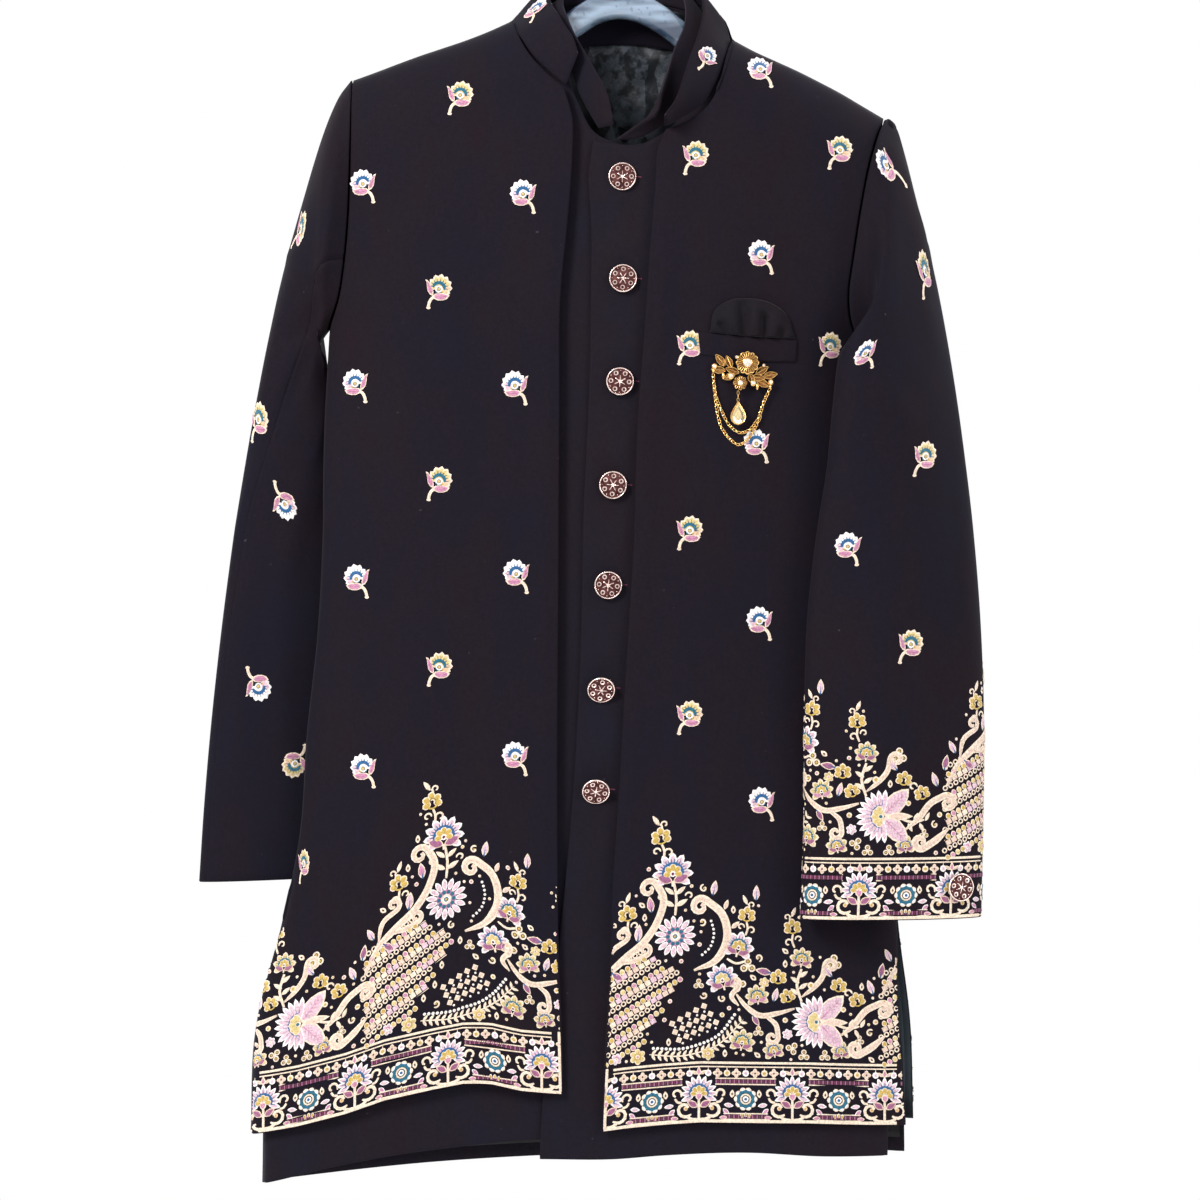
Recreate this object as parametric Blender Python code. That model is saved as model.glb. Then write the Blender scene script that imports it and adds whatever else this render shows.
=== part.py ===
"""Sherwani coat on its hanger: an open, embroidered coat over a plain buttoned kurta.

Metres, +Z up, the front towards -Y. The origin is the point where the hanger's hook bears on a rail.
Right and left are the wearer's, so right is on the -X side. Tables are in millimetres.
"""

import math

import bpy
import numpy as np

MM = 0.001

# Cloth walls and the room left between pieces.
COAT_WALL = 1.5 * MM
KURTA_WALL = 1.3 * MM
LINING_WALL = 1.0 * MM
COLLAR_WALL = 2.6 * MM
SEAM = 0.5 * MM
ARMHOLE_SEAM = 2.2 * MM
SLEEVE_SEAM = 0.3 * MM
DEAD_BAND = 0.4 * MM

# How far each layer lies inside the coat's own surface.
KURTA_LEFT_INSET = 7.5 * MM
KURTA_RIGHT_INSET = 11 * MM
KURTA_BACK_INSET = 12.2 * MM
COAT_LINING_INSET = 7.2 * MM
KURTA_LINING_INSET = 16.2 * MM
FACING_INSET = 20 * MM
KURTA_COLLAR_INSETS = (9.0 * MM, 10.8 * MM)

SHOULDER_ROUND = 60 * MM
FRONT_POWER = 2.4
BACK_POWER = 2.0

CLOTH_COLOUR = (0.022, 0.019, 0.028, 1.0)
LINING_COLOUR = (0.05, 0.06, 0.07, 1.0)
COPPER_COLOUR = (0.35, 0.16, 0.12, 1.0)
GOLD_COLOUR = (0.83, 0.55, 0.22, 1.0)
CRYSTAL_COLOUR = (0.85, 0.88, 0.9, 1.0)
HANGER_COLOUR = (0.25, 0.32, 0.45, 1.0)
STEEL_COLOUR = (0.6, 0.6, 0.62, 1.0)

BUTTON_RADIUS = 11.9 * MM

HOOK_INNER_RADIUS = 22 * MM
HOOK_WIRE_RADIUS = 1.75 * MM

BUTTON_SIDES = 18
BUTTON_FOOT = 0.3 * MM
CUFF_BUTTON_FOOT = 0.5 * MM
TILTED_BUTTON_LIFT = 6.5 * MM

# The welt and the puff of the pocket square, counted out from the coat's front.
POCKET_LIFT = 0.8 * MM
WELT_WALL = 1.8 * MM
PUFF_DEPTH = 7 * MM
PUFF_FOLDS = 3
PUFF_FOLD = 0.18

# The brooch's layers, counted out from the coat's front, and its plate's outline.
CHAIN_LONG_LIFT = 1.9 * MM
CHAIN_SHORT_LIFT = 3.9 * MM
CHAIN_RADIUS = 0.8 * MM
PLATE_LIFT = 3.2 * MM
PLATE_WALL = 1.4 * MM
PLATE_CENTRE = (103 * MM, -413 * MM)
PLATE_HALF_WIDTH = 26 * MM
PLATE_HALF_HEIGHT = 8.5 * MM
PLATE_LOBE = 0.16
PLATE_LOBES = 7
PLATE_POINTS = 40
BROOCH_FLOWERS = (
    # name, radius, x, z, lift, all but the name in millimetres
    ("brooch_flower_large", 9.8, 108, -409, 6.2),
    ("brooch_flower_small", 6.1, 102, -426, 6.0),
)
FLOWER_SIDES = 18
BROOCH_PIVOT = (100 * MM, -432.6 * MM)
DROP_LIFT = 8.0 * MM
DROP_SQUASH = 0.42


def table(columns, *rows):
    """Rows of millimetres as a dictionary of named columns in metres."""
    return {name: np.array(column, float) * MM for name, column in zip(columns.split(), zip(*rows))}


# The body of the coat: side edges, and how far it stands in front of and behind the side seams.
BODY = table(
    "z right left front back",
    (-1120, -320, 256, 44, 34),
    (-1070, -319, 255, 44, 34),
    (-1014, -317, 255, 45, 35),
    (-982, -315, 253, 45, 35),
    (-930, -305, 247, 46, 36),
    (-882, -289, 241, 46, 37),
    (-830, -279, 237, 47, 38),
    (-720, -270, 231, 48, 40),
    (-600, -258, 226, 51, 42),
    (-480, -256, 222, 55, 44),
    (-396, -252, 223, 58, 46),
    (-380, -251, 229, 59, 47),
    (-345, -256, 243, 60, 48),
    (-300, -259, 252, 60, 48),
    (-200, -262, 256, 56, 46),
    (-100, -262, 256, 46, 42),
)

# The shoulder line, and how it rises behind the neck.
SHOULDER = table(
    "x front back",
    (-270, -174, -174),
    (-230, -161, -161),
    (-179, -142, -142),
    (-114, -119, -119),
    (-94, -110, -110),
    (-60, -97, -84),
    (0, -90, -62),
    (60, -100, -86),
    (98, -126, -126),
    (158, -155, -155),
    (189, -171, -171),
    (228, -194, -194),
    (270, -216, -216),
)

# Where the coat's and the kurta's shoulder seams begin and end, from the wearer's right.
COAT_SHOULDERS = (-230 * MM, -94 * MM, 98 * MM, 228 * MM)
KURTA_SHOULDERS = (-216 * MM, -87 * MM, 86 * MM, 212 * MM)
COAT_NECK_RIGHT = table("x z", (-94, -110), (-86, -130), (-77, -146), (-63, -162), (-48, -175))
COAT_OPENING_RIGHT = table(
    "x z",
    (-49, -1031),
    (-50, -983),
    (-53, -900),
    (-54, -780),
    (-53, -600),
    (-52, -443),
    (-51, -350),
    (-45, -287),
    (-41, -230),
    (-41, -200),
    (-48, -175),
)
COAT_HEM_RIGHT = table(
    "x z",
    (-319, -1070),
    (-277, -1061),
    (-234, -1049),
    (-201, -1037),
    (-158, -1027),
    (-133, -1022),
    (-111, -1022),
    (-85, -1028),
    (-49, -1031),
)
ARMHOLE_RIGHT_FRONT = table(
    "x z",
    (-251, -380),
    (-240.5, -352),
    (-235, -320),
    (-232, -290),
    (-230, -246),
    (-229.5, -205),
    (-230, -161),
)
ARMHOLE_RIGHT_BACK = table(
    "x z", (-251, -380), (-238, -362), (-227, -330), (-222, -270), (-224, -212), (-230, -161)
)

COAT_NECK_LEFT = table("x z", (39, -211), (57, -204), (74, -191), (85, -171), (93, -146), (98, -126))
COAT_OPENING_LEFT = table(
    "x z",
    (-15, -1063),
    (-11, -970),
    (-8, -921),
    (-5, -845),
    (0, -770),
    (6, -664),
    (12, -567),
    (16, -451),
    (21, -386),
    (26, -312),
    (31, -253),
    (33, -226),
    (39, -211),
)
COAT_HEM_LEFT = table(
    "x z",
    (-15, -1063),
    (5, -1060),
    (37, -1057),
    (68, -1055),
    (162, -1057),
    (246, -1061),
)
COAT_SLIT_LEFT = table(
    "x z",
    (246, -1061),
    (244, -1025),
    (240, -970),
    (239, -932),
    (239, -882),
    (234, -815),
    (231, -720),
)
ARMHOLE_LEFT_FRONT = table(
    "x z",
    (223, -396),
    (209, -392),
    (200, -382),
    (194.5, -362),
    (194, -346),
    (197, -323),
    (201, -295),
    (206, -265),
    (212, -236),
    (220, -211),
    (228, -194),
)
ARMHOLE_LEFT_BACK = table(
    "x z", (223, -396), (217, -380), (214, -345), (216, -300), (221, -240), (228, -194)
)

BACK_NECK = table(
    "x z",
    (98, -126),
    (90, -108),
    (60, -93),
    (0, -86),
    (-56, -91),
    (-84, -100),
    (-94, -110),
)
BACK_HEM = table("x z", (254, -1058), (160, -1057), (0, -1058), (-160, -1063), (-318, -1069))

KURTA_NECK_RIGHT = table(
    "x z",
    (-87, -115),
    (-64, -127),
    (-48, -155),
    (-36, -186),
    (-21, -213),
    (4, -224),
)
KURTA_UNDERLAP = table(
    "x z",
    (-36, -1070),
    (-24, -907),
    (-8, -780),
    (2, -600),
    (6, -443),
    (6, -300),
    (4, -224),
)
KURTA_HEM_RIGHT = table(
    "x z",
    (-309, -1113),
    (-246, -1096),
    (-187, -1084),
    (-144, -1078),
    (-90, -1072),
    (-36, -1070),
)
KURTA_ARMHOLE_RIGHT = table("x z", (-240, -388), (-226, -352), (-217, -290), (-214, -212), (-216, -164))

KURTA_NECK_LEFT = table(
    "x z",
    (-22, -220),
    (-3, -223),
    (17, -223),
    (34, -215),
    (54, -198),
    (72, -171),
    (81, -150),
    (86, -134),
)
KURTA_PLACKET = table(
    "x z",
    (-68, -1087),
    (-65, -1032),
    (-52, -907),
    (-45, -841),
    (-38, -754),
    (-33, -656),
    (-30, -524),
    (-26, -443),
    (-24, -346),
    (-24, -287),
    (-26, -246),
    (-22, -220),
)
KURTA_HEM_LEFT = table(
    "x z",
    (-68, -1087),
    (-4, -1087),
    (36, -1084),
    (110, -1082),
    (173, -1086),
    (230, -1087),
)
KURTA_ARMHOLE_LEFT = table("x z", (209, -412), (186, -385), (181, -340), (194, -260), (212, -192))

KURTA_BACK_NECK = table(
    "x z",
    (88, -133),
    (80, -114),
    (56, -99),
    (0, -92),
    (-52, -97),
    (-77, -105),
    (-87, -115),
)
KURTA_BACK_HEM = table("x z", (246, -1086), (160, -1086), (0, -1090), (-160, -1098), (-307, -1112))

# Stand collars from the wearer's right end round the back to the left end. Depths at the top edge only,
# because the foot of a collar lies on the neck seam; face is -1 in front of the shoulder and 1 behind.
COAT_COLLAR = (
    # foot x, foot z, face, top x, top z, top y
    (-47, -172, -1, -37, -147, -63),
    (-61, -160, -1, -41, -134, -60),
    (-75, -145, -1, -48, -122, -52),
    (-85, -129, -1, -54, -110, -41),
    (-93, -110, -1, -60, -98, -24),
    (-83, -99, 1, -62, -80, -5),
    (-56, -90, 1, -49, -58, 16),
    (0, -85, 1, 0, -47, 27),
    (60, -92, 1, 51, -58, 17),
    (89, -107, 1, 69, -80, -3),
    (95.5, -125, -1, 73, -104, -24),
    (90.5, -145, -1, 68, -128, -44),
    (82, -169, -1, 60, -152, -62),
    (71, -188, -1, 54, -172, -72),
    (55, -200, -1, 48, -190, -77),
    (39, -208, -1, 39, -203, -78),
)
KURTA_COLLAR = (
    (-19, -208, -1, -7, -206, -58),
    (-33, -183, -1, -13, -180, -60),
    (-45, -152, -1, -24, -158, -58),
    (-61, -124, -1, -37, -134, -50),
    (-80, -108, -1, -46, -112, -34),
    (-76, -103, 1, -50, -92, -10),
    (-52, -96, 1, -42, -66, 12),
    (0, -91, 1, 0, -56, 20),
    (55, -98, 1, 44, -66, 11),
    (79, -112, 1, 56, -90, -8),
    (80, -139, -1, 56, -118, -30),
    (69, -168, -1, 47, -142, -46),
    (52, -193, -1, 41, -164, -56),
    (33, -209, -1, 36, -182, -62),
    (15, -218, -1, 33, -196, -64),
    (-3, -219, -1, 30, -201, -64),
)
FACING_LOWER = table("x z", (70, -155), (56, -147), (0, -138), (-54, -146), (-70, -153))
FACING_UPPER = table("x z", (68, -121), (50, -111), (0, -101), (-46, -110), (-66, -121))

# Sleeves, a row for each ring from just below the armhole to the cuff: its outer and inner ends,
# half its depth, and the angles of the front and back seams, counted from the outer end over the front.
SLEEVE_COLUMNS = "outer_x outer_z outer_y inner_x inner_z inner_y half_depth front_x back_x"
SLEEVE_RIGHT = table(
    SLEEVE_COLUMNS,
    (-243, -176, 0, -258, -386, 2, 42, 4, 4),
    (-253, -199, 0, -261, -392, 8, 43, 3, 1),
    (-263, -229, 1, -261, -402, 16, 42, 2, 0),
    (-274, -267, 2, -256, -414, 25, 40, 0, 0),
    (-287, -312, 4, -246, -430, 34, 37, 0, 0),
    (-298, -355, 7, -234, -452, 42, 34, 0, 0),
    (-310, -410, 10, -220, -486, 50, 31, 0, 0),
    (-322, -472, 14, -209, -528, 55, 29, 0, 0),
    (-332, -530, 18, -205, -574, 57, 27, 0, 0),
    (-343, -607, 22, -205, -634, 57, 26, 0, 0),
    (-354, -700, 26, -207, -712, 57, 25, 0, 0),
    (-362, -785, 28, -211, -788, 56, 24, 0, 0),
    (-367, -855, 29, -214, -850, 55, 24, 0, 0),
)
SLEEVE_LEFT = table(
    SLEEVE_COLUMNS,
    (233, -197, 0, 228, -404, -12, 42, -20, 1),
    (240, -204, -1, 225, -410, -26, 43, -16, 6),
    (246, -226, -3, 213, -406, -40, 42, -9, 10),
    (254, -260, -6, 199, -398, -50, 40, -3, 12),
    (264, -300, -10, 189, -396, -56, 37, 0, 11),
    (275, -350, -15, 184, -410, -58, 34, 0, 8),
    (286, -415, -21, 180, -446, -59, 31, 0, 4),
    (295, -485, -27, 175, -500, -59, 28, 0, 0),
    (302, -550, -32, 166, -558, -58, 27, 0, 0),
    (308, -630, -36, 158, -632, -57, 26, 0, 0),
    (311, -715, -39, 156, -715, -56, 25, 0, 0),
    (310, -800, -41, 156, -800, -55, 25, 0, 0),
    (308, -879, -42, 153, -880, -54, 26, 0, 0),
)
SEAMS_RIGHT = (
    (115, 255), (112, 252), (108, 250), (104, 248), (97, 244), (90, 238), (76, 232),
    (60, 225), (46, 219), (34, 214), (29, 210), (26, 208), (25, 207), (25, 207),
)
SEAMS_LEFT = (
    (140, 285), (143, 285), (147, 285), (151, 285), (155, 286), (158, 287), (160, 288),
    (162, 289), (163, 290), (164, 290), (165, 290), (165, 290), (165, 290), (165, 290),
)

FRONT_BUTTONS = (
    # x, z, tilt of the face down in degrees
    (2, -250.5, 0),
    (2.5, -337, 0),
    (0, -424, 4),
    (-6, -512, 4),
    (-10, -597, 6),
    (-16, -685, 26),
    (-20.5, -771.5, 28),
)
CUFF_BUTTON_LEFT = (-853 * MM, math.radians(44))
CUFF_BUTTON_RIGHT = (-828 * MM, math.radians(-33))

WELT_LOWER = table("x z", (69, -402), (110, -407), (149, -407))
WELT_UPPER = table("x z", (67, -383), (110, -387), (150, -389))
PUFF_BASE = table("x z", (76, -382.5), (113, -386), (149, -387.5))
PUFF_TOP = table(
    "x z",
    (77, -380),
    (80, -366),
    (92, -357),
    (108, -355),
    (126, -358),
    (141, -368),
    (148, -385),
)

CHAIN_SHORT = table(
    "x z",
    (79, -419.5), (81, -436), (86, -449), (94, -463), (102, -468),
    (109, -466), (116, -458), (123, -440), (127, -431),
)
CHAIN_LONG = table(
    "x z",
    (80, -430), (82, -447), (86, -463), (93, -473), (101, -478), (108, -474), (114, -465), (119, -455),
)


# ---------------------------------------------------------------- curves and surfaces


def smooth(at, xs, ys):
    """A smooth curve through the rows of a table, read at one value or at many."""
    slopes = np.gradient(ys, xs)
    k = np.clip(np.searchsorted(xs, at) - 1, 0, len(xs) - 2)
    step = xs[k + 1] - xs[k]
    u = np.clip((at - xs[k]) / step, 0, 1)
    return (
        (1 + 2 * u) * (1 - u) ** 2 * ys[k]
        + u * (1 - u) ** 2 * step * slopes[k]
        + u * u * (3 - 2 * u) * ys[k + 1]
        + u * u * (u - 1) * step * slopes[k + 1]
    )


def along(points, fractions):
    """Points at these fractions of the length of a smooth curve through the given points."""
    points = np.asarray(points, float)
    chord = np.concatenate([[0], np.cumsum(np.linalg.norm(np.diff(points, axis=0), axis=1))])
    fine = np.linspace(0, chord[-1], 12 * len(points))
    dense = np.stack([smooth(fine, chord, points[:, i]) for i in range(points.shape[1])], axis=1)
    length = np.concatenate([[0], np.cumsum(np.linalg.norm(np.diff(dense, axis=0), axis=1))])
    wanted = np.asarray(fractions) * length[-1]
    return np.stack([np.interp(wanted, length, dense[:, i]) for i in range(points.shape[1])], axis=1)


def edge(rows):
    """A table of x and z as points."""
    return np.stack([rows["x"], rows["z"]], axis=1)


def in_parts(fractions, *parts):
    """An edge of several smooth stretches: each part is (points, the fraction where it ends)."""
    fractions = np.asarray(fractions, float)
    out = np.zeros((len(fractions), 2))
    start = 0.0
    for points, end in parts:
        inside = (fractions >= start - 1e-9) & (fractions <= end + 1e-9)
        out[inside] = along(points, (fractions[inside] - start) / (end - start))
        start = end
    return out


def patch(bottom, top, first, last, s, t):
    """Grid of x and z between four edges: s runs from first to last, t from bottom to top."""
    s = np.asarray(s)[:, None, None]
    t = np.asarray(t)[None, :, None]
    first = first + (1 - t[0]) * (bottom[0] - first[0]) + t[0] * (top[0] - first[-1])
    last = last + (1 - t[0]) * (bottom[-1] - last[0]) + t[0] * (top[-1] - last[-1])
    corners = (
        (1 - s) * (1 - t) * bottom[0]
        + s * (1 - t) * bottom[-1]
        + (1 - s) * t * top[0]
        + s * t * top[-1]
    )
    across = (1 - t) * bottom[:, None] + t * top[:, None]
    up = (1 - s) * first[None] + s * last[None]
    return across + up - corners


def body_side(z, side):
    return smooth(z, BODY["z"], BODY[side])


def depth(x, z, face, inset=0.0):
    """How far the body stands from the plane of its side seams at x and z, on its front or back."""
    right = body_side(z, "right") + inset
    left = body_side(z, "left") - inset
    half = (left - right) / 2
    from_side = np.minimum(x - right, left - x) - DEAD_BAND
    u = 1 - np.clip(from_side, 0, half) / half
    power = FRONT_POWER if face < 0 else BACK_POWER
    column = "front" if face < 0 else "back"
    across = (1 - u**power) ** (1 / power)
    below = smooth(x, SHOULDER["x"], SHOULDER[column]) - inset - z - DEAD_BAND
    v = 1 - np.clip(below / SHOULDER_ROUND, 0, 1)
    return (body_side(z, column) - inset) * across * np.sqrt(1 - v * v)


def on_body(xz, face, inset=0.0):
    """Points of the body's front (face -1) or back (face 1) at these x and z."""
    x = xz[..., 0]
    z = xz[..., 1]
    y = face * (SEAM + depth(x, z, face, inset))
    return np.stack([x, y, z], axis=-1)


def side_edge(side, bottom, top, inset=0.0, count=9):
    """The body's side edge between two heights, as points."""
    z = np.linspace(bottom, top, count)
    inward = inset if side == "right" else -inset
    return np.stack([body_side(z, side) + inward, z], axis=1)


def tangents(grid, axis):
    """Directions along the grid, where the shorter of the two steps at a point counts for more."""
    steps = np.diff(grid, axis=axis)
    steps = steps / np.sum(steps**2, axis=-1, keepdims=True)
    ends = [(1, 0) if a == axis else (0, 0) for a in range(3)]
    starts = [(0, 1) if a == axis else (0, 0) for a in range(3)]
    return np.pad(steps, ends) + np.pad(steps, starts)


def shoulder_edge(face, start, end, inset=0.0, count=8):
    """The shoulder seam between two places, as points."""
    x = np.linspace(start, end, count)
    z = smooth(x, SHOULDER["x"], SHOULDER["front" if face < 0 else "back"]) - inset
    return np.stack([x, z], axis=1)


def normals(grid):
    """Unit normals of a grid, on the side of (first direction) x (second direction)."""
    n = np.cross(tangents(grid, 0), tangents(grid, 1))
    return n / np.linalg.norm(n, axis=-1, keepdims=True)


# ---------------------------------------------------------------- solids


def material(name, colour, roughness, metallic=0.0):
    made = bpy.data.materials.new(name)
    made.use_nodes = True
    shader = made.node_tree.nodes["Principled BSDF"]
    shader.inputs["Base Color"].default_value = colour
    shader.inputs["Roughness"].default_value = roughness
    shader.inputs["Metallic"].default_value = metallic
    return made


def add_object(name, points, faces, finish):
    mesh = bpy.data.meshes.new(name)
    mesh.from_pydata([tuple(map(float, p)) for p in points], [], faces)
    mesh.update()
    mesh.materials.append(material(name, *finish))
    mesh.shade_smooth()
    mesh.set_sharp_from_angle(angle=math.radians(40))
    made = bpy.data.objects.new(name, mesh)
    bpy.context.scene.collection.objects.link(made)
    return made


def between(name, outside, inside, finish):
    """A closed solid between two grids of the same size. The outside faces (first) x (second)."""
    n, m = outside.shape[:2]
    points = np.concatenate([outside.reshape(-1, 3), inside.reshape(-1, 3)])
    back = n * m
    faces = []
    for i in range(n - 1):
        for j in range(m - 1):
            a = i * m + j
            faces.append((a, a + m, a + m + 1))
            faces.append((a, a + m + 1, a + 1))
            faces.append((back + a, back + a + m + 1, back + a + m))
            faces.append((back + a, back + a + 1, back + a + m + 1))
    rim = [i * m for i in range(n)]
    rim += [(n - 1) * m + j for j in range(1, m)]
    rim += [i * m + m - 1 for i in range(n - 2, -1, -1)]
    rim += [j for j in range(m - 2, 0, -1)]
    for a, b in zip(rim, rim[1:] + rim[:1]):
        faces.append((b, a, back + a, back + b))
    return add_object(name, points, faces, finish)


def cloth(name, grid, wall, finish):
    """A wall of cloth whose outside is the grid."""
    return between(name, grid, grid - normals(grid) * wall, finish)


def panel(name, grid, wall, finish, face):
    """A cloth wall of the body's front or back, kept on its own side of the side seams."""
    inside = grid - normals(grid) * wall
    inside[..., 1] = face * np.maximum(face * inside[..., 1], SEAM)
    return between(name, grid, inside, finish)


def tube(name, path, radius, sides, finish):
    """A round bar along points, closed at both ends. The radius is one value or one for each point."""
    path = np.asarray(path, float)
    radii = np.broadcast_to(radius, (len(path),))
    tangent = np.gradient(path, axis=0)
    tangent /= np.linalg.norm(tangent, axis=1, keepdims=True)
    side = np.cross(tangent[0], (0.0, 1.0, 0.0))
    side /= np.linalg.norm(side)
    points = []
    for p, t, r in zip(path, tangent, radii):
        side = side - t * np.dot(side, t)
        side /= np.linalg.norm(side)
        other = np.cross(t, side)
        for k in range(sides):
            angle = 2 * math.pi * k / sides
            points.append(p + r * (math.cos(angle) * side + math.sin(angle) * other))
    faces = []
    for i in range(len(path) - 1):
        for k in range(sides):
            a = i * sides + k
            b = i * sides + (k + 1) % sides
            faces.append((a, b, b + sides, a + sides))
    faces.append(tuple(reversed(range(sides))))
    faces.append(tuple((len(path) - 1) * sides + k for k in range(sides)))
    return add_object(name, points, faces, finish)


def turned(name, profile, centre, normal, sides, finish, squash=(1.0, 1.0)):
    """A turned solid: profile rows are (radius, height along the normal), from its back to its face."""
    normal = np.asarray(normal, float) / np.linalg.norm(normal)
    across = np.cross((0.0, 0.0, 1.0), normal)
    if np.linalg.norm(across) < 0.01:
        across = np.array((0.0, 1.0, 0.0))
    across /= np.linalg.norm(across)
    up = np.cross(normal, across)
    points = []
    for radius, height in profile:
        for k in range(sides):
            angle = 2 * math.pi * k / sides
            ring = math.cos(angle) * squash[0] * across + math.sin(angle) * squash[1] * up
            points.append(np.asarray(centre) + radius * ring + height * normal)
    faces = [tuple(reversed(range(sides)))]
    for i in range(len(profile) - 1):
        for k in range(sides):
            a = i * sides + k
            b = i * sides + (k + 1) % sides
            faces.append((a, b, b + sides, a + sides))
    faces.append(tuple((len(profile) - 1) * sides + k for k in range(sides)))
    return add_object(name, points, faces, finish)


CLOTH = (CLOTH_COLOUR, 0.85)
LINING = (LINING_COLOUR, 0.35)
COPPER = (COPPER_COLOUR, 0.35, 1.0)
GOLD = (GOLD_COLOUR, 0.25, 1.0)
CRYSTAL = (CRYSTAL_COLOUR, 0.05)
HANGER = (HANGER_COLOUR, 0.15)
STEEL = (STEEL_COLOUR, 0.25, 1.0)


# ---------------------------------------------------------------- the coat's panels

ACROSS_RIGHT = (0, 0.03, 0.09, 0.18, 0.3, 0.43, 0.57, 0.7, 0.775, 0.85, 1)
ACROSS_LEFT = tuple(1 - s for s in reversed(ACROSS_RIGHT))
UP = (
    0, 0.09, 0.18, 0.27, 0.36, 0.45, 0.54, 0.63, 0.7, 0.735,
    0.75, 0.765, 0.8, 0.85, 0.9, 0.94, 0.97, 0.99, 1,
)
ARMPIT = 0.75
SHOULDER_SHARE = 0.7


def outer_front_right():
    s, t = ACROSS_RIGHT, UP
    bottom = along(edge(COAT_HEM_RIGHT), s)
    top = in_parts(s, (shoulder_edge(-1, *COAT_SHOULDERS[:2]), SHOULDER_SHARE), (edge(COAT_NECK_RIGHT), 1))
    side = side_edge("right", -1070 * MM, -380 * MM)
    first = in_parts(t, (side, ARMPIT), (edge(ARMHOLE_RIGHT_FRONT), 1))
    last = along(edge(COAT_OPENING_RIGHT), t)
    grid = on_body(patch(bottom, top, first, last, s, t), -1)
    panel("outer_front_right", grid, COAT_WALL, CLOTH, -1)


def outer_front_left():
    s, t = ACROSS_LEFT, UP
    bottom = along(edge(COAT_HEM_LEFT), s)
    top = in_parts(s, (edge(COAT_NECK_LEFT), 1 - SHOULDER_SHARE), (shoulder_edge(-1, *COAT_SHOULDERS[2:]), 1))
    first = along(edge(COAT_OPENING_LEFT), t)
    slit_top = COAT_SLIT_LEFT["z"][-1]
    last = in_parts(
        t,
        (edge(COAT_SLIT_LEFT), 0.38),
        (side_edge("left", slit_top, -396 * MM), ARMPIT - 0.02),
        (edge(ARMHOLE_LEFT_FRONT), 1),
    )
    grid = on_body(patch(bottom, top, first, last, s, t), -1)
    panel("outer_front_left", grid, COAT_WALL, CLOTH, -1)


def back_patch(s, t, hem, neck, bottom_z, armholes, inset):
    """Grid of a back, from the wearer's left side to the right."""
    left_bottom, right_bottom = bottom_z
    left_armhole, right_armhole = armholes
    bottom = along(hem, s)
    top = in_parts(
        s,
        (left_armhole[1], 0.33),
        (neck, 0.67),
        (right_armhole[1], 1),
    )
    left_side = side_edge("left", left_bottom, -396 * MM, inset)
    right_side = side_edge("right", right_bottom, -380 * MM, inset)
    first = in_parts(t, (left_side, ARMPIT), (left_armhole[0], 1))
    last = in_parts(t, (right_side, ARMPIT), (right_armhole[0], 1))
    return on_body(patch(bottom, top, first, last, s, t), 1, inset)


ACROSS_BACK = (0, 0.02, 0.07, 0.15, 0.24, 0.33, 0.41, 0.5, 0.59, 0.67, 0.76, 0.85, 0.93, 0.98, 1)
UP_BACK = (0, 0.14, 0.28, 0.42, 0.57, 0.7, 0.75, 0.79, 0.84, 0.89, 0.94, 0.97, 0.99, 1)


def coat_back_grid(s, t, inset, hem_rise):
    """Grid of the coat's back, or of its lining, which lies inset within it."""
    hem = edge(BACK_HEM) + (0, hem_rise)
    hem[0, 0] -= inset
    hem[-1, 0] += inset
    tip_right, neck_right, neck_left, tip_left = COAT_SHOULDERS
    left = (edge(ARMHOLE_LEFT_BACK) - (inset, 0), shoulder_edge(1, tip_left, neck_left, inset))
    right = (edge(ARMHOLE_RIGHT_BACK) + (inset, 0), shoulder_edge(1, neck_right, tip_right, inset))
    ends = (BACK_HEM["z"][0] + hem_rise, BACK_HEM["z"][-1] + hem_rise)
    return back_patch(s, t, hem, edge(BACK_NECK) - (0, inset), ends, (left, right), inset)


def outer_back():
    grid = coat_back_grid(ACROSS_BACK, UP_BACK, 0.0, 0.0)
    panel("outer_back", grid, COAT_WALL, CLOTH, 1)


def outer_back_lining():
    grid = coat_back_grid(ACROSS_BACK, UP_BACK, COAT_LINING_INSET, 1.5 * MM)
    panel("outer_back_lining", grid, LINING_WALL, LINING, 1)


# ---------------------------------------------------------------- the kurta's panels


def inner_front_right():
    s = (0, 0.03, 0.1, 0.22, 0.38, 0.55, 0.66, 0.78, 0.89, 1)
    t = (0, 0.12, 0.24, 0.36, 0.48, 0.6, 0.7, 0.75, 0.83, 0.9, 0.95, 0.98, 1)
    inset = KURTA_RIGHT_INSET
    bottom = along(edge(KURTA_HEM_RIGHT), s)
    top = in_parts(s, (shoulder_edge(-1, *KURTA_SHOULDERS[:2], inset), 0.55), (edge(KURTA_NECK_RIGHT), 1))
    side = side_edge("right", -1113 * MM, -388 * MM, inset)
    first = in_parts(t, (side, ARMPIT), (edge(KURTA_ARMHOLE_RIGHT), 1))
    last = along(edge(KURTA_UNDERLAP), t)
    grid = on_body(patch(bottom, top, first, last, s, t), -1, inset)
    panel("inner_front_right", grid, KURTA_WALL, CLOTH, -1)


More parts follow.
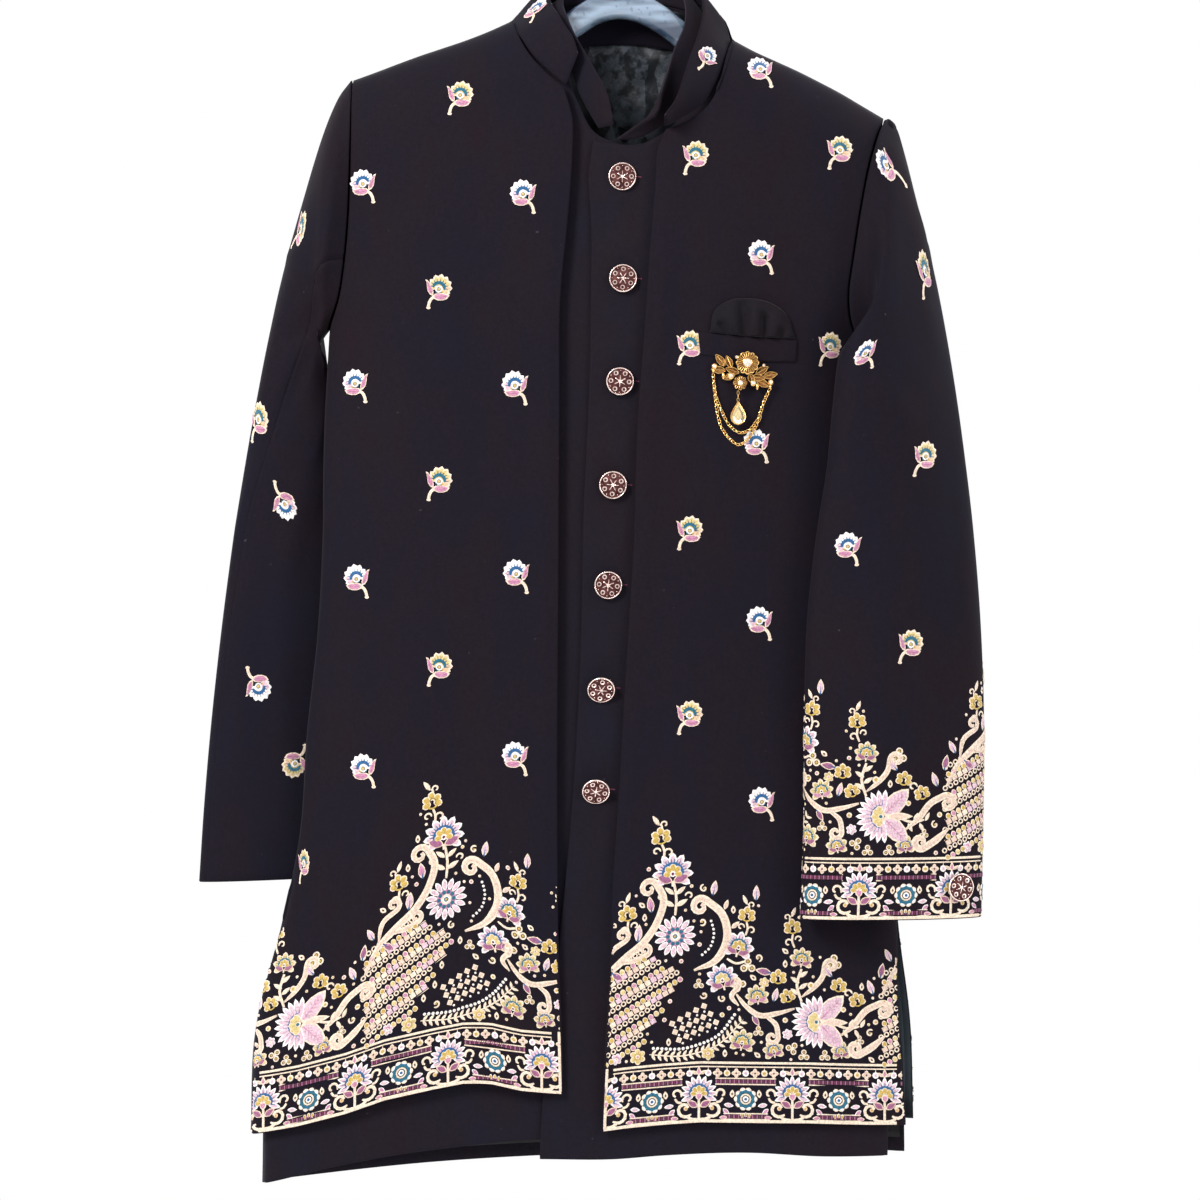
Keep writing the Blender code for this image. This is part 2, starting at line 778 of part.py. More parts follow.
def inner_front_left():
    s = (0, 0.14, 0.28, 0.42, 0.55, 0.7, 0.83, 0.92, 0.97, 1)
    t = (0, 0.12, 0.24, 0.36, 0.48, 0.6, 0.7, 0.75, 0.83, 0.9, 0.95, 0.98, 1)
    inset = KURTA_LEFT_INSET
    bottom = along(edge(KURTA_HEM_LEFT), s)
    top = in_parts(s, (edge(KURTA_NECK_LEFT), 0.55), (shoulder_edge(-1, *KURTA_SHOULDERS[2:], inset), 1))
    first = along(edge(KURTA_PLACKET), t)
    side = side_edge("left", -1087 * MM, -400 * MM, 2 * inset)
    last = in_parts(t, (side, ARMPIT), (edge(KURTA_ARMHOLE_LEFT), 1))
    grid = on_body(patch(bottom, top, first, last, s, t), -1, inset)
    panel("inner_front_left", grid, KURTA_WALL, CLOTH, -1)


def kurta_back_grid(s, t, inset, hem_rise):
    """Grid of the kurta's back, or of its lining, which lies further inside."""
    extra = inset - KURTA_BACK_INSET
    hem = edge(KURTA_BACK_HEM) + (0, hem_rise)
    hem[0, 0] -= extra
    hem[-1, 0] += extra
    tip_right, neck_right, neck_left, tip_left = KURTA_SHOULDERS
    left = (edge(KURTA_ARMHOLE_LEFT) + (8 * MM - extra, 0), shoulder_edge(1, tip_left, neck_left, inset))
    right = (edge(KURTA_ARMHOLE_RIGHT) + (extra, 0), shoulder_edge(1, neck_right, tip_right, inset))
    ends = (KURTA_BACK_HEM["z"][0] + hem_rise, KURTA_BACK_HEM["z"][-1] + hem_rise)
    return back_patch(s, t, hem, edge(KURTA_BACK_NECK) - (0, extra), ends, (left, right), inset)


def inner_back():
    grid = kurta_back_grid(ACROSS_BACK, UP_BACK, KURTA_BACK_INSET, 0.0)
    panel("inner_back", grid, KURTA_WALL, CLOTH, 1)


def inner_back_lining():
    grid = kurta_back_grid(ACROSS_BACK, UP_BACK, KURTA_LINING_INSET, 12 * MM)
    panel("inner_back_lining", grid, LINING_WALL, LINING, 1)


# ---------------------------------------------------------------- collars and facing


def collar(name, rows, insets, wall, rises):
    """A stand collar from its foot on the neck seam to its top edge. Insets are before and behind."""
    foot = []
    top = []
    for foot_x, foot_z, face, top_x, top_z, top_y in rows:
        xz = np.array((foot_x, foot_z)) * MM
        foot.append(on_body(xz, face, insets[(face + 1) // 2]))
        top.append(np.array((top_x, top_y, top_z)) * MM)
    foot = np.array(foot)
    top = np.array(top)
    grid = np.stack([foot + (top - foot) * rise for rise in rises], axis=1)
    return cloth(name, grid[::-1], wall, CLOTH)


def outer_collar():
    collar("outer_collar", COAT_COLLAR, (0.0, 0.0), COLLAR_WALL, (0.03, 0.5, 1))


def inner_collar():
    collar("inner_collar", KURTA_COLLAR, KURTA_COLLAR_INSETS, COLLAR_WALL, (0.03, 0.5, 1))


def back_neck_facing():
    s = np.linspace(0, 1, 9)
    lower = along(edge(FACING_LOWER), s)
    upper = along(edge(FACING_UPPER), s)
    t = np.array((0, 0.5, 1))[None, :, None]
    grid = on_body((1 - t) * lower[:, None] + t * upper[:, None], 1, FACING_INSET)
    cloth("back_neck_facing", grid, KURTA_WALL, CLOTH)


# ---------------------------------------------------------------- sleeves


def ring_zero(side, count):
    """The armhole loop as it lies on the body: points over the front, then points over the back."""
    front_rows, back_rows = {
        "right": (ARMHOLE_RIGHT_FRONT, ARMHOLE_RIGHT_BACK),
        "left": (ARMHOLE_LEFT_FRONT, ARMHOLE_LEFT_BACK),
    }[side]
    angles = np.linspace(0, 180, count)
    share = 1 - (1 - np.cos(np.radians(angles))) / 2
    loops = []
    for rows, face in ((front_rows, -1), (back_rows, 1)):
        xz = along(edge(rows), share)
        run = np.gradient(xz, axis=0)
        run /= np.linalg.norm(run, axis=1, keepdims=True)
        towards_arm = np.stack([run[:, 1], -run[:, 0]], axis=1)
        if side == "left":
            towards_arm = -towards_arm
        loops.append(on_body(xz, face) + ARMHOLE_SEAM * np.insert(towards_arm, 1, 0.0, axis=1))
    return angles, loops[0], loops[1]


def armhole_point(side, angle):
    """A point of the armhole loop: 0 is the shoulder, 180 the armpit, over the front."""
    angles, front, back = ring_zero(side, 37)
    if angle <= 180:
        return np.array([np.interp(angle, angles, front[:, i]) for i in range(3)])
    return np.array([np.interp(360 - angle, angles, back[:, i]) for i in range(3)])


def ring_point(row, angle):
    """A point of a sleeve's ring: 0 is its outer end, 180 its inner end, over the front."""
    outer = np.array((row["outer_x"], row["outer_y"], row["outer_z"]))
    inner = np.array((row["inner_x"], row["inner_y"], row["inner_z"]))
    a = math.radians(angle)
    point = (outer + inner) / 2 + (outer - inner) / 2 * math.cos(a)
    point[0] += row["front_x"] * max(math.sin(a), 0.0) + row["back_x"] * max(-math.sin(a), 0.0)
    point[1] -= row["half_depth"] * math.sin(a)
    return point


BODY_CLEARANCE = 5 * MM
SIDE_RAMP = 1.2
ARMHOLE_RAMP = 4.0
ARMHOLE_MARGIN = 8 * MM
UNBOUND = 0.2


def smooth_step(u):
    u = min(max(u, 0.0), 1.0)
    return u * u * (3 - 2 * u)


def clear_of_body(point, side):
    """A sleeve's point moved off the body: the right sleeve hangs behind it, the left one before it."""
    x, y, z = point
    if side == "right":
        armpit = ARMHOLE_RIGHT_FRONT["z"][0]
        inside = x - body_side(z, "right")
        limit = BODY_CLEARANCE + (depth(x, z, 1) if inside > 0 else SIDE_RAMP * inside)
        start = smooth_step((armpit - z) / (25 * MM))
        return np.array((x, max(y, limit - (1 - start) * UNBOUND), z))
    armpit = ARMHOLE_LEFT_FRONT["z"][0]
    if z < armpit:
        inside = body_side(z, "left") - x
        ramp = SIDE_RAMP
    else:
        inside = np.interp(z, ARMHOLE_LEFT_FRONT["z"], ARMHOLE_LEFT_FRONT["x"]) - x + ARMHOLE_MARGIN
        ramp = ARMHOLE_RAMP
    limit = -BODY_CLEARANCE - depth(x, z, -1)
    if inside < 0:
        limit -= ramp * inside
    return np.array((x, min(y, limit), z))


def sleeve_rows(side):
    rows = SLEEVE_RIGHT if side == "right" else SLEEVE_LEFT
    return [{column: rows[column][i] for column in rows} for i in range(len(rows["outer_x"]))]


def seam_gap(ring, angle):
    """Half the room at a sleeve's seam, in degrees of its ring."""
    if ring is None:
        return 0.4
    per_degree = np.linalg.norm(ring_point(ring, angle + 0.5) - ring_point(ring, angle - 0.5))
    return SLEEVE_SEAM / per_degree


def sleeve_point(side, rings, number, angle):
    """A point of a sleeve's outside: ring 0 is the armhole."""
    if number == 0:
        return armhole_point(side, angle % 360)
    return clear_of_body(ring_point(rings[number], angle), side)


def sleeve_normal(side, rings, number, angle):
    """The outward normal there, from the neighbouring rings and angles."""
    spread = 5
    before = max(number - 1, 0)
    after = min(number + 1, len(rings) - 1)
    front = sleeve_point(side, rings, number, angle + spread)
    across = front - sleeve_point(side, rings, number, angle - spread)
    down = sleeve_point(side, rings, after, angle) - sleeve_point(side, rings, before, angle)
    n = np.cross(down, across) if side == "right" else np.cross(across, down)
    return n / np.linalg.norm(n)


def sleeve_piece(side, piece, columns):
    """The upper sleeve runs from the back seam over the outer end to the front seam."""
    seams = SEAMS_RIGHT if side == "right" else SEAMS_LEFT
    rings = [None] + sleeve_rows(side)
    outside = []
    inside = []
    for number, (front_seam, back_seam) in enumerate(seams):
        gap_front = seam_gap(rings[number], front_seam)
        gap_back = seam_gap(rings[number], back_seam)
        if piece == "upper":
            angles = np.linspace(back_seam - 360 + gap_back, front_seam - gap_front, columns)
        else:
            angles = np.linspace(front_seam + gap_front, back_seam - gap_back, columns)
        points = np.array([sleeve_point(side, rings, number, a) for a in angles])
        outward = np.array([sleeve_normal(side, rings, number, a) for a in angles])
        outside.append(points)
        inside.append(points - outward * COAT_WALL)
    outside = np.array(outside).transpose(1, 0, 2)
    inside = np.array(inside).transpose(1, 0, 2)
    if side == "right":
        outside = outside[::-1]
        inside = inside[::-1]
    between(f"sleeve_{side}_{piece}", outside, inside, CLOTH)


def sleeves():
    for side in ("right", "left"):
        sleeve_piece(side, "upper", 11)
        sleeve_piece(side, "under", 8)


# ---------------------------------------------------------------- pocket, brooch, buttons


def on_front(rows_or_xz, lift, inset=0.0):
    """Points of the front surface, moved out by a lift."""
    xz = edge(rows_or_xz) if isinstance(rows_or_xz, dict) else np.asarray(rows_or_xz, float)
    points = on_body(xz, -1, inset)
    points[..., 1] -= lift
    return points


def breast_welt():
    s = np.linspace(0, 1, 6)
    lower = along(edge(WELT_LOWER), s)
    upper = along(edge(WELT_UPPER), s)
    t = np.array((0, 0.5, 1))[None, :, None]
    xz = (1 - t) * lower[:, None] + t * upper[:, None]
    between("breast_welt", on_front(xz, POCKET_LIFT + WELT_WALL), on_front(xz, POCKET_LIFT), CLOTH)


def pocket_square():
    """The puff: a fan of folds, fullest in the middle of its height."""
    s = np.linspace(0, 1, 11)
    base = along(edge(PUFF_BASE), s)
    top = along(edge(PUFF_TOP), s)
    t = np.array((0, 0.3, 0.65, 0.9, 1))
    xz = base[:, None] + t[None, :, None] * (top - base)[:, None]
    rise = 0.35 + 0.65 * np.sin(np.pi * (0.15 + 0.85 * t))
    fullness = np.sin(np.pi * s)[:, None] ** 0.5 * rise[None]
    fold = 1 + PUFF_FOLD * np.cos(2 * PUFF_FOLDS * np.pi * s)[:, None]
    back = on_front(xz, POCKET_LIFT)
    front = on_front(xz, POCKET_LIFT + COAT_WALL)
    front[..., 1] -= PUFF_DEPTH * fullness * fold
    between("pocket_square", front, back, CLOTH)


def front_normal(x, z, inset):
    """The outward normal of the front surface."""
    step = 2 * MM
    left, right, low, high = (
        on_front(np.array(xz), 0.0, inset)
        for xz in ((x - step, z), (x + step, z), (x, z - step), (x, z + step))
    )
    n = np.cross(right - left, high - low)
    return n / np.linalg.norm(n)


BUTTON_PROFILE = (
    # radius, height above the cloth
    (3.0 * MM, 0.5 * MM),
    (3.0 * MM, 2.2 * MM),
    (10.6 * MM, 2.4 * MM),
    (BUTTON_RADIUS, 3.4 * MM),
    (11.2 * MM, 4.6 * MM),
    (9.0 * MM, 4.4 * MM),
    (4.0 * MM, 5.0 * MM),
)


def front_buttons():
    for number, (x, z, tilt) in enumerate(FRONT_BUTTONS, 1):
        x, z, tilt = x * MM, z * MM, math.radians(tilt)
        n = front_normal(x, z, KURTA_LEFT_INSET)
        n = np.array((n[0], n[1] * math.cos(tilt) - n[2] * math.sin(tilt), -math.sin(tilt)))
        lift = BUTTON_FOOT + TILTED_BUTTON_LIFT * math.sin(tilt)
        foot = on_front(np.array((x, z)), lift, KURTA_LEFT_INSET)
        turned(f"front_button_{number}", BUTTON_PROFILE, foot, n, BUTTON_SIDES, COPPER)


def sleeve_spot(side, z, angle):
    """A point of a sleeve's outside at a height, and the normal there."""
    rows = SLEEVE_RIGHT if side == "right" else SLEEVE_LEFT
    order = np.argsort(rows["outer_z"])
    ring = {column: np.interp(z, rows["outer_z"][order], rows[column][order]) for column in rows}
    here = clear_of_body(ring_point(ring, math.degrees(angle)), side)
    ahead = clear_of_body(ring_point(ring, math.degrees(angle) + 2), side)
    along_ring = ahead - here
    n = np.cross(along_ring, (0.0, 0.0, 1.0))
    if np.dot(n, (here[0] - (ring["outer_x"] + ring["inner_x"]) / 2, here[1] - ring["outer_y"], 0)) < 0:
        n = -n
    return here, n / np.linalg.norm(n)


def cuff_buttons():
    for side, (z, angle) in (("right", CUFF_BUTTON_RIGHT), ("left", CUFF_BUTTON_LEFT)):
        here, n = sleeve_spot(side, z, angle)
        turned(f"cuff_button_{side}", BUTTON_PROFILE, here + CUFF_BUTTON_FOOT * n, n, BUTTON_SIDES, COPPER)


def brooch():
    """A leafy plate with two flowers, two swags of chain under it, and a drop on links."""
    brooch_plate()
    for name, radius, x, z, lift in BROOCH_FLOWERS:
        centre = on_front(np.array((x, z)) * MM, lift * MM)
        turned(name, flower_profile(radius), centre, FACING_OUT, FLOWER_SIDES, GOLD)
    chains = (
        ("brooch_chain_short", CHAIN_SHORT, CHAIN_SHORT_LIFT),
        ("brooch_chain_long", CHAIN_LONG, CHAIN_LONG_LIFT),
    )
    for name, rows, lift in chains:
        path = on_front(along(edge(rows), np.linspace(0, 1, 13)), lift)
        tube(name, path, CHAIN_RADIUS, 6, GOLD)
    x, z = BROOCH_PIVOT
    top = on_front(np.array((x, z)), DROP_LIFT)
    profile = [(r * MM, h * MM) for r, h in DROP_PROFILE]
    turned("brooch_drop", profile, top, (0.0, 0.0, 1.0), 14, CRYSTAL, squash=(DROP_SQUASH, 1.0))


FACING_OUT = (0.0, -1.0, 0.0)
DROP_PROFILE = (
    # radius, height from the top link
    (0.6, -28.6),
    (4.6, -27.0),
    (6.6, -22.5),
    (5.2, -17.0),
    (2.2, -12.5),
    (0.9, -10.0),
    (0.9, -0.6),
    (0.6, -0.2),
)


FLOWER_PROFILE = ((0.55, 0), (1, 0.9), (0.9, 1.7), (0.45, 2.5), (0.2, 3.0))


def flower_profile(radius):
    """A domed flower: shares of its radius, and heights in millimetres."""
    return [(share * radius * MM, height * MM) for share, height in FLOWER_PROFILE]


def brooch_plate():
    """A flat leaf-edged plate of metal on the cloth."""
    outline = []
    for k in range(PLATE_POINTS):
        a = 2 * math.pi * k / PLATE_POINTS
        lobe = 1 + PLATE_LOBE * math.cos(PLATE_LOBES * a)
        x = PLATE_CENTRE[0] + PLATE_HALF_WIDTH * lobe * math.cos(a)
        z = PLATE_CENTRE[1] + PLATE_HALF_HEIGHT * lobe * math.sin(a)
        outline.append((x, z))
    points = [on_front(np.array(xz), PLATE_LIFT + PLATE_WALL) for xz in outline]
    points += [on_front(np.array(xz), PLATE_LIFT) for xz in outline]
    n = PLATE_POINTS
    faces = [tuple(range(n)), tuple(reversed(range(n, 2 * n)))]
    for k in range(n):
        after = (k + 1) % n
        faces.append((after, k, n + k, n + after))
    add_object("brooch_plate", points, faces, GOLD)


# ---------------------------------------------------------------- hanger

HANGER_STATIONS = (
    # x, z of the middle, half height, half depth
    (-204, -188, 9, 8),
    (-196, -187, 13, 11),
    (-160, -174, 15, 12),
    (-110, -156, 15, 12),
    (-70, -136, 15, 11),
    (-35, -109, 14, 11),
    (-12, -96, 14, 11),
    (0, -94, 14, 11),
    (12, -96, 14, 11),
    (35, -108, 14, 11),
    (70, -137, 15, 11),
    (110, -171, 15, 12),
    (160, -195, 15, 12),
    (192, -210, 13, 11),
    (199, -215, 8, 7),
)


def hanger_body():
    """A broad moulded hanger with arms that follow the shoulders."""
    sides = 12
    points = []
    for x, z, half_height, half_depth in HANGER_STATIONS:
        for k in range(sides):
            a = 2 * math.pi * k / sides
            points.append((x * MM, half_depth * MM * math.sin(a), (z + half_height * math.cos(a)) * MM))
    faces = [tuple(range(sides))]
    for i in range(len(HANGER_STATIONS) - 1):
        for k in range(sides):
            a = i * sides + k
            b = i * sides + (k + 1) % sides
            faces.append((a, a + sides, b + sides, b))
    faces.append(tuple((len(HANGER_STATIONS) - 1) * sides + k for k in reversed(range(sides))))
    add_object("hanger_body", points, faces, HANGER)


def hook_path():
    """The wire's middle line: up the stem, out to the left and round over the bearing point."""
    radius = HOOK_INNER_RADIUS + HOOK_WIRE_RADIUS
    centre = -HOOK_INNER_RADIUS
    stem = [(0.0, z * MM) for z in (-79.6, -72, -64, -58)]
    bend = [(2.5 * MM, -52.5 * MM), (8 * MM, -47.5 * MM)]
    turn = [
        (radius * math.cos(a), centre + radius * math.sin(a))
        for a in np.radians(np.linspace(-55, 205, 20))
    ]
    return np.array([(x, 0.0, z) for x, z in stem + bend + turn])


def hanger_hook():
    tube("hanger_hook", hook_path(), HOOK_WIRE_RADIUS, 8, STEEL)


def main():
    outer_front_right()
    outer_front_left()
    outer_back()
    outer_back_lining()
    inner_front_right()
    inner_front_left()
    inner_back()
    inner_back_lining()
    outer_collar()
    inner_collar()
    back_neck_facing()
    sleeves()
    breast_welt()
    pocket_square()
    front_buttons()
    cuff_buttons()
    brooch()
    hanger_body()
    hanger_hook()


for existing in list(bpy.data.objects):
    bpy.data.objects.remove(existing)
main()
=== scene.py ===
"""The looks of a sherwani coat on its hanger: cloth, folds, embroidery, buttons and brooch.

Metres, +Z up, the front towards -Y. The origin is the point where the hanger's hook bears on a rail.
Right and left are the wearer's, so right is on the -X side. Tables are in millimetres.
"""

import math

import bpy
import numpy as np
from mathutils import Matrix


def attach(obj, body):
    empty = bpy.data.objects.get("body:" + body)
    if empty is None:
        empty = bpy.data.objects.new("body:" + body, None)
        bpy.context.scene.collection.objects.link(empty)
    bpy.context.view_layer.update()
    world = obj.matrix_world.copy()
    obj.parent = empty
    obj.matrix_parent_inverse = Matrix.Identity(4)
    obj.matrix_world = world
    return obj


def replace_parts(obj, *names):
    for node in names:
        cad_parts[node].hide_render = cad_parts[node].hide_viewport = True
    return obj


MM = 0.001

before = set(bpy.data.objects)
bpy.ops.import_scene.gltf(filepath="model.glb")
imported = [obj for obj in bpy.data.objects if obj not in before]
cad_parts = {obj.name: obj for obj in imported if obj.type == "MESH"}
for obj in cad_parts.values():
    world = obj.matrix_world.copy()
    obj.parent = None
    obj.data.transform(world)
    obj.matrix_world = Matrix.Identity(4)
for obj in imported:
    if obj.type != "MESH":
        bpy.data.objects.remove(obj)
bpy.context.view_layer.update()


# ---------------------------------------------------------------- camera, light and floor

CAMERA_PLACE = (-0.017, -3.0, -0.610)
CAMERA_LENS = 104.1
FLOOR_HEIGHT = -1.36
FLOOR_RADIUS = 1.3


def make_camera():
    data = bpy.data.cameras.new("camera")
    data.lens = CAMERA_LENS
    data.sensor_width = 36
    data.clip_start = 0.1
    camera = bpy.data.objects.new("camera", data)
    camera.location = CAMERA_PLACE
    camera.rotation_euler = (math.radians(90), 0, 0)
    bpy.context.scene.collection.objects.link(camera)
    bpy.context.scene.camera = camera


def make_light(name, place, aim, size, power, colour=(1.0, 1.0, 1.0)):
    data = bpy.data.lights.new(name, "AREA")
    data.shape = "RECTANGLE"
    data.size, data.size_y = size
    data.energy = power
    data.color = colour
    light = bpy.data.objects.new(name, data)
    light.location = place
    towards = np.array(aim, float) - np.array(place, float)
    towards /= np.linalg.norm(towards)
    pitch = math.acos(-towards[2])
    turn = math.atan2(towards[1], towards[0]) - math.pi / 2
    light.rotation_euler = (pitch, 0, turn)
    bpy.context.scene.collection.objects.link(light)


make_camera()

# Cloth walls and the room left between pieces.
COAT_WALL = 1.5 * MM
KURTA_WALL = 1.3 * MM
LINING_WALL = 1.0 * MM
COLLAR_WALL = 2.6 * MM
SEAM = 0.5 * MM
ARMHOLE_SEAM = 2.2 * MM
DEAD_BAND = 0.4 * MM

# How far each layer lies inside the coat's own surface.
KURTA_LEFT_INSET = 7.5 * MM
KURTA_RIGHT_INSET = 11 * MM
KURTA_BACK_INSET = 12.2 * MM
COAT_LINING_INSET = 7.2 * MM
KURTA_LINING_INSET = 16.2 * MM
FACING_INSET = 20 * MM
KURTA_COLLAR_INSETS = (9.0 * MM, 10.8 * MM)

SHOULDER_ROUND = 60 * MM
FRONT_POWER = 2.4
BACK_POWER = 2.0


BUTTON_RADIUS = 11.9 * MM

HOOK_INNER_RADIUS = 22 * MM
HOOK_WIRE_RADIUS = 1.75 * MM

BUTTON_FOOT = 0.3 * MM
CUFF_BUTTON_FOOT = 0.5 * MM
TILTED_BUTTON_LIFT = 6.5 * MM

# The welt and the puff of the pocket square, counted out from the coat's front.
POCKET_LIFT = 0.8 * MM
WELT_WALL = 1.8 * MM
PUFF_DEPTH = 7 * MM

# The brooch's layers, counted out from the coat's front.
CHAIN_LONG_LIFT = 1.9 * MM
CHAIN_SHORT_LIFT = 3.9 * MM
BROOCH_FLOWERS = (
    # name, radius, x, z, lift, all but the name in millimetres
    ("brooch_flower_large", 9.8, 108, -409, 6.2),
    ("brooch_flower_small", 6.1, 102, -426, 6.0),
)
BROOCH_PIVOT = (100 * MM, -432.6 * MM)
DROP_LIFT = 8.0 * MM


def table(columns, *rows):
    """Rows of millimetres as a dictionary of named columns in metres."""
    return {name: np.array(column, float) * MM for name, column in zip(columns.split(), zip(*rows))}


# The body of the coat: side edges, and how far it stands in front of and behind the side seams.
BODY = table(
    "z right left front back",
    (-1120, -320, 256, 44, 34),
    (-1070, -319, 255, 44, 34),
    (-1014, -317, 255, 45, 35),
    (-982, -315, 253, 45, 35),
    (-930, -305, 247, 46, 36),
    (-882, -289, 241, 46, 37),
    (-830, -279, 237, 47, 38),
    (-720, -270, 231, 48, 40),
    (-600, -258, 226, 51, 42),
    (-480, -256, 222, 55, 44),
    (-396, -252, 223, 58, 46),
    (-380, -251, 229, 59, 47),
    (-345, -256, 243, 60, 48),
    (-300, -259, 252, 60, 48),
    (-200, -262, 256, 56, 46),
    (-100, -262, 256, 46, 42),
)

# The shoulder line, and how it rises behind the neck.
SHOULDER = table(
    "x front back",
    (-270, -174, -174),
    (-230, -161, -161),
    (-179, -142, -142),
    (-114, -119, -119),
    (-94, -110, -110),
    (-60, -97, -84),
    (0, -90, -62),
    (60, -100, -86),
    (98, -126, -126),
    (158, -155, -155),
    (189, -171, -171),
    (228, -194, -194),
    (270, -216, -216),
)

# Where the coat's and the kurta's shoulder seams begin and end, from the wearer's right.
COAT_SHOULDERS = (-230 * MM, -94 * MM, 98 * MM, 228 * MM)
KURTA_SHOULDERS = (-216 * MM, -87 * MM, 86 * MM, 212 * MM)
COAT_NECK_RIGHT = table("x z", (-94, -110), (-86, -130), (-77, -146), (-63, -162), (-48, -175))
COAT_OPENING_RIGHT = table(
    "x z",
    (-49, -1031), (-50, -983), (-53, -900), (-54, -780), (-53, -600), (-52, -443), (-51, -350), (-45, -287),
    (-41, -230), (-41, -200), (-48, -175),
)
COAT_HEM_RIGHT = table(
    "x z",
    (-319, -1070), (-277, -1061), (-234, -1049), (-201, -1037), (-158, -1027), (-133, -1022), (-111, -1022),
    (-85, -1028), (-49, -1031),
)
ARMHOLE_RIGHT_FRONT = table(
    "x z",
    (-251, -380), (-240.5, -352), (-235, -320), (-232, -290), (-230, -246), (-229.5, -205), (-230, -161),
)
ARMHOLE_RIGHT_BACK = table(
    "x z", (-251, -380), (-238, -362), (-227, -330), (-222, -270), (-224, -212), (-230, -161)
)

COAT_NECK_LEFT = table("x z", (39, -211), (57, -204), (74, -191), (85, -171), (93, -146), (98, -126))
COAT_OPENING_LEFT = table(
    "x z",
    (-15, -1063), (-11, -970), (-8, -921), (-5, -845), (0, -770), (6, -664), (12, -567), (16, -451),
    (21, -386), (26, -312), (31, -253), (33, -226), (39, -211),
)
COAT_HEM_LEFT = table(
    "x z",
    (-15, -1063), (5, -1060), (37, -1057), (68, -1055), (162, -1057), (246, -1061),
)
COAT_SLIT_LEFT = table(
    "x z",
    (246, -1061), (244, -1025), (240, -970), (239, -932), (239, -882), (234, -815), (231, -720),
)
ARMHOLE_LEFT_FRONT = table(
    "x z",
    (223, -396), (209, -392), (200, -382), (194.5, -362), (194, -346), (197, -323), (201, -295), (206, -265),
    (212, -236), (220, -211), (228, -194),
)
ARMHOLE_LEFT_BACK = table(
    "x z", (223, -396), (217, -380), (214, -345), (216, -300), (221, -240), (228, -194)
)

BACK_NECK = table(
    "x z",
    (98, -126), (90, -108), (60, -93), (0, -86), (-56, -91), (-84, -100), (-94, -110),
)
BACK_HEM = table("x z", (254, -1058), (160, -1057), (0, -1058), (-160, -1063), (-318, -1069))

KURTA_NECK_RIGHT = table(
    "x z",
    (-87, -115), (-64, -127), (-48, -155), (-36, -186), (-21, -213), (4, -224),
)
KURTA_UNDERLAP = table(
    "x z",
    (-36, -1070), (-24, -907), (-8, -780), (2, -600), (6, -443), (6, -300), (4, -224),
)
KURTA_HEM_RIGHT = table(
    "x z",
    (-309, -1113), (-246, -1096), (-187, -1084), (-144, -1078), (-90, -1072), (-36, -1070),
)
KURTA_ARMHOLE_RIGHT = table("x z", (-240, -388), (-226, -352), (-217, -290), (-214, -212), (-216, -164))

KURTA_NECK_LEFT = table(
    "x z",
    (-22, -220), (-3, -223), (17, -223), (34, -215), (54, -198), (72, -171), (81, -150), (86, -134),
)
KURTA_PLACKET = table(
    "x z",
    (-68, -1087), (-65, -1032), (-52, -907), (-45, -841), (-38, -754), (-33, -656), (-30, -524), (-26, -443),
    (-24, -346), (-24, -287), (-26, -246), (-22, -220),
)
KURTA_HEM_LEFT = table(
    "x z",
    (-68, -1087), (-4, -1087), (36, -1084), (110, -1082), (173, -1086), (230, -1087),
)
KURTA_ARMHOLE_LEFT = table("x z", (209, -412), (186, -385), (181, -340), (194, -260), (212, -192))

KURTA_BACK_NECK = table(
    "x z",
    (88, -133), (80, -114), (56, -99), (0, -92), (-52, -97), (-77, -105), (-87, -115),
)
KURTA_BACK_HEM = table("x z", (246, -1086), (160, -1086), (0, -1090), (-160, -1098), (-307, -1112))

# Stand collars from the wearer's right end round the back to the left end. Depths at the top edge only,
# because the foot of a collar lies on the neck seam; face is -1 in front of the shoulder and 1 behind.
COAT_COLLAR = (
    # foot x, foot z, face, top x, top z, top y
    (-47, -172, -1, -37, -147, -63),
    (-61, -160, -1, -41, -134, -60),
    (-75, -145, -1, -48, -122, -52),
    (-85, -129, -1, -54, -110, -41),
    (-93, -110, -1, -60, -98, -24),
    (-83, -99, 1, -62, -80, -5),
    (-56, -90, 1, -49, -58, 16),
    (0, -85, 1, 0, -47, 27),
    (60, -92, 1, 51, -58, 17),
    (89, -107, 1, 69, -80, -3),
    (95.5, -125, -1, 73, -104, -24),
    (90.5, -145, -1, 68, -128, -44),
    (82, -169, -1, 60, -152, -62),
    (71, -188, -1, 54, -172, -72),
    (55, -200, -1, 48, -190, -77),
    (39, -208, -1, 39, -203, -78),
)
KURTA_COLLAR = (
    (-19, -208, -1, -7, -206, -58),
    (-33, -183, -1, -13, -180, -60),
    (-45, -152, -1, -24, -158, -58),
    (-61, -124, -1, -37, -134, -50),
    (-80, -108, -1, -46, -112, -34),
    (-76, -103, 1, -50, -92, -10),
    (-52, -96, 1, -42, -66, 12),
    (0, -91, 1, 0, -56, 20),
    (55, -98, 1, 44, -66, 11),
    (79, -112, 1, 56, -90, -8),
    (80, -139, -1, 56, -118, -30),
    (69, -168, -1, 47, -142, -46),
    (52, -193, -1, 41, -164, -56),
    (33, -209, -1, 36, -182, -62),
    (15, -218, -1, 33, -196, -64),
    (-3, -219, -1, 30, -201, -64),
)
FACING_LOWER = table("x z", (70, -143), (56, -135), (0, -126), (-54, -134), (-70, -141))
FACING_UPPER = table("x z", (68, -121), (50, -111), (0, -101), (-46, -110), (-66, -121))

